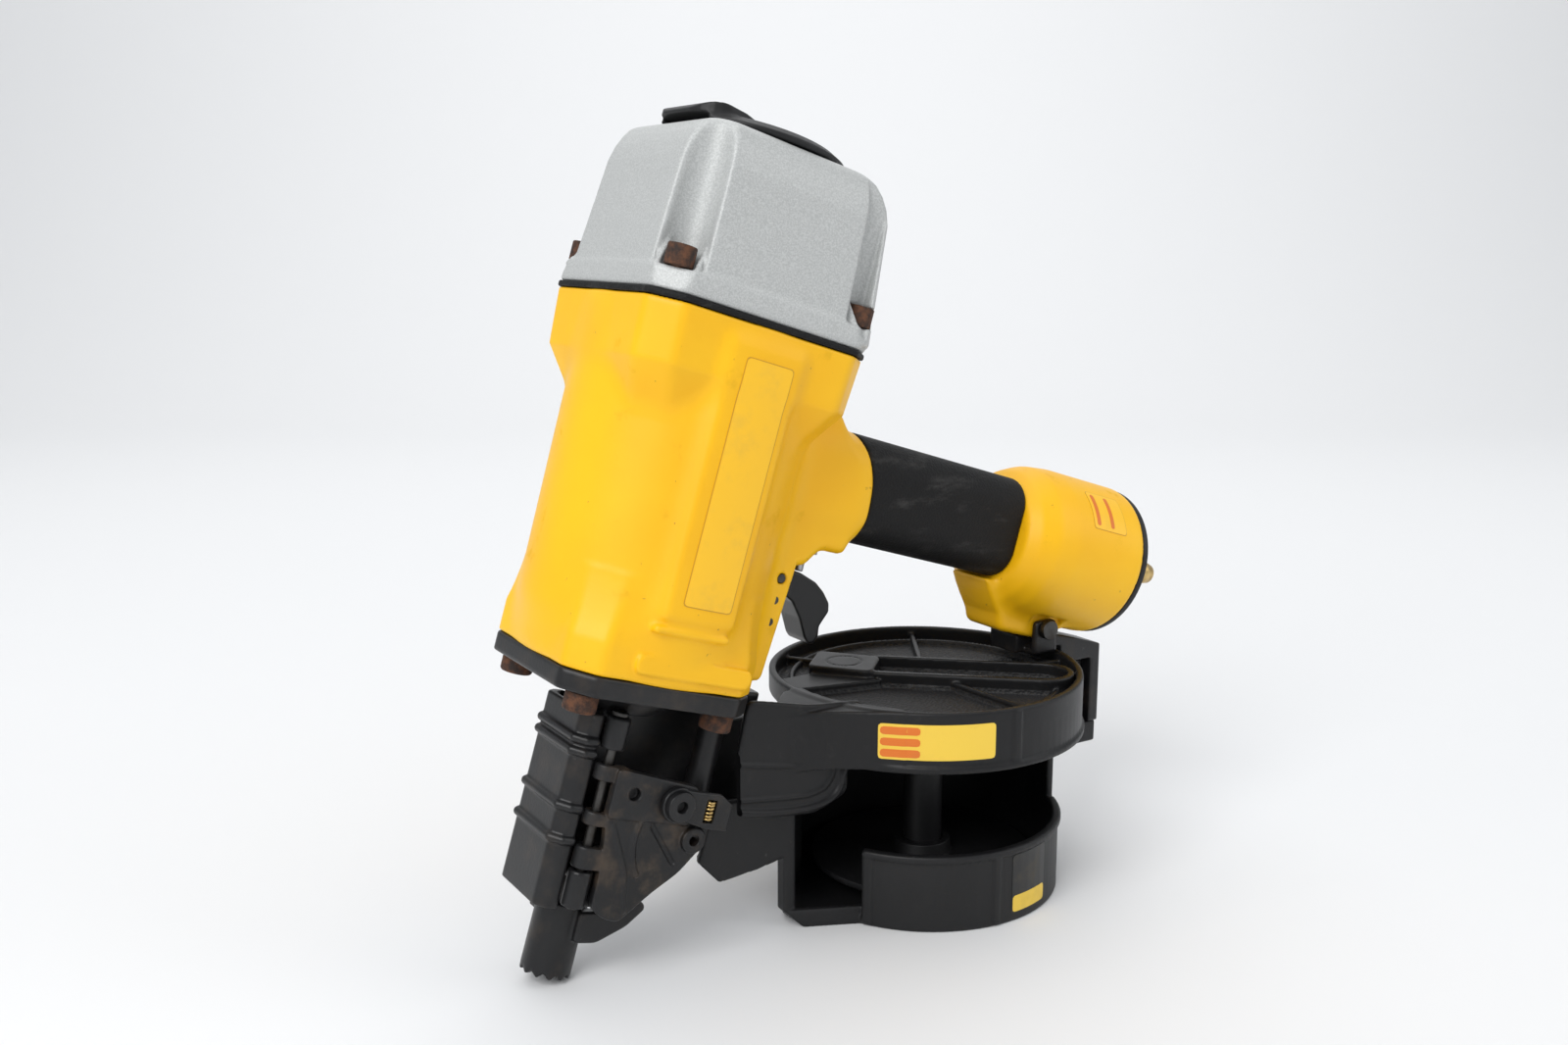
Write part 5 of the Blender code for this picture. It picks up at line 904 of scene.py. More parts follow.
@dataclass(frozen=True)
class BlackFinish:
    """Black coating or moulding: fine texture, dusty bloom, pale rubbed specks and brown grime."""

    name: str
    colour: Colour = (0.0075, 0.0075, 0.0082)
    bloom: Colour = (0.022, 0.022, 0.023)
    speck: Colour = (0.16, 0.155, 0.15)
    roughness: float = 0.40
    grain: float = 900.0
    relief: float = 0.10
    dust: float = 0.30
    grime: float = 0.0
    soil: Colour = (0.075, 0.052, 0.034)

    def make(self) -> bpy.types.Material:
        """Build the finish.

        Returns:
            The material.
        """
        g = Graph(self.name)
        grain = g.noise(self.grain, 3.0, 0.6)
        cloud = g.noise(28.0, 6.0, 0.6)
        rub = g.noise(260.0, 6.0, 0.65).above(0.66, 0.76)
        base = g.mix(cloud.above(0.42, 0.75) * self.dust, self.colour, self.bloom)
        base = g.mix(rub * 0.35, base, self.speck)
        if self.grime:
            share = g.noise(70.0, 8.0, 0.62).above(0.46, 0.72) * self.grime
            base = g.mix(share, base, self.soil)
        relief = g.bump(grain, self.relief, 0.0005)
        rough = self.roughness + cloud * 0.16 + rub * 0.15
        return g.done(Base_Color=base, Roughness=rough, Normal=relief, Specular_IOR_Level=0.38)


@dataclass(frozen=True)
class DeckFinish:
    """Moulded magazine black with a pebbled panel let into the deck."""

    name: str = "deck_black"
    deck: float = 0.0958
    radius: float = 0.066
    colour: Colour = (0.0075, 0.0075, 0.0082)
    panel: Colour = (0.026, 0.026, 0.027)
    dust: Colour = (0.055, 0.053, 0.050)

    def make(self) -> bpy.types.Material:
        """Build the finish: the pebble shows below the deck level and inside the rim only.

        Returns:
            The material.
        """
        g = Graph(self.name)
        x, y, z = g.parts()
        out = ((x * x + y * y) ** 0.5).above(self.radius, self.radius + 0.002)
        raised = z.above(self.deck, self.deck + 0.0012)
        floor = (1.0 - raised) * (1.0 - out)
        pebble = g.cells(620.0)
        cloud = g.noise(28.0, 6.0, 0.6)
        dust = g.noise(140.0, 8.0, 0.7).above(0.56, 0.78)
        base = g.mix(floor * 0.6, self.colour, self.panel)
        base = g.mix(dust * 0.22, base, self.dust)
        relief = g.bump(g.noise(1000.0, 3.0), 0.08, 0.0005)
        relief = g.bump(pebble * floor, 0.5, 0.0009, relief)
        rough = 0.36 + cloud * 0.16 + floor * 0.12
        return g.done(Base_Color=base, Roughness=rough, Normal=relief, Specular_IOR_Level=0.32)


@dataclass(frozen=True)
class Rubber:
    """Soft black grip: pebbled, matt, with pale scuffs drawn along the handle."""

    name: str = "black_rubber"
    colour: Colour = (0.006, 0.006, 0.0063)
    scuff: Colour = (0.075, 0.073, 0.070)

    def make(self) -> bpy.types.Material:
        """Build the finish.

        Returns:
            The material.
        """
        g = Graph(self.name)
        streak = g.noise(60.0, 9.0, 0.7, g.stretch((0.5, 1.0, 1.6)))
        worn = streak.above(0.52, 0.74)
        grain = g.cells(900.0)
        base = g.mix(worn * 0.55, self.colour, self.scuff)
        relief = g.bump(grain, 0.35, 0.0006)
        relief = g.bump(streak, 0.12, 0.0010, relief)
        return g.done(Base_Color=base, Roughness=0.66 + worn * 0.16, Normal=relief, Specular_IOR_Level=0.26)


@dataclass(frozen=True)
class Rust:
    """Steel with brown surface rust: mottled colour and a crusty relief."""

    name: str = "rusty_steel"
    light: Colour = (0.150, 0.062, 0.030)
    dark: Colour = (0.030, 0.018, 0.014)

    def make(self) -> bpy.types.Material:
        """Build the finish.

        Returns:
            The material.
        """
        g = Graph(self.name)
        patch = g.noise(280.0, 6.0, 0.65)
        crust = g.noise(1300.0, 4.0, 0.7)
        base = g.mix(patch.above(0.35, 0.68), self.dark, self.light)
        relief = g.bump(crust, 0.5, 0.0005)
        return g.done(Base_Color=base, Metallic=0.25, Roughness=0.62 + patch * 0.3, Normal=relief)


@dataclass(frozen=True)
class Metal:
    """Plain metal: fine turning lines, tarnish and small scratches."""

    name: str
    colour: Colour
    tarnish: Colour
    roughness: float = 0.30

    def make(self) -> bpy.types.Material:
        """Build the finish.

        Returns:
            The material.
        """
        g = Graph(self.name)
        cloud = g.noise(160.0, 5.0)
        fine = g.noise(2200.0, 2.0)
        base = g.mix(cloud.above(0.42, 0.72) * 0.7, self.colour, self.tarnish)
        relief = g.bump(fine, 0.08, 0.0003)
        return g.done(Base_Color=base, Metallic=1.0, Roughness=self.roughness + cloud * 0.22, Normal=relief)


@dataclass(frozen=True)
class Film:
    """Plain sticker: one colour, half gloss, faintly dusty."""

    name: str
    colour: Colour
    dust: Colour = (0.30, 0.22, 0.10)

    def make(self) -> bpy.types.Material:
        """Build the finish.

        Returns:
            The material.
        """
        g = Graph(self.name)
        dust = g.noise(90.0, 6.0, 0.65).above(0.5, 0.8)
        base = g.mix(dust * 0.15, self.colour, self.dust)
        return g.done(Base_Color=base, Roughness=0.36 + dust * 0.2)


FINISHES: dict[str, Any] = {
    "film_line": Film("film_line", (0.60, 0.30, 0.008)),
    "film_yellow": Film("film_yellow", (0.955, 0.535, 0.012)),
    "film_pale": Film("film_pale", (0.86, 0.58, 0.06)),
    "film_orange": Film("film_orange", (0.72, 0.17, 0.012)),
    "film_black": Film("film_black", (0.010, 0.010, 0.010)),
    "yellow_enamel": Enamel(),
    "cast_grey": CastMetal(),
    "black_casting": BlackFinish(
        "black_casting", roughness=0.28, grain=700.0, relief=0.14, dust=0.45, grime=0.25),
    "grimy_casting": BlackFinish(
        "grimy_casting", roughness=0.36, grain=600.0, relief=0.2, dust=0.5, grime=0.75),
    "black_plastic": BlackFinish("black_plastic"),
    "gloss_black": BlackFinish("gloss_black", roughness=0.20, relief=0.04, dust=0.15),
    "deck_black": DeckFinish(),
    "black_rubber": Rubber(),
    "rusty_steel": Rust(),
    "steel": Metal("steel", (0.50, 0.50, 0.51), (0.22, 0.20, 0.18)),
    "dark_steel": Metal("dark_steel", (0.085, 0.083, 0.080), (0.045, 0.038, 0.032), 0.36),
    "brass": Metal("brass", (0.66, 0.47, 0.19), (0.32, 0.21, 0.08), 0.26),
    "bumper_rubber": BlackFinish("bumper_rubber", (0.28, 0.09, 0.045), (0.36, 0.14, 0.08), roughness=0.7),
}


@dataclass
class Workshop:
    """Makes the finished objects and ties them to the frame."""

    frame: dict[str, Any]
    made: dict[str, bpy.types.Material] = field(default_factory=dict)
    bodies: dict[str, str] = field(default_factory=dict)
    slots: dict[str, str] = field(default_factory=dict)
    replaced: set[str] = field(default_factory=set)

    def __post_init__(self) -> None:
        """Look up each node's body and material slot in the record."""
        record = self.frame["record"]
        for body, nodes in record["behaviour"]["bodies"].items():
            self.bodies.update({node: body for node in nodes})
        self.slots = {part["node"]: part["material_slot"] for part in record["subparts"]}

    def finish(self, name: str) -> bpy.types.Material:
        """Return a finish's material, made on first use.

        Args:
            name: key in FINISHES.

        Returns:
            The material.
        """
        if name not in self.made:
            self.made[name] = FINISHES[name].make()
        return self.made[name]

    def place(self, node: str, points: Array, quads: Array, stance: Stance, finish: str = "",
              sharp: float = 0.0, extra: str = "") -> bpy.types.Object:
        """Make an object that stands for a CAD node, or an extra piece that rides with it.

        Args:
            node: CAD node it stands for.
            points: places in millimetres.
            quads: faces.
            stance: frame of the places.
            finish: finish name, or the node's own slot.
            sharp: angle in degrees above which an edge stays crisp, or 0 for none.
            extra: name of an added piece; the node is then kept.

        Returns:
            The object.
        """
        name = extra or f"{node}_look"
        mesh = bpy.data.meshes.new(name)
        mesh.vertices.add(len(points))
        mesh.vertices.foreach_set("co", to_metres(points, stance).astype(np.float32).ravel())
        mesh.loops.add(quads.size)
        mesh.loops.foreach_set("vertex_index", quads.astype(np.int32).ravel())
        mesh.polygons.add(len(quads))
        mesh.polygons.foreach_set("loop_start", np.arange(0, quads.size, 4, dtype=np.int32))
        mesh.update(calc_edges=True)
        mesh.validate()
        mesh.shade_smooth()
        if sharp:
            mesh.set_sharp_from_angle(angle=math.radians(sharp))
        made = bpy.data.objects.new(name, mesh)
        bpy.context.scene.collection.objects.link(made)
        mesh.materials.append(self.finish(finish or self.slots[node]))
        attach(made, self.bodies[node])
        if not extra:
            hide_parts(node)
            self.replaced.add(node)
        LOG.info("%s: %d faces", name, len(quads))
        return made

    def cast(self, node: str, solid: Solid, low: Sequence[float], high: Sequence[float], step: float,
             stance: Stance = Stance.TOOL, finish: str = "") -> None:
        """Skin a solid and stand it in for a node.

        Args:
            node: CAD node.
            solid: its shape.
            low: lowest corner of its room.
            high: highest corner of its room.
            step: grid spacing.
            stance: frame of the sizes.
            finish: finish name, or the node's own slot.
        """
        points, quads = skinned(solid, low, high, step)
        self.place(node, points, quads, stance, finish)

    def turn(self, node: str, profile: Outline, axis: Axis, at: Point, turns: int, corner: float,
             stance: Stance = Stance.TOOL, finish: str = "", extra: str = "") -> None:
        """Spin a profile and stand it in for a node, or add it as an extra piece.

        Args:
            node: CAD node.
            profile: pairs of radius and level.
            axis: the axis.
            at: where the axis stands.
            turns: points round a turn.
            corner: radius of the corners.
            stance: frame of the sizes.
            finish: finish name, or the node's own slot.
            extra: name of an added piece.
        """
        closed = [(max(r, TINY), level) for r, level in profile]
        points, quads = spun_grid(closed, turns, axis, at, corner)
        self.place(node, points, quads, stance, finish, TURNED_SHARP, extra)

    def bend(self, node: str, path: Array, radius: float, sides: int) -> bpy.types.Object:
        """Sweep a wire and stand it in for a node."""
        points, quads = swept_grid(path, radius, sides)
        return self.place(node, points, quads, Stance.TOOL, "", WIRE_SHARP)

    def press(self, spring: bpy.types.Object, axis: Axis, seat: Sequence[float],
              stroke: float) -> None:
        """Measure how far a spring reaches from its fixed seat, given in the tool frame, and give the spring
        a mesh of its own; the joint's stroke is not applied to it.

        Args:
            spring: the spring's object.
            axis: direction that it lies in.
            seat: fixed end.
            stroke: the joint's travel.
        """
        c, s = math.cos(TILT), math.sin(TILT)
        along = (s, 0.0, c) if axis is Axis.W else (c, 0.0, -s)
        anchor = to_metres(np.array([seat]), Stance.TOOL)[0]
        places = np.array([spring.matrix_world @ vertex.co for vertex in spring.data.vertices])
        length = ((anchor - places) @ np.array(along)).max() / MM
        tuple(anchor)
        1.0 - stroke / length
        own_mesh(spring)

    def stick(self, node: str, name: str, size: Point, lay: Flat, solid: Solid, finish: str, proud: float,
              stance: Stance = Stance.TOOL) -> None:
        """Lay a plain round-cornered film of the given width and height on a piece.

        Args:
            node: CAD node that it rides with.
            name: the film's name.
            size: width and height.
            lay: carries film places to places near the piece.
            solid: the piece's shape.
            finish: finish name.
            proud: height over the skin.
            stance: frame of the sizes.
        """
        a, b = size[0] / 2, size[1] / 2
        outline = evenly(rounded([(a, -b), (a, b), (-a, b), (-a, -b)], 1.6, 4), 1.2)
        points, quads = film_grid(outline, lay, solid, proud)
        self.place(node, points, quads, stance, finish, FILM_SHARP, name)

    def dress_rest(self) -> None:
        """Give every CAD node that is still shown its finish."""
        for node, item in self.frame["nodes"].items():
            if node in self.replaced:
                continue
            item.data.materials.clear()
            item.data.materials.append(self.finish(self.slots[node]))
            LOG.info("%s: CAD piece dressed as %s", node, self.slots[node])


def both_sides(outline: Outline, inner: float, outer: float, edge: float = 0.6) -> Solid:
    """Two equal plates, one at either side of the middle plane, from an outline in its plane."""
    return prism(outline, -outer, -inner, Axis.V, edge) | prism(outline, inner, outer, Axis.V, edge)


def corner_places(offset: float) -> Points:
    """Four bolt places round an axis, in the order of the bolts' numbers."""
    return [(-offset, -offset), (offset, -offset), (offset, offset), (-offset, offset)]


def pin_profile(radius: float, low: float, high: float) -> Points:
    """Profile of a plain pin between two levels."""
    return [(0.0, low), (radius, low), (radius, high), (0.0, high)]


def grip_section(half_v: float, half_w: float) -> Flat:
    """Rounded rectangle of the handle in (v, w), about the handle's axis.

    Args:
        half_v: half its width.
        half_w: half its height.

    Returns:
        Signed distance in the section's plane.
    """
    def distance(v: Array, w: Array) -> Array:
        """Distance to a box drawn in by the corner radius, less that radius."""
        a = np.abs(v) - half_v + GRIP_CORNER
        b = np.abs(w - HANDLE_LEVEL) - half_w + GRIP_CORNER
        outside = np.hypot(np.maximum(a, 0.0), np.maximum(b, 0.0))
        return outside + np.minimum(np.maximum(a, b), 0.0) - GRIP_CORNER
    return distance


@dataclass
class Housing:
    """Yellow casting with grip, end cap and plug."""

    low: float = 130.0
    top: float = 270.5
    barrel_foot: float = 43.0
    barrel_low: float = 48.0
    barrel_high: float = 49.2
    head_low: float = 229.5
    foot_half: float = 42.5
    flat_half: float = 49.6
    sleeve_bore: float = 41.0
    collar_nose: float = 86.0
    collar_level: float = 211.0
    collar_half_v: float = 20.6
    collar_half_w: float = 23.2
    grip_half_v: float = 20.5
    grip_half_w: float = 23.1
    grip_end: float = 171.5
    bell_start: float = 171.8
    bell_end: float = 238.0
    bell_radius: float = 36.0
    lug_half: float = 13.0
    end_cap_face: float = 241.5
    plug_seat: float = 244.8
    step: float = 1.3

    def barrel(self) -> Solid:
        """Barrel with bolted head and foot, flat sides, rib and plain plaque.

        Returns:
            The solid.
        """
        barrel = spun([
            (0.0, self.low), (self.barrel_foot, self.low), (self.barrel_low, 150.0),
            (self.barrel_high, self.head_low), (self.barrel_high, self.top), (0.0, self.top),
        ], corner=4.0)
        head = square([(self.head_low, 39.3), (247.5, 48.8), (self.top, HEAD_HALF)], CORNER_CUT, 2.0)
        foot = square([(self.low, self.foot_half), (143.0, self.foot_half), (167.0, 38.4)], CORNER_CUT, 2.0)
        body = barrel.join(head, 3.0).join(foot, 4.0)
        for near, far in ((-self.flat_half, -30.0), (30.0, self.flat_half)):
            body = body.join(block((-15.0, near, 157.0), (15.0, far, 262.0), 1.5), 8.0)
        rib = block((-17.5, -49.8, 150.6), (15.5, -42.0, 153.4), 1.2)
        plaque = rounded([(-19.0, 133.5), (33.0, 133.5), (33.0, 141.5), (-19.0, 141.5)], 3.5)
        return body.join(rib, 2.0).join(prism(plaque, -45.1, -40.0, Axis.V, 0.4), 0.6)

    def collar_edge(self, w: Array) -> Array:
        """The u of the collar's edge at a height: a parabola, steeper below the collar's middle."""
        fall = np.where(w > self.collar_level, 5.0, 12.0)
        return self.collar_nose - fall * ((w - self.collar_level) / self.collar_half_w) ** 2

    def root(self) -> Solid:
        """Handle root with its collar and the two cheeks of the trigger.

        Returns:
            The solid.
        """
        side = rounded([
            (31.0, 184.0), (62.0, 184.0), (68.4, 192.5), (80.5, 192.5), (83.0, 203.0), (82.5, 225.0),
            (62.0, 250.0), (31.0, 262.0),
        ], 3.0)
        section = grip_section(self.collar_half_v, self.collar_half_w)
        collar = Solid(lambda x, y, z: soft_max(
            np.maximum(section(y, z), 30.0 - x), (x - self.collar_edge(z)) * 0.8, 1.6))
        cheek = rounded([(30.0, 134.0), (54.0, 134.0), (57.5, 186.0), (30.0, 186.0)], 3.0)
        root = prism(side, -19.6, 19.6, Axis.V, 4.0)
        return root.join(collar, 6.0).join(both_sides(cheek, 15.5, 20.0, 1.2), 2.5)

    def bell(self) -> Solid:
        """Bell at the handle's end, with the lug that the magazine's bracket is bolted to.

        Returns:
            The solid.
        """
        bell = spun([
            (0.0, self.bell_start), (26.0, self.bell_start), (31.5, 176.8), (34.8, 184.8),
            (self.bell_radius, 195.8), (self.bell_radius, self.bell_end), (0.0, self.bell_end),
        ], Axis.U, BELL_AXIS, 1.6)
        lug = rounded([
            (self.bell_start, 196.5), (179.0, 180.3), (182.0, 174.3), (213.0, 174.3), (219.0, 182.3),
            (233.0, 188.3), (233.0, 207.0), (177.8, 207.0),
        ], 4.0)
        toe = [(165.8, 196.6), (180.0, 179.8), (186.0, 179.3), (179.8, 196.6)]
        near = block((198.0, -THROUGH, 169.0), (216.0, -self.lug_half, 186.2))
        far = block((198.0, self.lug_half, 169.0), (216.0, THROUGH, 186.2))
        seat = prism(lug, -self.lug_half, self.lug_half, Axis.V, 2.5) | prism(toe, -12.8, 12.8, Axis.V, 0.8)
        return bell.join(seat, 5.0).carve(near | far, 1.0) - rod(2.8, -THROUGH, THROUGH, BRACKET_BOLT, Axis.V)

    def solid(self) -> Solid:
        """The whole casting with its bores.

        Returns:
            The solid.
        """
        gap = block((47.0, -13.5, 134.0), (69.0, 13.5, 193.5), 1.0)
        slit = block((44.0, -15.5, 132.0), (60.0, 15.5, 178.0), 0.5)
        pin = rod(2.2, -THROUGH, THROUGH, TRIGGER_PIVOT, Axis.V, 0.1)
        body = self.barrel().join(self.root(), 9.0)
        body = body.carve(gap, 1.0).carve(slit, 1.0).carve(pin, 0.8)
        valve = rod(6.8, 177.0, 221.0, VALVE_PLACE)
        sleeve = rod(self.sleeve_bore, 146.0, 280.0) | rod(36.0, 120.0, 147.0)
        bolts = union([rod(3.7, 125.0, 143.0, place) for place in corner_places(NOSE_BOLT)])
        return (body - valve - sleeve - bolts) | self.bell()

    def films(self, shop: Workshop, body: Solid) -> None:
        """Lay blank films on the barrel's near flat and round the bell.

        Args:
            shop: makes the pieces.
            body: the casting's shape.
        """
        def flat(a: Array, b: Array) -> Array:
            """Places in front of the flat."""
            return np.stack([1.3 + a, np.full(len(a), -HEAD_HALF), 210.3 + b], 1)

        def on_bell(a: Array, b: Array) -> Array:
            """Places round the bell: b runs along its girth."""
            angle = math.radians(220.0) - b / self.bell_radius
            across, rise = self.bell_radius * np.cos(angle), self.bell_radius * np.sin(angle)
            return np.stack([215.0 + a, across, BELL_AXIS[1] - rise], 1)

        node = "body_housing"
        shop.stick(node, "barrel_film_line", (21.5, 96.0), flat, body, "film_line", 0.16)
        shop.stick(node, "barrel_film", (20.7, 95.2), flat, body, "film_yellow", 0.26)
        shop.stick(node, "bell_film_line", (21.6, 20.6), on_bell, body, "film_line", 0.14)
        shop.stick(node, "bell_film", (21.0, 20.0), on_bell, body, "film_yellow", 0.22)
        for index, shift in enumerate((-7.5, 1.5)):
            shop.stick(node, f"bell_film_band_{index + 1}", (2.4, 17.0),
                       lambda a, b, shift=shift: on_bell(a + shift, b), body, "film_orange", 0.30)

    def build(self, shop: Workshop) -> None:
        """Make the casting and what is fitted to the handle.

        Args:
            shop: makes the pieces.
        """
        body = self.solid()
        shop.cast("body_housing", body, (-51.0, -51.0, 129.0), (239.0, 51.0, 272.0), self.step)
        self.films(shop, body)
        section = grip_section(self.grip_half_v, self.grip_half_w)
        grip = Solid(lambda x, y, z: soft_max(
            soft_max(section(y, z), (self.collar_edge(z) + GAP - x) * 0.8, 1.2), x - self.grip_end, 1.2))
        shop.cast("handle_grip", grip, (70.0, -21.0, 196.0), (173.0, 21.0, 246.0), 1.2)
        face, seat = self.end_cap_face, self.plug_seat
        inner = self.bell_end + GAP
        shop.turn("handle_end_cap", [
            (5.5, inner), (35.5, inner), (35.5, face), (14.0, face), (12.0, face + 3.0), (5.5, face + 3.0),
        ], Axis.U, BELL_AXIS, 72, 0.7)
        for index in range(3):
            angle = math.tau * index / 3 + math.pi / 2
            at = (28.0 * math.cos(angle), BELL_AXIS[1] + 28.0 * math.sin(angle))
            shop.turn(f"end_cap_screw_{index + 1}", [
                (0.0, 239.0), (1.7, 239.0), (1.7, 241.8), (3.4, 241.8), (3.0, 243.8), (0.0, 243.8),
            ], Axis.U, at, 20, 0.3)
        for index, (level, side) in enumerate(((159.2, -1), (168.4, -1), (159.2, 1), (168.4, 1))):
            profile = pin_profile(1.8, 18.0 * side, 20.2 * side)
            shop.turn("body_housing", profile, Axis.V, (50.8, level), 20, 0.2, finish="dark_steel",
                      extra=f"cheek_pin_{index + 1}")
        shop.turn("air_plug", [
            (3.0, inner), (5.2, inner), (5.2, seat), (8.0, seat), (8.0, seat + 7.0), (5.2, seat + 8.0),
            (5.2, seat + 14.0), (6.6, seat + 15.0), (6.6, seat + 17.5), (4.4, seat + 18.5),
            (4.4, seat + 23.0), (5.9, seat + 24.0), (5.9, seat + 31.0), (4.8, seat + 36.0),
            (3.0, seat + 36.0),
        ], Axis.U, BELL_AXIS, 36, 0.3)


@dataclass
class Cap:
    """Cast cap, gasket, bolts and the turning exhaust deflector."""

    low: float = 273.3
    seat: float = 282.3
    top: float = 341.3
    wall_low: float = 49.2
    cavity: float = 38.0
    gasket_half: float = 50.4
    spout_half: float = 21.5

    def solid(self) -> Solid:
        """Fluted cap: tapered square with a domed top, bolt flutes and a flange.

        Returns:
            The solid.
        """
        flange = square([(self.low, HEAD_HALF), (self.seat, self.wall_low)], CORNER_CUT, 2.0, 1.4)
        tower = square([
            (self.low + 1.0, self.wall_low), (324.0, 45.8), (330.0, 44.4), (334.6, 42.4), (338.0, 40.2),
            (self.top, 36.5),
        ], 6.0, 2.6, 3.0)
        front = union([
            bead([(-CAP_BOLT, side, self.seat), (-CAP_BOLT, side, 352.0)], 9.2)
            for side in (-CAP_BOLT, CAP_BOLT)
        ])
        near = block((31.6, -80.0, self.seat - 4.0), (42.6, -40.4, 380.0), 1.0)
        far = block((31.6, 40.4, self.seat - 4.0), (42.6, 80.0, 380.0), 1.0)
        pockets = union([
            rod(8.0 if place[0] < 0 else 6.2, self.seat, self.seat + 8.5, place, Axis.W, 0.8)
            for place in corner_places(CAP_BOLT)
        ])
        body = tower.carve(front, 3.0).carve(near | far, 1.4).join(flange, 1.6).carve(pockets, 0.6)
        return body.join(self.gussets(), 0.8) - rod(self.cavity, 268.0, 318.3)

    def gussets(self) -> Solid:
        """Two small three-cornered webs beside each bolt, between flute and flange.

        Returns:
            The solid.
        """
        def distance(x: Array, y: Array, z: Array) -> Array:
            """Plates beside each diagonal, cut off by a slope that falls outwards."""
            out = (np.abs(x) + np.abs(y)) * math.sqrt(0.5)
            side = np.abs(np.abs(np.abs(x) - np.abs(y)) * math.sqrt(0.5) - 7.7) - 0.9
            slope = (z - self.seat + (out - 60.5) * 1.5) * 0.55
            return np.maximum(np.maximum(side, slope), np.maximum(50.0 - out, self.seat - 2.0 - z))
        return Solid(distance)

    def deflector(self) -> Solid:
        """Low dished disc with a hollow raised spout at the front.

        Returns:
            The solid.
        """
        under = self.top + GAP
        disc = spun([
            (3.3, under), (12.0, under), (12.0, 344.1), (33.5, 344.1), (33.5, under), (36.9, under),
            (37.5, 343.6), (32.5, 346.4), (3.3, 347.0),
        ], corner=0.7)
        side = rounded([
            (-37.0, 343.4), (-7.0, 345.1), (-9.0, 346.3), (-17.0, 349.2), (-27.0, 350.1), (-33.0, 348.9),
            (-37.0, 345.9),
        ], 2.0)
        half = self.spout_half
        plan = rounded([(-37.2, -half), (0.0, -half), (0.0, half), (-37.2, half)], 15.0, 8)
        spout = prism(side, -half, half, Axis.V, 1.6) & prism(plan, 330.0, 360.0)
        inside = block((-60.0, -18.5, 336.0), (-16.0, 18.5, 344.4), 1.0)
        return disc.join(spout, 2.5).carve(inside, 1.0)

    def gasket(self) -> Skin:
        """Flat ring: a cut-cornered square carried round six rows, the inner two drawn to a circle.

        Returns:
            Points in millimetres and quads of their numbers.
        """
        half = self.gasket_half
        corner = half - CORNER_CUT
        outer = np.asarray(rounded([
            (half, -corner), (half, corner), (corner, half), (-corner, half), (-half, corner),
            (-half, -corner), (-corner, -half), (corner, -half),
        ], 2.0, 5))
        inner = outer / np.linalg.norm(outer, axis=1, keepdims=True) * 41.0
        rows = [
            (inner, 270.8), (outer * 0.995, 270.8), (outer, 271.3), (outer, 272.5), (outer * 0.995, 273.0),
            (inner, 273.0),
        ]
        points = np.concatenate([np.column_stack([flat, np.full(len(flat), level)]) for flat, level in rows])
        return points, grid_quads(len(rows), len(outer), True, True, True)

    def build(self, shop: Workshop) -> None:
        """Make the cap group.

        Args:
            shop: makes the pieces.
        """
        shop.cast("cylinder_cap", self.solid(), (-51.0, -51.0, 272.0), (51.0, 51.0, 343.0), 1.0)
        shop.cast("exhaust_deflector", self.deflector(), (-40.0, -40.0, 340.0), (40.0, 40.0, 352.0), 0.7)
        shop.place("cap_gasket", *self.gasket(), Stance.TOOL, "", WIRE_SHARP)
        head = self.seat + GAP
        for index, place in enumerate(corner_places(CAP_BOLT)):
            shop.turn(f"cap_bolt_{index + 1}", [
                (0.0, 268.0), (3.0, 268.0), (3.0, head), (5.6, head), (5.6, head + 8.0), (2.6, head + 8.0),
                (2.6, head + 4.0), (0.0, head + 4.0),
            ], Axis.W, place, 28, 0.6)
        shop.turn("deflector_screw", [
            (0.0, 334.3), (3.0, 334.3), (3.0, 347.3), (5.5, 347.3), (4.5, 350.3), (0.0, 350.3),
        ], Axis.W, ORIGIN, 28, 0.5)


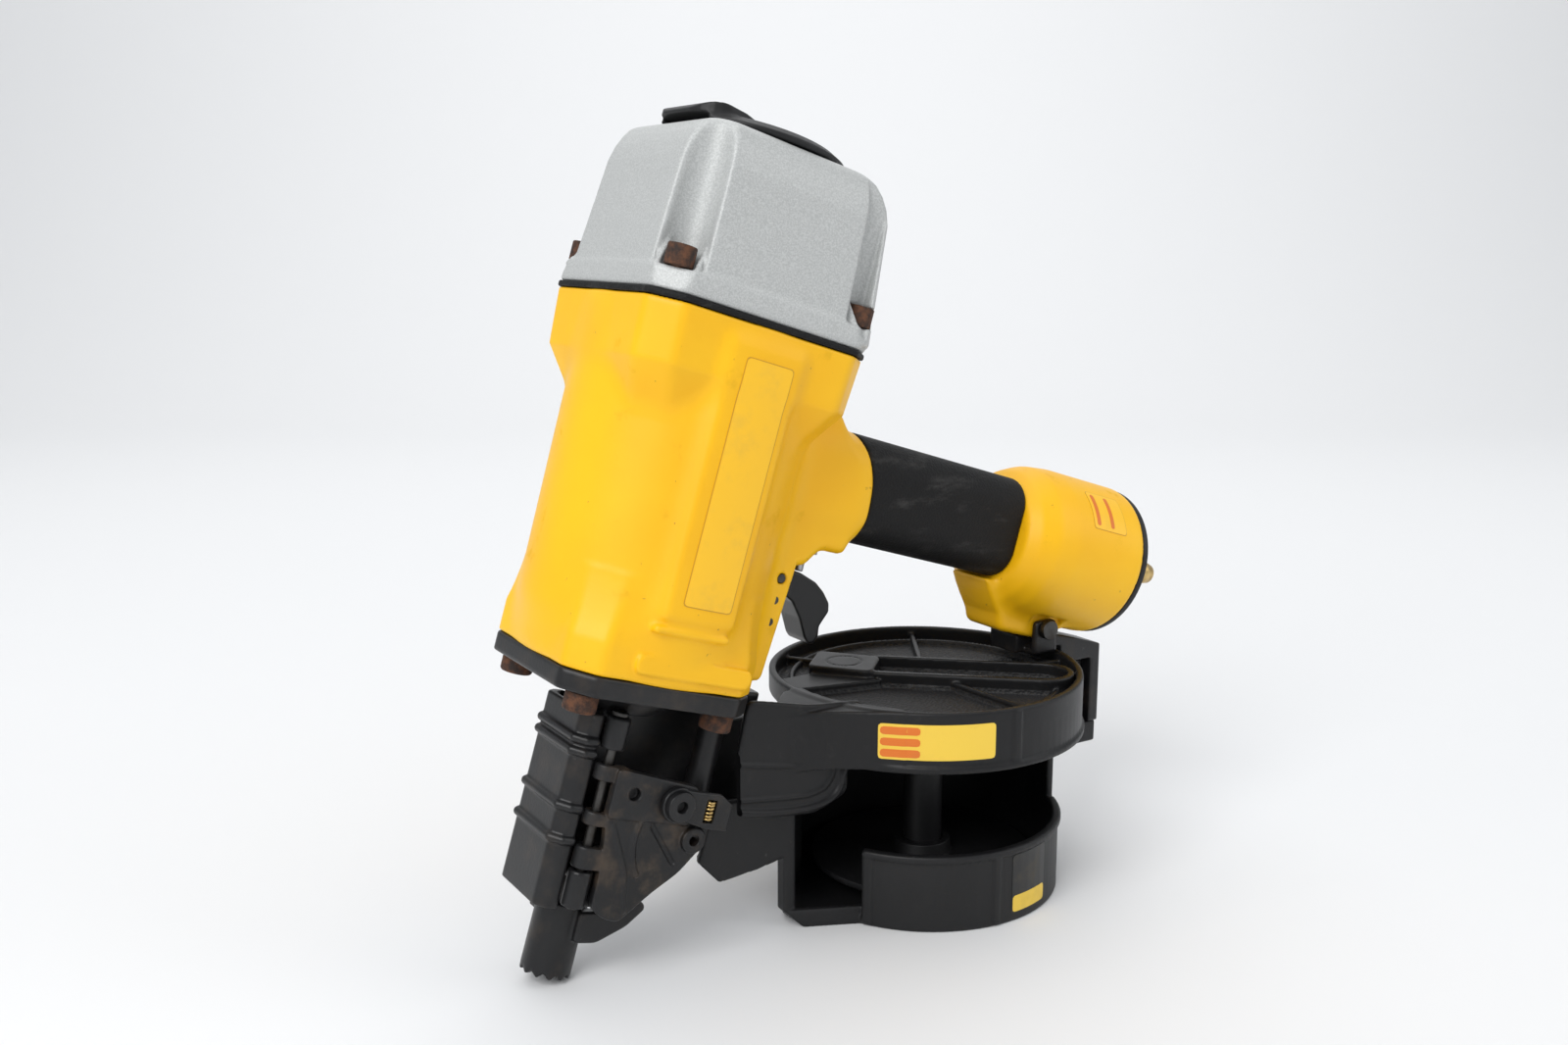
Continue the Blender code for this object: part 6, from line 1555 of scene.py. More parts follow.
@dataclass
class Nose:
    """Nose casting, guard, contact trip, door, latch and feed drive."""

    flange_low: float = 121.5
    hinge: Point = (-7.0, -21.0)
    latch: Point = (23.6, 81.8)
    door_eye: Point = (36.0, 67.5)
    trip_place: Point = (60.0, 16.6)
    feed_place: Point = (24.0, 72.0)
    guard_front: float = 21.5
    guard_half: float = 20.0
    guard_wall: float = 2.6
    tip_outer: float = 10.5
    tip_inner: float = 7.7
    trip_stroke: float = 12.0
    feed_stroke: float = 8.0
    valve_stroke: float = 6.0

    def casting(self) -> Solid:
        """Flange, hub, guide block, nozzle, chute wall, hinge knuckles, keeper and feed cylinder.

        Returns:
            The solid.
        """
        flange = square([(self.flange_low, 42.5), (129.7, 42.5)], CORNER_CUT, 1.6, 1.2)
        spigot = rod(35.7, 128.0, 137.7)
        hub = spun([(0.0, 112.0), (17.0, 112.0), (30.0, 122.5), (0.0, 122.5)])
        guide = block((-11.0, -9.0, 45.0), (9.0, 12.5, 114.0), 1.0)
        nozzle = rod(7.4, 13.0, 48.0)
        wall = rounded([(-1.0, 46.0), (24.0, 46.0), (50.0, 62.0), (50.0, 113.0), (-1.0, 113.0)], 3.0)
        plate = prism(wall, 8.0, 12.0, Axis.V)
        knuckles = rod(4.8, 35.0, 50.0, self.hinge) | rod(4.8, 99.0, 112.0, self.hinge)
        arms = union([
            block((-10.5, -21.0, low), (-3.5, -8.0, high)) for low, high in ((45.5, 49.8), (99.2, 111.8))
        ])
        keeper = rod(5.5, 73.5, 123.0, (40.0, -14.0))
        ear = prism(rounded([(34.5, 10.6), (65.0, 10.6), (65.0, 22.6), (34.5, 22.6)], 3.0), 122.0, 126.5)
        web = block((-6.0, -20.5, 34.5), (9.0, -17.0, 50.0), 0.8)
        plan = rounded([(38.0, -23.0), (57.0, -19.0), (59.0, 19.0), (38.0, 23.0)], 4.0)
        shelf = prism(plan, 121.8, 129.2, Axis.W, 1.0)
        feed = rod(10.0, 14.0, 47.0, self.feed_place, Axis.U, 1.5)
        saddle = block((15.0, 11.0, 65.0), (46.0, 24.0, 79.0), 1.0)
        body = union([flange, spigot, guide, nozzle, plate, keeper, ear, web, shelf])
        body = body.join(hub, 2.0).join(knuckles | arms, 1.0).join(feed.join(saddle, 2.0), 1.5)
        return body - self.drillings()

    def drillings(self) -> Solid:
        """Bore, nail slot, pin and rod holes, feed cylinder and bolt holes of the casting.

        Returns:
            The solid.
        """
        bore = rod(4.2, 8.0, 143.0, edge=0.1) | block((0.0, -14.0, 46.0), (14.0, 4.0, 111.0), 0.3)
        pin = rod(2.3, 30.0, 113.0, self.hinge, edge=0.1) | rod(3.7, 112.0, 114.5, self.hinge, edge=0.1)
        trip = rod(2.5, 117.0, 132.0, self.trip_place, edge=0.1)
        cylinder = rod(7.0, 18.0, 52.0, self.feed_place, Axis.U)
        window = block((19.0, 3.0, 68.7), (42.0, 24.0, 75.3), 0.3)
        bolts = union([rod(3.7, 116.0, 135.0, place) for place in corner_places(NOSE_BOLT)])
        return union([bore, pin, trip, cylinder, window, bolts])

    def guard_line(self, grow: float, back: float) -> Points:
        """Outline of the guard, open at the back, grown outwards or drawn in.

        Args:
            grow: how far it is grown.
            back: the u of its open ends.

        Returns:
            The outline.
        """
        front, side, cut = -self.guard_front - grow, self.guard_half + grow, 4.0
        return [
            (back, -side), (front + cut, -side), (front, -side + cut), (front, side - cut),
            (front + cut, side), (back, side),
        ]

    def guard(self) -> Solid:
        """U-shaped cover with raised beads and two seating ribs.

        Returns:
            The solid.
        """
        body = prism(rounded(self.guard_line(0.0, -12.3), 1.2), 33.0, 111.4, Axis.W, 0.8)
        line = self.guard_line(-0.2, -13.8)
        for level in (60.5, 73.5, 95.5, 100.4):
            body = body.join(bead([(u, v, level) for u, v in line], 1.9), 0.5)
        body = body - prism(self.guard_line(-self.guard_wall, -5.0), 28.0, 117.0, Axis.W, 0.1)
        ribs = [block((-20.5, side, 47.0), (-11.3, side + 2.6, 107.4), 0.3) for side in (-7.6, 5.0)]
        return union([body, *ribs])

    def trip(self) -> Solid:
        """Toothed tip tube with its foot and the bar on the far side.

        The teeth are cut by a wave of twelve peaks round the tube: height times half of one plus a cosine.

        Returns:
            The solid.
        """
        hollow = rod(self.tip_inner, -5.0, 40.0, edge=0.1)
        tube = rod(self.tip_outer, 0.0, 31.0, edge=0.5) - hollow
        teeth = Solid(lambda x, y, z: (z - 1.9 * (0.5 + 0.5 * np.cos(12.0 * np.arctan2(y, x)))) * 0.6)
        bar = block((-6.0, 8.3, 22.0), (6.0, 16.1, 30.5)) | block((-5.5, 13.0, 23.0), (5.5, 16.6, 99.0))
        strap = block((0.0, 13.2, 92.0), (65.2, 19.2, 98.8))
        foot = rounded([
            (2.0, 17.0), (12.0, 17.5), (24.0, 25.0), (31.0, 33.0), (29.0, 36.0), (10.0, 30.5), (2.0, 30.0),
        ], 2.0)
        heel = prism(foot, -14.0, -8.3, Axis.V, 1.0)
        return tube.carve(teeth, 0.3).join(bar | strap, 1.0).join(heel, 1.5) - hollow

    def door(self) -> Solid:
        """Door strip and fan plate with curved rib, hinge knuckles and round boss.

        Returns:
            The solid.
        """
        edge = rounded([(-5.0, 73.0), (33.0, 73.0), (33.0, 89.0), (-5.0, 93.0)], 2.0)
        strip = prism(edge, -28.0, -23.0, Axis.V, 0.7)
        fan = rounded([
            (-4.5, 75.0), (-1.5, 52.0), (-1.5, 36.5), (4.0, 32.5), (12.0, 31.0), (24.0, 44.0), (34.0, 53.0),
            (43.0, 66.0), (43.0, 74.0),
        ], 3.0)
        plate = prism(fan, -26.4, -22.4, Axis.V, 0.7)
        curve = [(u + 36.0, -26.2, w + 66.0) for u, w in arc(ORIGIN, 26.3, 150.0, 215.0, 10)]
        line = [(-1.0, -26.2, 70.0), (9.0, -26.2, 52.0), (13.0, -26.2, 36.0)]
        groove = [(17.0, -26.6, 71.0), (30.0, -26.6, 57.0)]
        boss = rod(5.4, -29.0, -23.4, self.door_eye, Axis.V, 0.8)
        body = strip.join(plate, 1.0).join(bead(curve, 1.4) | bead(line, 1.1), 0.8).join(boss, 1.0)
        body = body.carve(bead(groove, 1.3), 0.5)
        for low, high in ((51.0, 60.0), (68.5, 74.0), (86.5, 93.0)):
            leaf = block((-7.0, -25.9, low + 0.2), (1.0, -19.0, high - 0.2), 0.5)
            body = body.join(rod(4.8, low, high, self.hinge, edge=0.8) | leaf, 0.8)
        body = body | block((1.0, -25.4, 56.0), (8.0, -5.0, 89.0), 0.4)
        holes = [
            rod(2.3, 30.0, 120.0, self.hinge, edge=0.1), rod(3.3, -THROUGH, -10.0, self.latch, Axis.V, 0.1),
            rod(2.6, -THROUGH, -24.5, (4.5, 83.5), Axis.V, 0.1),
            rod(2.2, -THROUGH, -10.0, self.door_eye, Axis.V, 0.1),
        ]
        return body.carve(union(holes), 0.4)

    def latch_plate(self) -> Solid:
        """Latch lever: round eye and a framed tail for the brass spring.

        Returns:
            The solid.
        """
        eye = arc(self.latch, 7.4, 60.0, 300.0, 14)
        tail = [(38.5, 73.3), (48.5, 73.3), (48.5, 84.3), (42.5, 87.9), (33.5, 87.9)]
        window = block((36.15, -THROUGH, 75.9), (40.85, 0.0, 85.3), 0.3)
        lever = prism(eye + tail, -31.2, -28.3, Axis.V, 0.7).carve(window, 0.5)
        return lever - rod(3.3, -THROUGH, 0.0, self.latch, Axis.V, 0.1)

    def trip_rod(self) -> Array:
        """Path of the rod: six corners, with eight even parts between each two.

        Returns:
            Places along the rod.
        """
        u, v = self.trip_place
        corners = np.array([
            (u, v, 99.1), (u, v, 129.5), (u, 14.2, 133.5), (u, 2.5, 143.5), (u, 0.0, 147.5), (u, 0.0, 157.0),
        ])
        last = len(corners) - 1
        t = np.linspace(0.0, last, 8 * last + 1)
        return np.stack([np.interp(t, np.arange(last + 1), corners[:, i]) for i in range(3)], 1)

    def build(self, shop: Workshop) -> None:
        """Make the nose group.

        Args:
            shop: makes the pieces.
        """
        shop.cast("nosepiece", self.casting(), (-46.0, -46.0, 12.0), (66.0, 46.0, 139.0), 1.0)
        shop.cast("nose_guard", self.guard(), (-24.0, -23.0, 32.0), (-10.0, 23.0, 113.0), 0.7)
        shop.cast("contact_trip", self.trip(), (-12.0, -15.0, -1.0), (67.0, 21.0, 100.0), 0.7)
        shop.cast("nose_door", self.door(), (-13.0, -31.0, 30.0), (45.0, -3.0, 95.0), 0.6,
                  finish="grimy_casting")
        shop.cast("door_latch", self.latch_plate(), (15.0, -33.0, 70.0), (50.0, -27.0, 91.0), 0.5)
        shop.turn("latch_pin", [
            (0.0, -23.0), (3.0, -23.0), (3.0, -31.5), (6.6, -31.5), (6.1, -33.9), (2.4, -33.9), (2.4, -30.5),
            (0.0, -30.5),
        ], Axis.V, self.latch, 36, 0.4)
        shop.bend("latch_spring", helix((38.5, -29.75), 1.6, 76.7, 84.5, 6, Axis.W), 0.45, 10)
        shop.turn("door_hinge_pin", [
            (0.0, 34.0), (2.0, 34.0), (2.0, 112.3), (3.4, 112.3), (3.4, 113.9), (0.0, 113.9),
        ], Axis.W, self.hinge, 24, 0.3, finish="dark_steel")
        seat = self.flange_low - GAP
        for index, place in enumerate(corner_places(NOSE_BOLT)):
            shop.turn(f"nose_bolt_{index + 1}", [
                (0.0, seat - 7.5), (5.8, seat - 7.5), (6.6, seat - 6.7), (6.6, seat), (3.4, seat),
                (3.4, 142.0), (0.0, 142.0),
            ], Axis.W, place, 28, 0.5)
        shop.bend("trip_rod", self.trip_rod(), 2.2, 16)
        self.springs(shop)

    def springs(self, shop: Workshop) -> None:
        """Make the springs, measure each one from its seat and give each a mesh of its own.

        Args:
            shop: makes the pieces.
        """
        trip = shop.bend("trip_spring", helix(self.trip_place, 3.2, 99.8, 120.5, 6, Axis.W), 0.7, 10)
        feed = shop.bend("feed_spring", helix(self.feed_place, 4.6, 29.9, 43.1, 5, Axis.U), 0.6, 10)
        valve = shop.frame["nodes"]["head_valve_spring"]
        shop.press(trip, Axis.W, (*self.trip_place, 121.2), self.trip_stroke)
        shop.press(feed, Axis.U, (43.7, *self.feed_place), self.feed_stroke)
        shop.press(valve, Axis.W, (0.0, 0.0, 317.0), self.valve_stroke)


@dataclass
class Trigger:
    """Finger trigger on its pin."""

    half: float = 8.5
    pin_half: float = 20.0

    def solid(self) -> Solid:
        """Cheek boss and curved finger strip, hollow on top; the outline is drawn about the pivot.

        Returns:
            The solid.
        """
        boss = arc(ORIGIN, 3.2, 100.0, 250.0, 6)
        finger = [
            (8.5, -6.2), (16.5, -9.7), (22.5, -16.2), (27.5, -24.1), (29.8, -26.1), (32.5, -25.7),
            (34.1, -22.2), (33.3, -17.7), (36.3, -10.7), (35.3, -7.0), (31.0, -2.7), (26.0, 0.5), (17.3, 3.1),
            (10.5, 3.9),
        ]
        pivot_u, pivot_w = TRIGGER_PIVOT
        outline = [(pivot_u + u, pivot_w + w) for u, w in rounded(boss + finger, 0.8, 2)]
        body = prism(outline, -self.half, self.half, Axis.V, 1.4)
        body = body - block((57.5, -6.3, 174.5), (68.5, 6.3, 192.0), 0.5)
        return body - rod(2.2, -THROUGH, THROUGH, TRIGGER_PIVOT, Axis.V, 0.1)

    def build(self, shop: Workshop) -> None:
        """Make the trigger group.

        Args:
            shop: makes the pieces.
        """
        shop.cast("trigger", self.solid(), (47.0, -10.0, 150.0), (90.0, 10.0, 183.0), 0.6,
                  finish="gloss_black")
        pin = pin_profile(1.9, -self.pin_half, self.pin_half)
        shop.turn("trigger_pin", pin, Axis.V, TRIGGER_PIVOT, 20, 0.3, finish="dark_steel")
        shop.turn("trigger_valve_stem", pin_profile(2.2, 181.0, 202.5), Axis.W, VALVE_PLACE, 20, 0.6)


@dataclass
class Magazine:
    """Fixed cup with chute, post and platform, the swinging cover and the rear bracket, in world sizes."""

    cup: float = 62.8
    cup_wall: float = 3.0
    near_height: float = 34.9
    far_height: float = 91.0
    near_start: float = 208.0
    near_end: float = 336.0
    far_end: float = 515.0
    gate: float = 50.3
    post: float = -86.0
    post_side: float = -15.0
    cover: float = 71.9
    cover_wall: float = 3.2
    top: float = 101.8
    deck: float = 94.5
    skirt: float = 75.6
    channel_half: float = 11.6
    arm_face: float = -28.0
    arm_corner: float = -62.0
    pin: float = 89.0

    def walls(self) -> Solid:
        """Floor, low near wall with rim and steps, and tall far wall of the cup.

        Returns:
            The solid.
        """
        inner, rim = self.cup - self.cup_wall, self.cup - self.cup_wall + 0.3
        low, high = self.near_start, self.near_end
        stepped = self.cup + 0.8
        return union([
            rod(self.cup, 0.0, 4.0, edge=1.2),
            prism(ring_part(self.cup, inner, low, high, 30), 2.0, self.near_height, Axis.W, 0.8),
            prism(ring_part(self.cup + 1.2, rim, low + 0.6, high, 30), 31.6, self.near_height, Axis.W, 0.9),
            prism(ring_part(stepped, rim, 262.5, 265.5, 4), 1.0, 34.0, Axis.W, 0.5),
            prism(ring_part(stepped, rim, low + 0.4, low + 5.0, 4), 1.0, 34.4, Axis.W, 0.5),
            prism(ring_part(self.cup, inner, high - 1.0, self.far_end, 40), 2.0, self.far_height, edge=0.8),
        ])

    def chute(self) -> Solid:
        """Floor tongue, posts, lip and plates that lead the nails to the nose.

        Returns:
            The solid.
        """
        turn = math.radians(self.near_start)
        start_x, start_y = self.cup * math.cos(turn), self.cup * math.sin(turn)
        post, side = self.post, self.post_side
        tongue = prism([
            (0.0, start_y), (start_x + 2.0, start_y), (post, side), (-71.0, 12.0), (0.0, 31.4),
        ], 0.0, 4.0)
        jamb = block((post, side, 2.0), (post + 6.0, side + 6.0, 61.5))
        far_jamb = block((-72.0, 8.2, 3.0), (-66.0, 11.8, 60.0))
        lip = prism([
            (start_x + 2.2, start_y + 0.2), (-85.8, side), (-85.0, side + 3.0),
            (start_x + 4.0, start_y + 3.0),
        ], 2.0, 8.0)
        far = prism([
            tool_place(self.gate, 55.0), (-68.5, 37.0), (-68.5, self.far_height),
            tool_place(self.gate, 107.0),
        ], 8.0, 12.0, Axis.V)
        end_x, end_y = arc(ORIGIN, self.cup, self.far_end, self.far_end, 1)[0]
        link = prism([
            (-71.0, 8.2), (-69.0, 8.2), (end_x + 6.0, end_y - 1.0), (end_x + 2.0, end_y + 1.0), (-71.0, 11.8),
        ], 3.0, 90.0)
        near = prism([
            tool_place(self.gate, 54.0), (-118.0, 29.0), (-100.0, 30.5), (-84.0, 33.0), (-84.0, 62.0),
            tool_place(self.gate, 80.0),
        ], side, side + 3.0, Axis.V)
        sill = prism([
            (-116.0, 29.8), (-100.0, 31.0), (-84.0, 33.4), (-84.0, 36.4), (-100.0, 34.0), (-116.0, 33.0),
        ], -14.0, 9.0, Axis.V, 0.4)
        return union([tongue, jamb, far_jamb, lip, far, link, near, sill])

    def canister(self) -> Solid:
        """Cup with its chute and hinge ear.

        Returns:
            The solid.
        """
        ear = block((self.cup - 2.0, -8.0, 49.5), (101.0, 8.0, 60.0), 1.0)
        bevel = prism([(-87.0, -1.0), (-77.0, -1.0), (-87.0, 9.0)], -70.0, 70.0, Axis.V, 0.1)
        body = (self.walls() | self.chute()).join(ear, 1.5)
        return body - bevel - rod(3.3, 44.0, 66.0, (self.pin, 0.0), edge=0.1)

    def channel(self, grow: float) -> Points:
        """Long round-ended outline across the deck.

        Args:
            grow: how far it is grown.

        Returns:
            The outline.
        """
        start, end = (-14.0, 13.0), (40.0, -35.0)
        turn = math.degrees(math.atan2(end[1] - start[1], end[0] - start[0]))
        radius = self.channel_half + grow
        return arc(end, radius, turn - 90, turn + 90, 12) + arc(start, radius, turn + 90, turn + 270, 12)

    def ribs(self, inner: float, low: float) -> Solid:
        """Hub, straight ribs from it to the rim, low ring and the raised corner beside the pad.

        Args:
            inner: where the ribs end.
            low: level they rise from.

        Returns:
            The solid.
        """
        parts = []
        for turn in (274.0, 58.0, 125.0, 345.0):
            c, s = math.cos(math.radians(turn)), math.sin(math.radians(turn))
            ends = ((15.0, 1.2), (inner, 1.2), (inner, -1.2), (15.0, -1.2))
            plan = [(out * c - side * s, out * s + side * c) for out, side in ends]
            parts.append(prism(plan, low, self.deck + 4.2, Axis.W, 0.8))
        corner = [(-66.5, 9.0), (-24.0, 0.5), (-30.0, 10.0), (-46.0, 26.0), (-62.0, 26.0)]
        ring_top = self.deck + 3.0
        ring = spun([(60.5, low), (62.5, low), (62.5, ring_top), (60.5, ring_top)], corner=0.5)
        return union([*parts, prism(corner, low, 98.8), rod(16.0, low, self.deck + 1.0), ring])

    def lid(self) -> Solid:
        """Deck with rim, ribs, channel and pad; skirt with lip; arm with beads; knuckle.

        Returns:
            The solid.
        """
        inner, low = self.cover - self.cover_wall, self.deck - 3.0
        rim = inner + 0.3
        body = spun([
            (0.0, low), (self.cover, low), (self.cover, self.top), (inner, self.top), (inner, self.deck),
            (0.0, self.deck),
        ], corner=0.9)
        body = body.join(self.ribs(inner, low), 1.2)
        skirt = prism(ring_part(self.cover, inner, 195.0, 350.0, 40), self.skirt, self.deck, Axis.W, 0.6)
        border = ring_part(self.cover + 1.2, rim, 206.0, 344.0, 36)
        lip = prism(border, self.skirt, self.skirt + 3.0, Axis.W, 0.8)
        step = prism(ring_part(self.cover + 0.7, rim, 264.0, 267.0, 4), self.skirt, self.top - 1.0, edge=0.5)
        body = (body | skirt).join(lip | step, 0.8)
        wall = prism(self.channel(3.2), self.deck - 1.0, self.top - 0.2, Axis.W, 0.8)
        body = body.join(wall, 0.8) - prism(self.channel(0.0), self.deck + 0.2, self.top + 5.0, Axis.W, 0.5)
        pad_top = self.top + 0.8
        pad = rounded([(-47.0, 27.0), (-28.0, 3.0), (-10.0, 21.0), (-29.0, 45.0)], 4.0)
        body = body.join(prism(pad, self.deck - 1.0, pad_top, Axis.W, 0.8), 0.8)
        coin = Solid(lambda x, y, z: np.hypot(np.hypot(x + 28.6, y - 24.0) - 8.0, z - self.top - 0.8) - 0.45)
        body = body.carve(coin, 0.3).join(self.arm() | self.sweep_in(), 1.2)
        neck = block((inner + 0.4, -5.5, 76.1), (self.pin, 5.5, 91.8)) | rod(6.0, 61.0, 92.0, (self.pin, 0.0))
        return body.join(neck, 1.0) - rod(3.3, 0.0, 97.0, (self.pin, 0.0), edge=0.1)

    def sweep_in(self) -> Solid:
        """Hollow quadratic curve that leads the skirt into the arm's plate, touching both.

        Returns:
            The solid.
        """
        t = np.linspace(0.0, 1.0, 13)[:, None]
        angle = math.radians(226.0)
        first = self.cover * np.array([math.cos(angle), math.sin(angle)])
        face, back = self.arm_face - 0.2, -25.2
        middle, last = np.array([-74.6, face]), np.array([-92.0, face])
        curve = first * (1 - t) ** 2 + middle * 2 * t * (1 - t) + last * t ** 2
        plan = [*map(tuple, curve), (-92.0, back), (-60.0, back), (-46.0, -46.0)]
        return prism(plan, 76.0, 101.3, Axis.W, 0.6)

    def arm(self) -> Solid:
        """Plate towards the nose with a beaded, curving lower border, and its web on top.

        Returns:
            The solid.
        """
        (low_x, low_z), (high_x, high_z) = tool_place(49.4, 79.0), tool_place(45.4, 126.8)
        corner = self.arm_corner
        outline = rounded([
            (low_x, low_z), (-100.0, 58.0), (corner - 16.0, 56.0), (corner, 62.0), (corner, 75.9),
            (corner + 8.0, 75.9), (corner + 8.0, 101.5), (corner - 18.0, 103.8), (high_x, high_z),
        ], 4.0)
        plate = prism(outline, self.arm_face, self.arm_face + 3.0, Axis.V, 0.8)
        border = [
            (low_x + 2.0, low_z + 1.0), (-100.0, 60.5), (corner - 15.0, 58.5), (corner - 4.0, 63.0),
            (corner - 2.5, 74.0), (corner + 6.0, 78.0),
        ]
        inner = [
            (low_x + 6.0, low_z + 5.0), (-97.0, 66.5), (corner - 18.0, 64.5), (corner - 9.0, 68.0),
            (corner - 6.0, 80.0), (corner + 4.0, 84.0),
        ]
        upper = [(-118.0, 85.0), (-104.0, 82.0), (-92.0, 79.5), (-78.0, 77.5)]
        trims = union([
            bead([(x, self.arm_face - proud, z) for x, z in rounded_line(line)], radius)
            for line, proud, radius in ((upper, 0.2, 0.9), (border, 0.0, 1.5), (inner, 0.0, 1.0))
        ])
        web = prism([
            (high_x + 14.0, -27.0), (-60.2, -27.0), (-63.8, -17.1), (-65.7, -5.8), (-66.0, 3.0), (-76.0, 2.0),
            (-87.0, -10.0),
        ], 91.7, 101.4)
        return plate.join(trims, 0.8) | web

    def bracket(self) -> Solid:
        """Wedge under the housing lug, ears for its bolt, and a leg down to the cup's ear.

        Returns:
            The solid.
        """
        leg, end = 95.3, 101.3
        front, under = tool_place(196.0, 174.0)
        side = rounded([
            (front, 102.4), (front, under), tool_place(213.0, 174.0), tool_place(222.0, 178.0), (85.4, 104.5),
            (end, 99.5), (end, 60.3), (leg, 60.3), (leg, 93.0), (75.4, 93.0), (75.4, 102.4),
        ], 0.8)
        bolt_x, bolt_z = tool_place(*BRACKET_BOLT)
        ear = rounded([
            (bolt_x - 7.0, 102.6), (bolt_x + 7.0, 102.6), (bolt_x + 6.0, bolt_z + 4.0),
            (bolt_x - 6.0, bolt_z + 4.0),
        ], 2.0)
        foot = block((bolt_x - 6.8, -16.2, 102.5), (bolt_x + 6.8, 16.2, 105.0), 0.4)
        body = prism(side, -9.0, 9.0, Axis.V, 0.8).join(both_sides(ear, 13.3, 16.3) | foot, 0.8)
        cross = rod(2.8, -THROUGH, THROUGH, (bolt_x, bolt_z), Axis.V, 0.1)
        return body - cross - rod(3.3, 88.0, 98.3, (self.pin, 0.0), edge=0.1)

    def films(self, shop: Workshop, cup: Solid, lid: Solid) -> None:
        """Lay blank films round the cover's skirt and the cup.

        Args:
            shop: makes the pieces.
            cup: the cup's shape.
            lid: the cover's shape.
        """
        def round_at(middle: float, level: float, radius: float) -> Flat:
            """Places round an upright cylinder: a runs along its girth, b upwards."""
            def lay(a: Array, b: Array) -> Array:
                """Sheet place to world place."""
                angle = math.radians(middle) + a / radius
                return np.stack([radius * np.cos(angle), radius * np.sin(angle), level + b], 1)
            return lay

        world = Stance.WORLD
        skirt = round_at(237.0, 89.2, self.cover)
        shop.stick("magazine_cover", "skirt_film", (50.0, 15.5), skirt, lid, "film_pale", 0.18, world)
        for index in range(3):
            band = round_at(224.5, 94.0 - 4.9 * index, self.cover)
            name = f"skirt_film_band_{index + 1}"
            shop.stick("magazine_cover", name, (17.0, 3.4), band, lid, "film_orange", 0.28, world)
        panel, band = round_at(282.0, 17.5, self.cup), round_at(282.0, 8.2, self.cup)
        shop.stick("magazine_canister", "cup_film", (23.0, 27.0), panel, cup, "film_black", 0.18, world)
        shop.stick("magazine_canister", "cup_film_band", (22.0, 7.6), band, cup, "film_pale", 0.28, world)

    def build(self, shop: Workshop) -> None:
        """Make the magazine group.

        Args:
            shop: makes the pieces.
        """
        world = Stance.WORLD
        cup, lid = self.canister(), self.lid()
        shop.cast("magazine_canister", cup, (-130.0, -65.0, -0.5), (103.0, 65.0, 93.0), 1.06, world)
        shop.cast("magazine_cover", lid, (-114.0, -74.0, 50.0), (97.0, 74.0, 113.0), 0.95, world,
                  "deck_black")
        self.films(shop, cup, lid)
        shop.cast("rear_bracket", self.bracket(), (38.0, -18.0, 58.0), (103.0, 18.0, 116.0), 0.8, world)
        shop.turn("nail_post", [
            (0.0, 4.3), (12.0, 4.3), (12.0, 6.5), (9.0, 7.5), (9.0, 86.0), (7.0, 88.0), (0.0, 88.0),
        ], Axis.W, ORIGIN, 48, 0.6, world)
        shop.turn("nail_platform", [
            (9.3, 10.0), (52.0, 10.0), (52.0, 13.0), (14.0, 13.0), (13.0, 19.0), (9.3, 19.0),
        ], Axis.W, ORIGIN, 72, 0.5, world)
        shop.turn("magazine_hinge_pin", pin_profile(3.0, 49.5, 98.0), Axis.W, (self.pin, 0.0), 24, 0.3, world)
        shop.turn("bracket_bolt", [
            (0.0, -19.6), (4.6, -19.6), (4.6, -16.6), (2.5, -16.6), (2.5, 16.6), (0.0, 16.6),
        ], Axis.V, BRACKET_BOLT, 24, 0.4, finish="dark_steel")


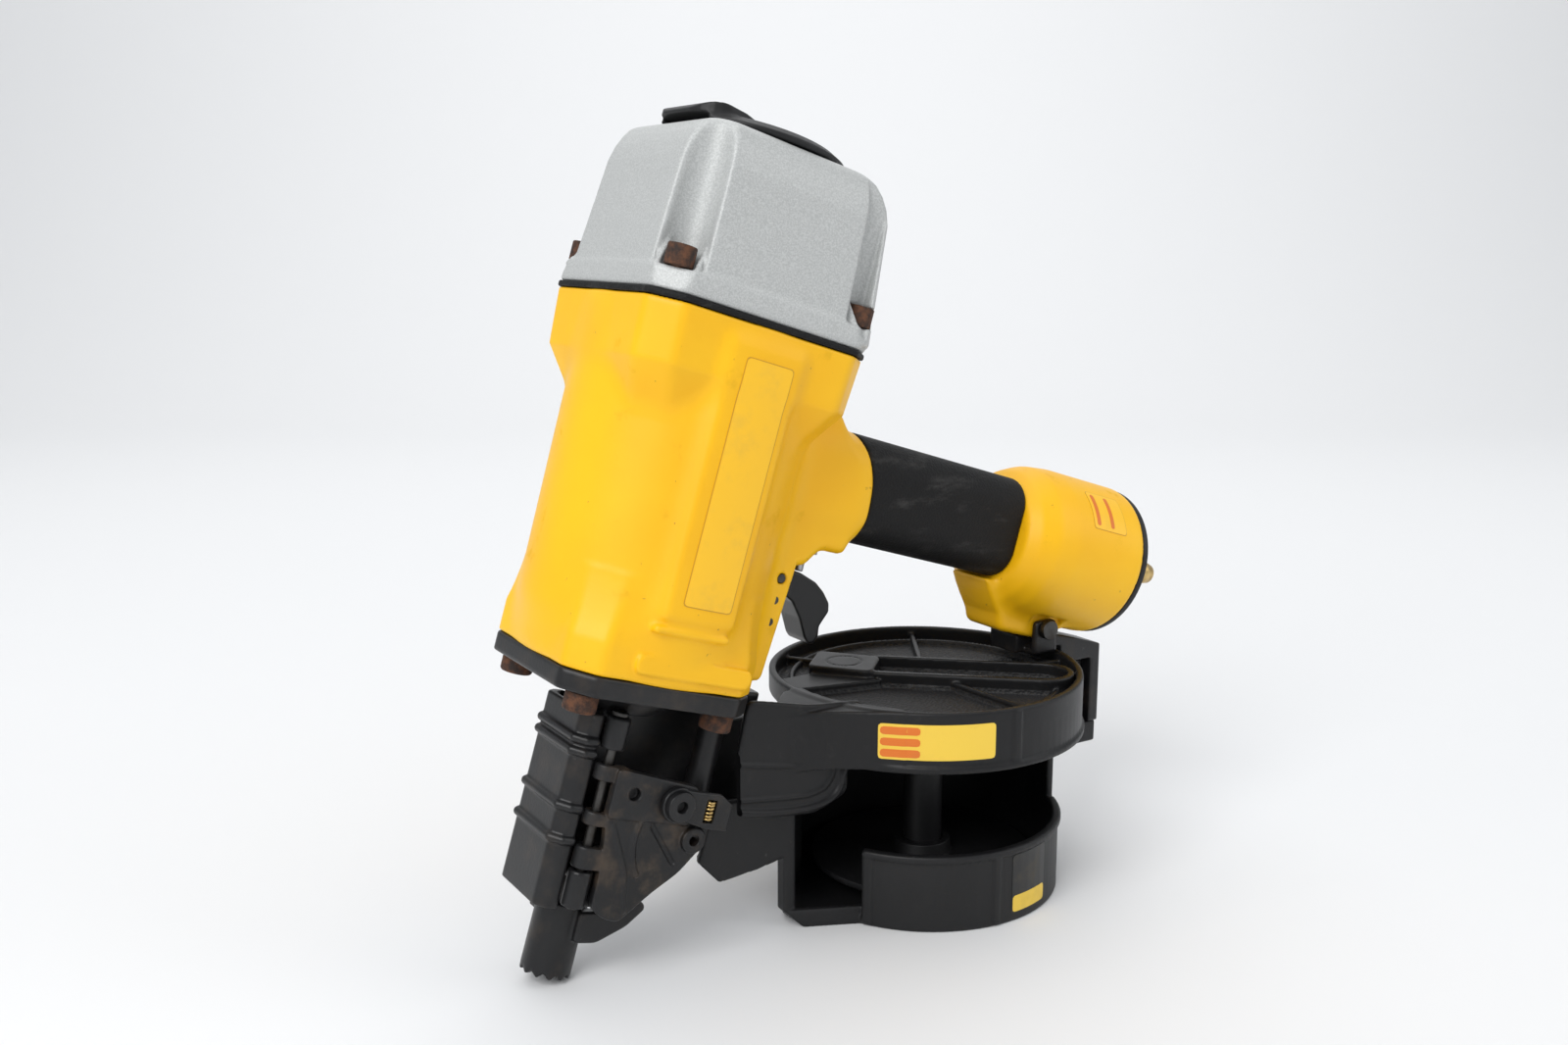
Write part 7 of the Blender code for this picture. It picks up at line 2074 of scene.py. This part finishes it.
@dataclass
class Studio:
    """Pale seamless sweep, soft lights and the camera of the photograph, in metres and degrees."""

    camera_at: tuple[float, float, float] = (-0.4110, -0.5307, 0.2971)
    yaw: float = 32.33
    pitch: float = 10.94
    lens: float = 34.53
    sensor: float = 36.0
    shift: Point = (-0.0020, 0.0012)
    floor_colour: Colour = (0.82, 0.822, 0.825)
    sky_colour: Colour = (0.93, 0.96, 1.0)
    sky_strength: float = 0.50
    aim: tuple[float, float, float] = (-0.05, 0.0, 0.16)
    wall_aim: tuple[float, float, float] = (1.6, 2.6, 1.9)

    def sweep(self) -> None:
        """Floor that curves up into a wall behind the tool: a line, a quarter circle and a line."""
        bend = np.radians(np.linspace(0.0, 90.0, 25))
        back, radius = 1.6, 1.2
        run = np.concatenate([[-6.0, -2.0, 0.5], back + radius * np.sin(bend), [back + radius]])
        rise = np.concatenate([[0.0, 0.0, 0.0], radius * (1 - np.cos(bend)), [6.0]])
        yaw = math.radians(self.yaw)
        across = np.linspace(-8.0, 8.0, 9)
        x = run[:, None] * math.sin(yaw) + across * math.cos(yaw)
        y = run[:, None] * math.cos(yaw) - across * math.sin(yaw)
        points = np.stack([x, y, np.broadcast_to(rise[:, None], x.shape)], -1).reshape(-1, 3)
        mesh = bpy.data.meshes.new("studio_sweep")
        mesh.from_pydata(points.tolist(), [], grid_quads(len(run), len(across), False, False, False).tolist())
        mesh.shade_smooth()
        floor = bpy.data.objects.new("studio_sweep", mesh)
        bpy.context.scene.collection.objects.link(floor)
        paper = Graph("studio_paper")
        mesh.materials.append(paper.done(Base_Color=self.floor_colour, Roughness=0.9))

    def light(self, name: str, at: Sequence[float], size: float, power: float, aim: Sequence[float]) -> None:
        """Add one soft square lamp.

        Args:
            name: its name.
            at: where it stands.
            size: length of its side.
            power: watts.
            aim: place that it points at.
        """
        data = bpy.data.lights.new(name, "AREA")
        data.size = size
        data.energy = power
        lamp = bpy.data.objects.new(name, data)
        lamp.location = at
        lamp.rotation_euler = (Vector(aim) - Vector(at)).to_track_quat("-Z", "Y").to_euler()
        bpy.context.scene.collection.objects.link(lamp)

    def camera(self) -> None:
        """Stand the camera where the photograph was taken from."""
        data = bpy.data.cameras.new("photo_camera")
        data.lens = self.lens
        data.sensor_width = self.sensor
        data.clip_start = 0.01
        data.shift_x, data.shift_y = self.shift
        camera = bpy.data.objects.new("photo_camera", data)
        camera.location = self.camera_at
        camera.rotation_euler = (math.radians(90.0 - self.pitch), 0.0, math.radians(-self.yaw))
        bpy.context.scene.collection.objects.link(camera)
        bpy.context.scene.camera = camera

    def build(self) -> None:
        """Set the stage."""
        self.sweep()
        self.light("key", (-1.7, -0.9, 1.7), 1.4, 37.0, self.aim)
        self.light("fill", (1.5, -1.3, 1.1), 1.4, 8.5, self.aim)
        self.light("top", (0.1, 0.5, 2.2), 2.2, 17.0, self.aim)
        self.light("wall", (0.5, 0.9, 2.6), 1.6, 24.0, self.wall_aim)
        world = bpy.data.worlds.new("studio_world")
        bpy.context.scene.world = world
        world.use_nodes = True
        back = world.node_tree.nodes["Background"]
        back.inputs["Color"].default_value = (*self.sky_colour, 1.0)
        back.inputs["Strength"].default_value = self.sky_strength
        self.camera()
        bpy.context.scene.view_settings.view_transform = "Standard"


def main() -> None:
    """Build every group in order."""
    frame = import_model()
    shop = Workshop(frame)
    for group in (Housing(), Cap(), Nose(), Trigger(), Magazine()):
        group.build(shop)
    shop.dress_rest()
    Studio().build()


if __name__ == "__main__":
    main()
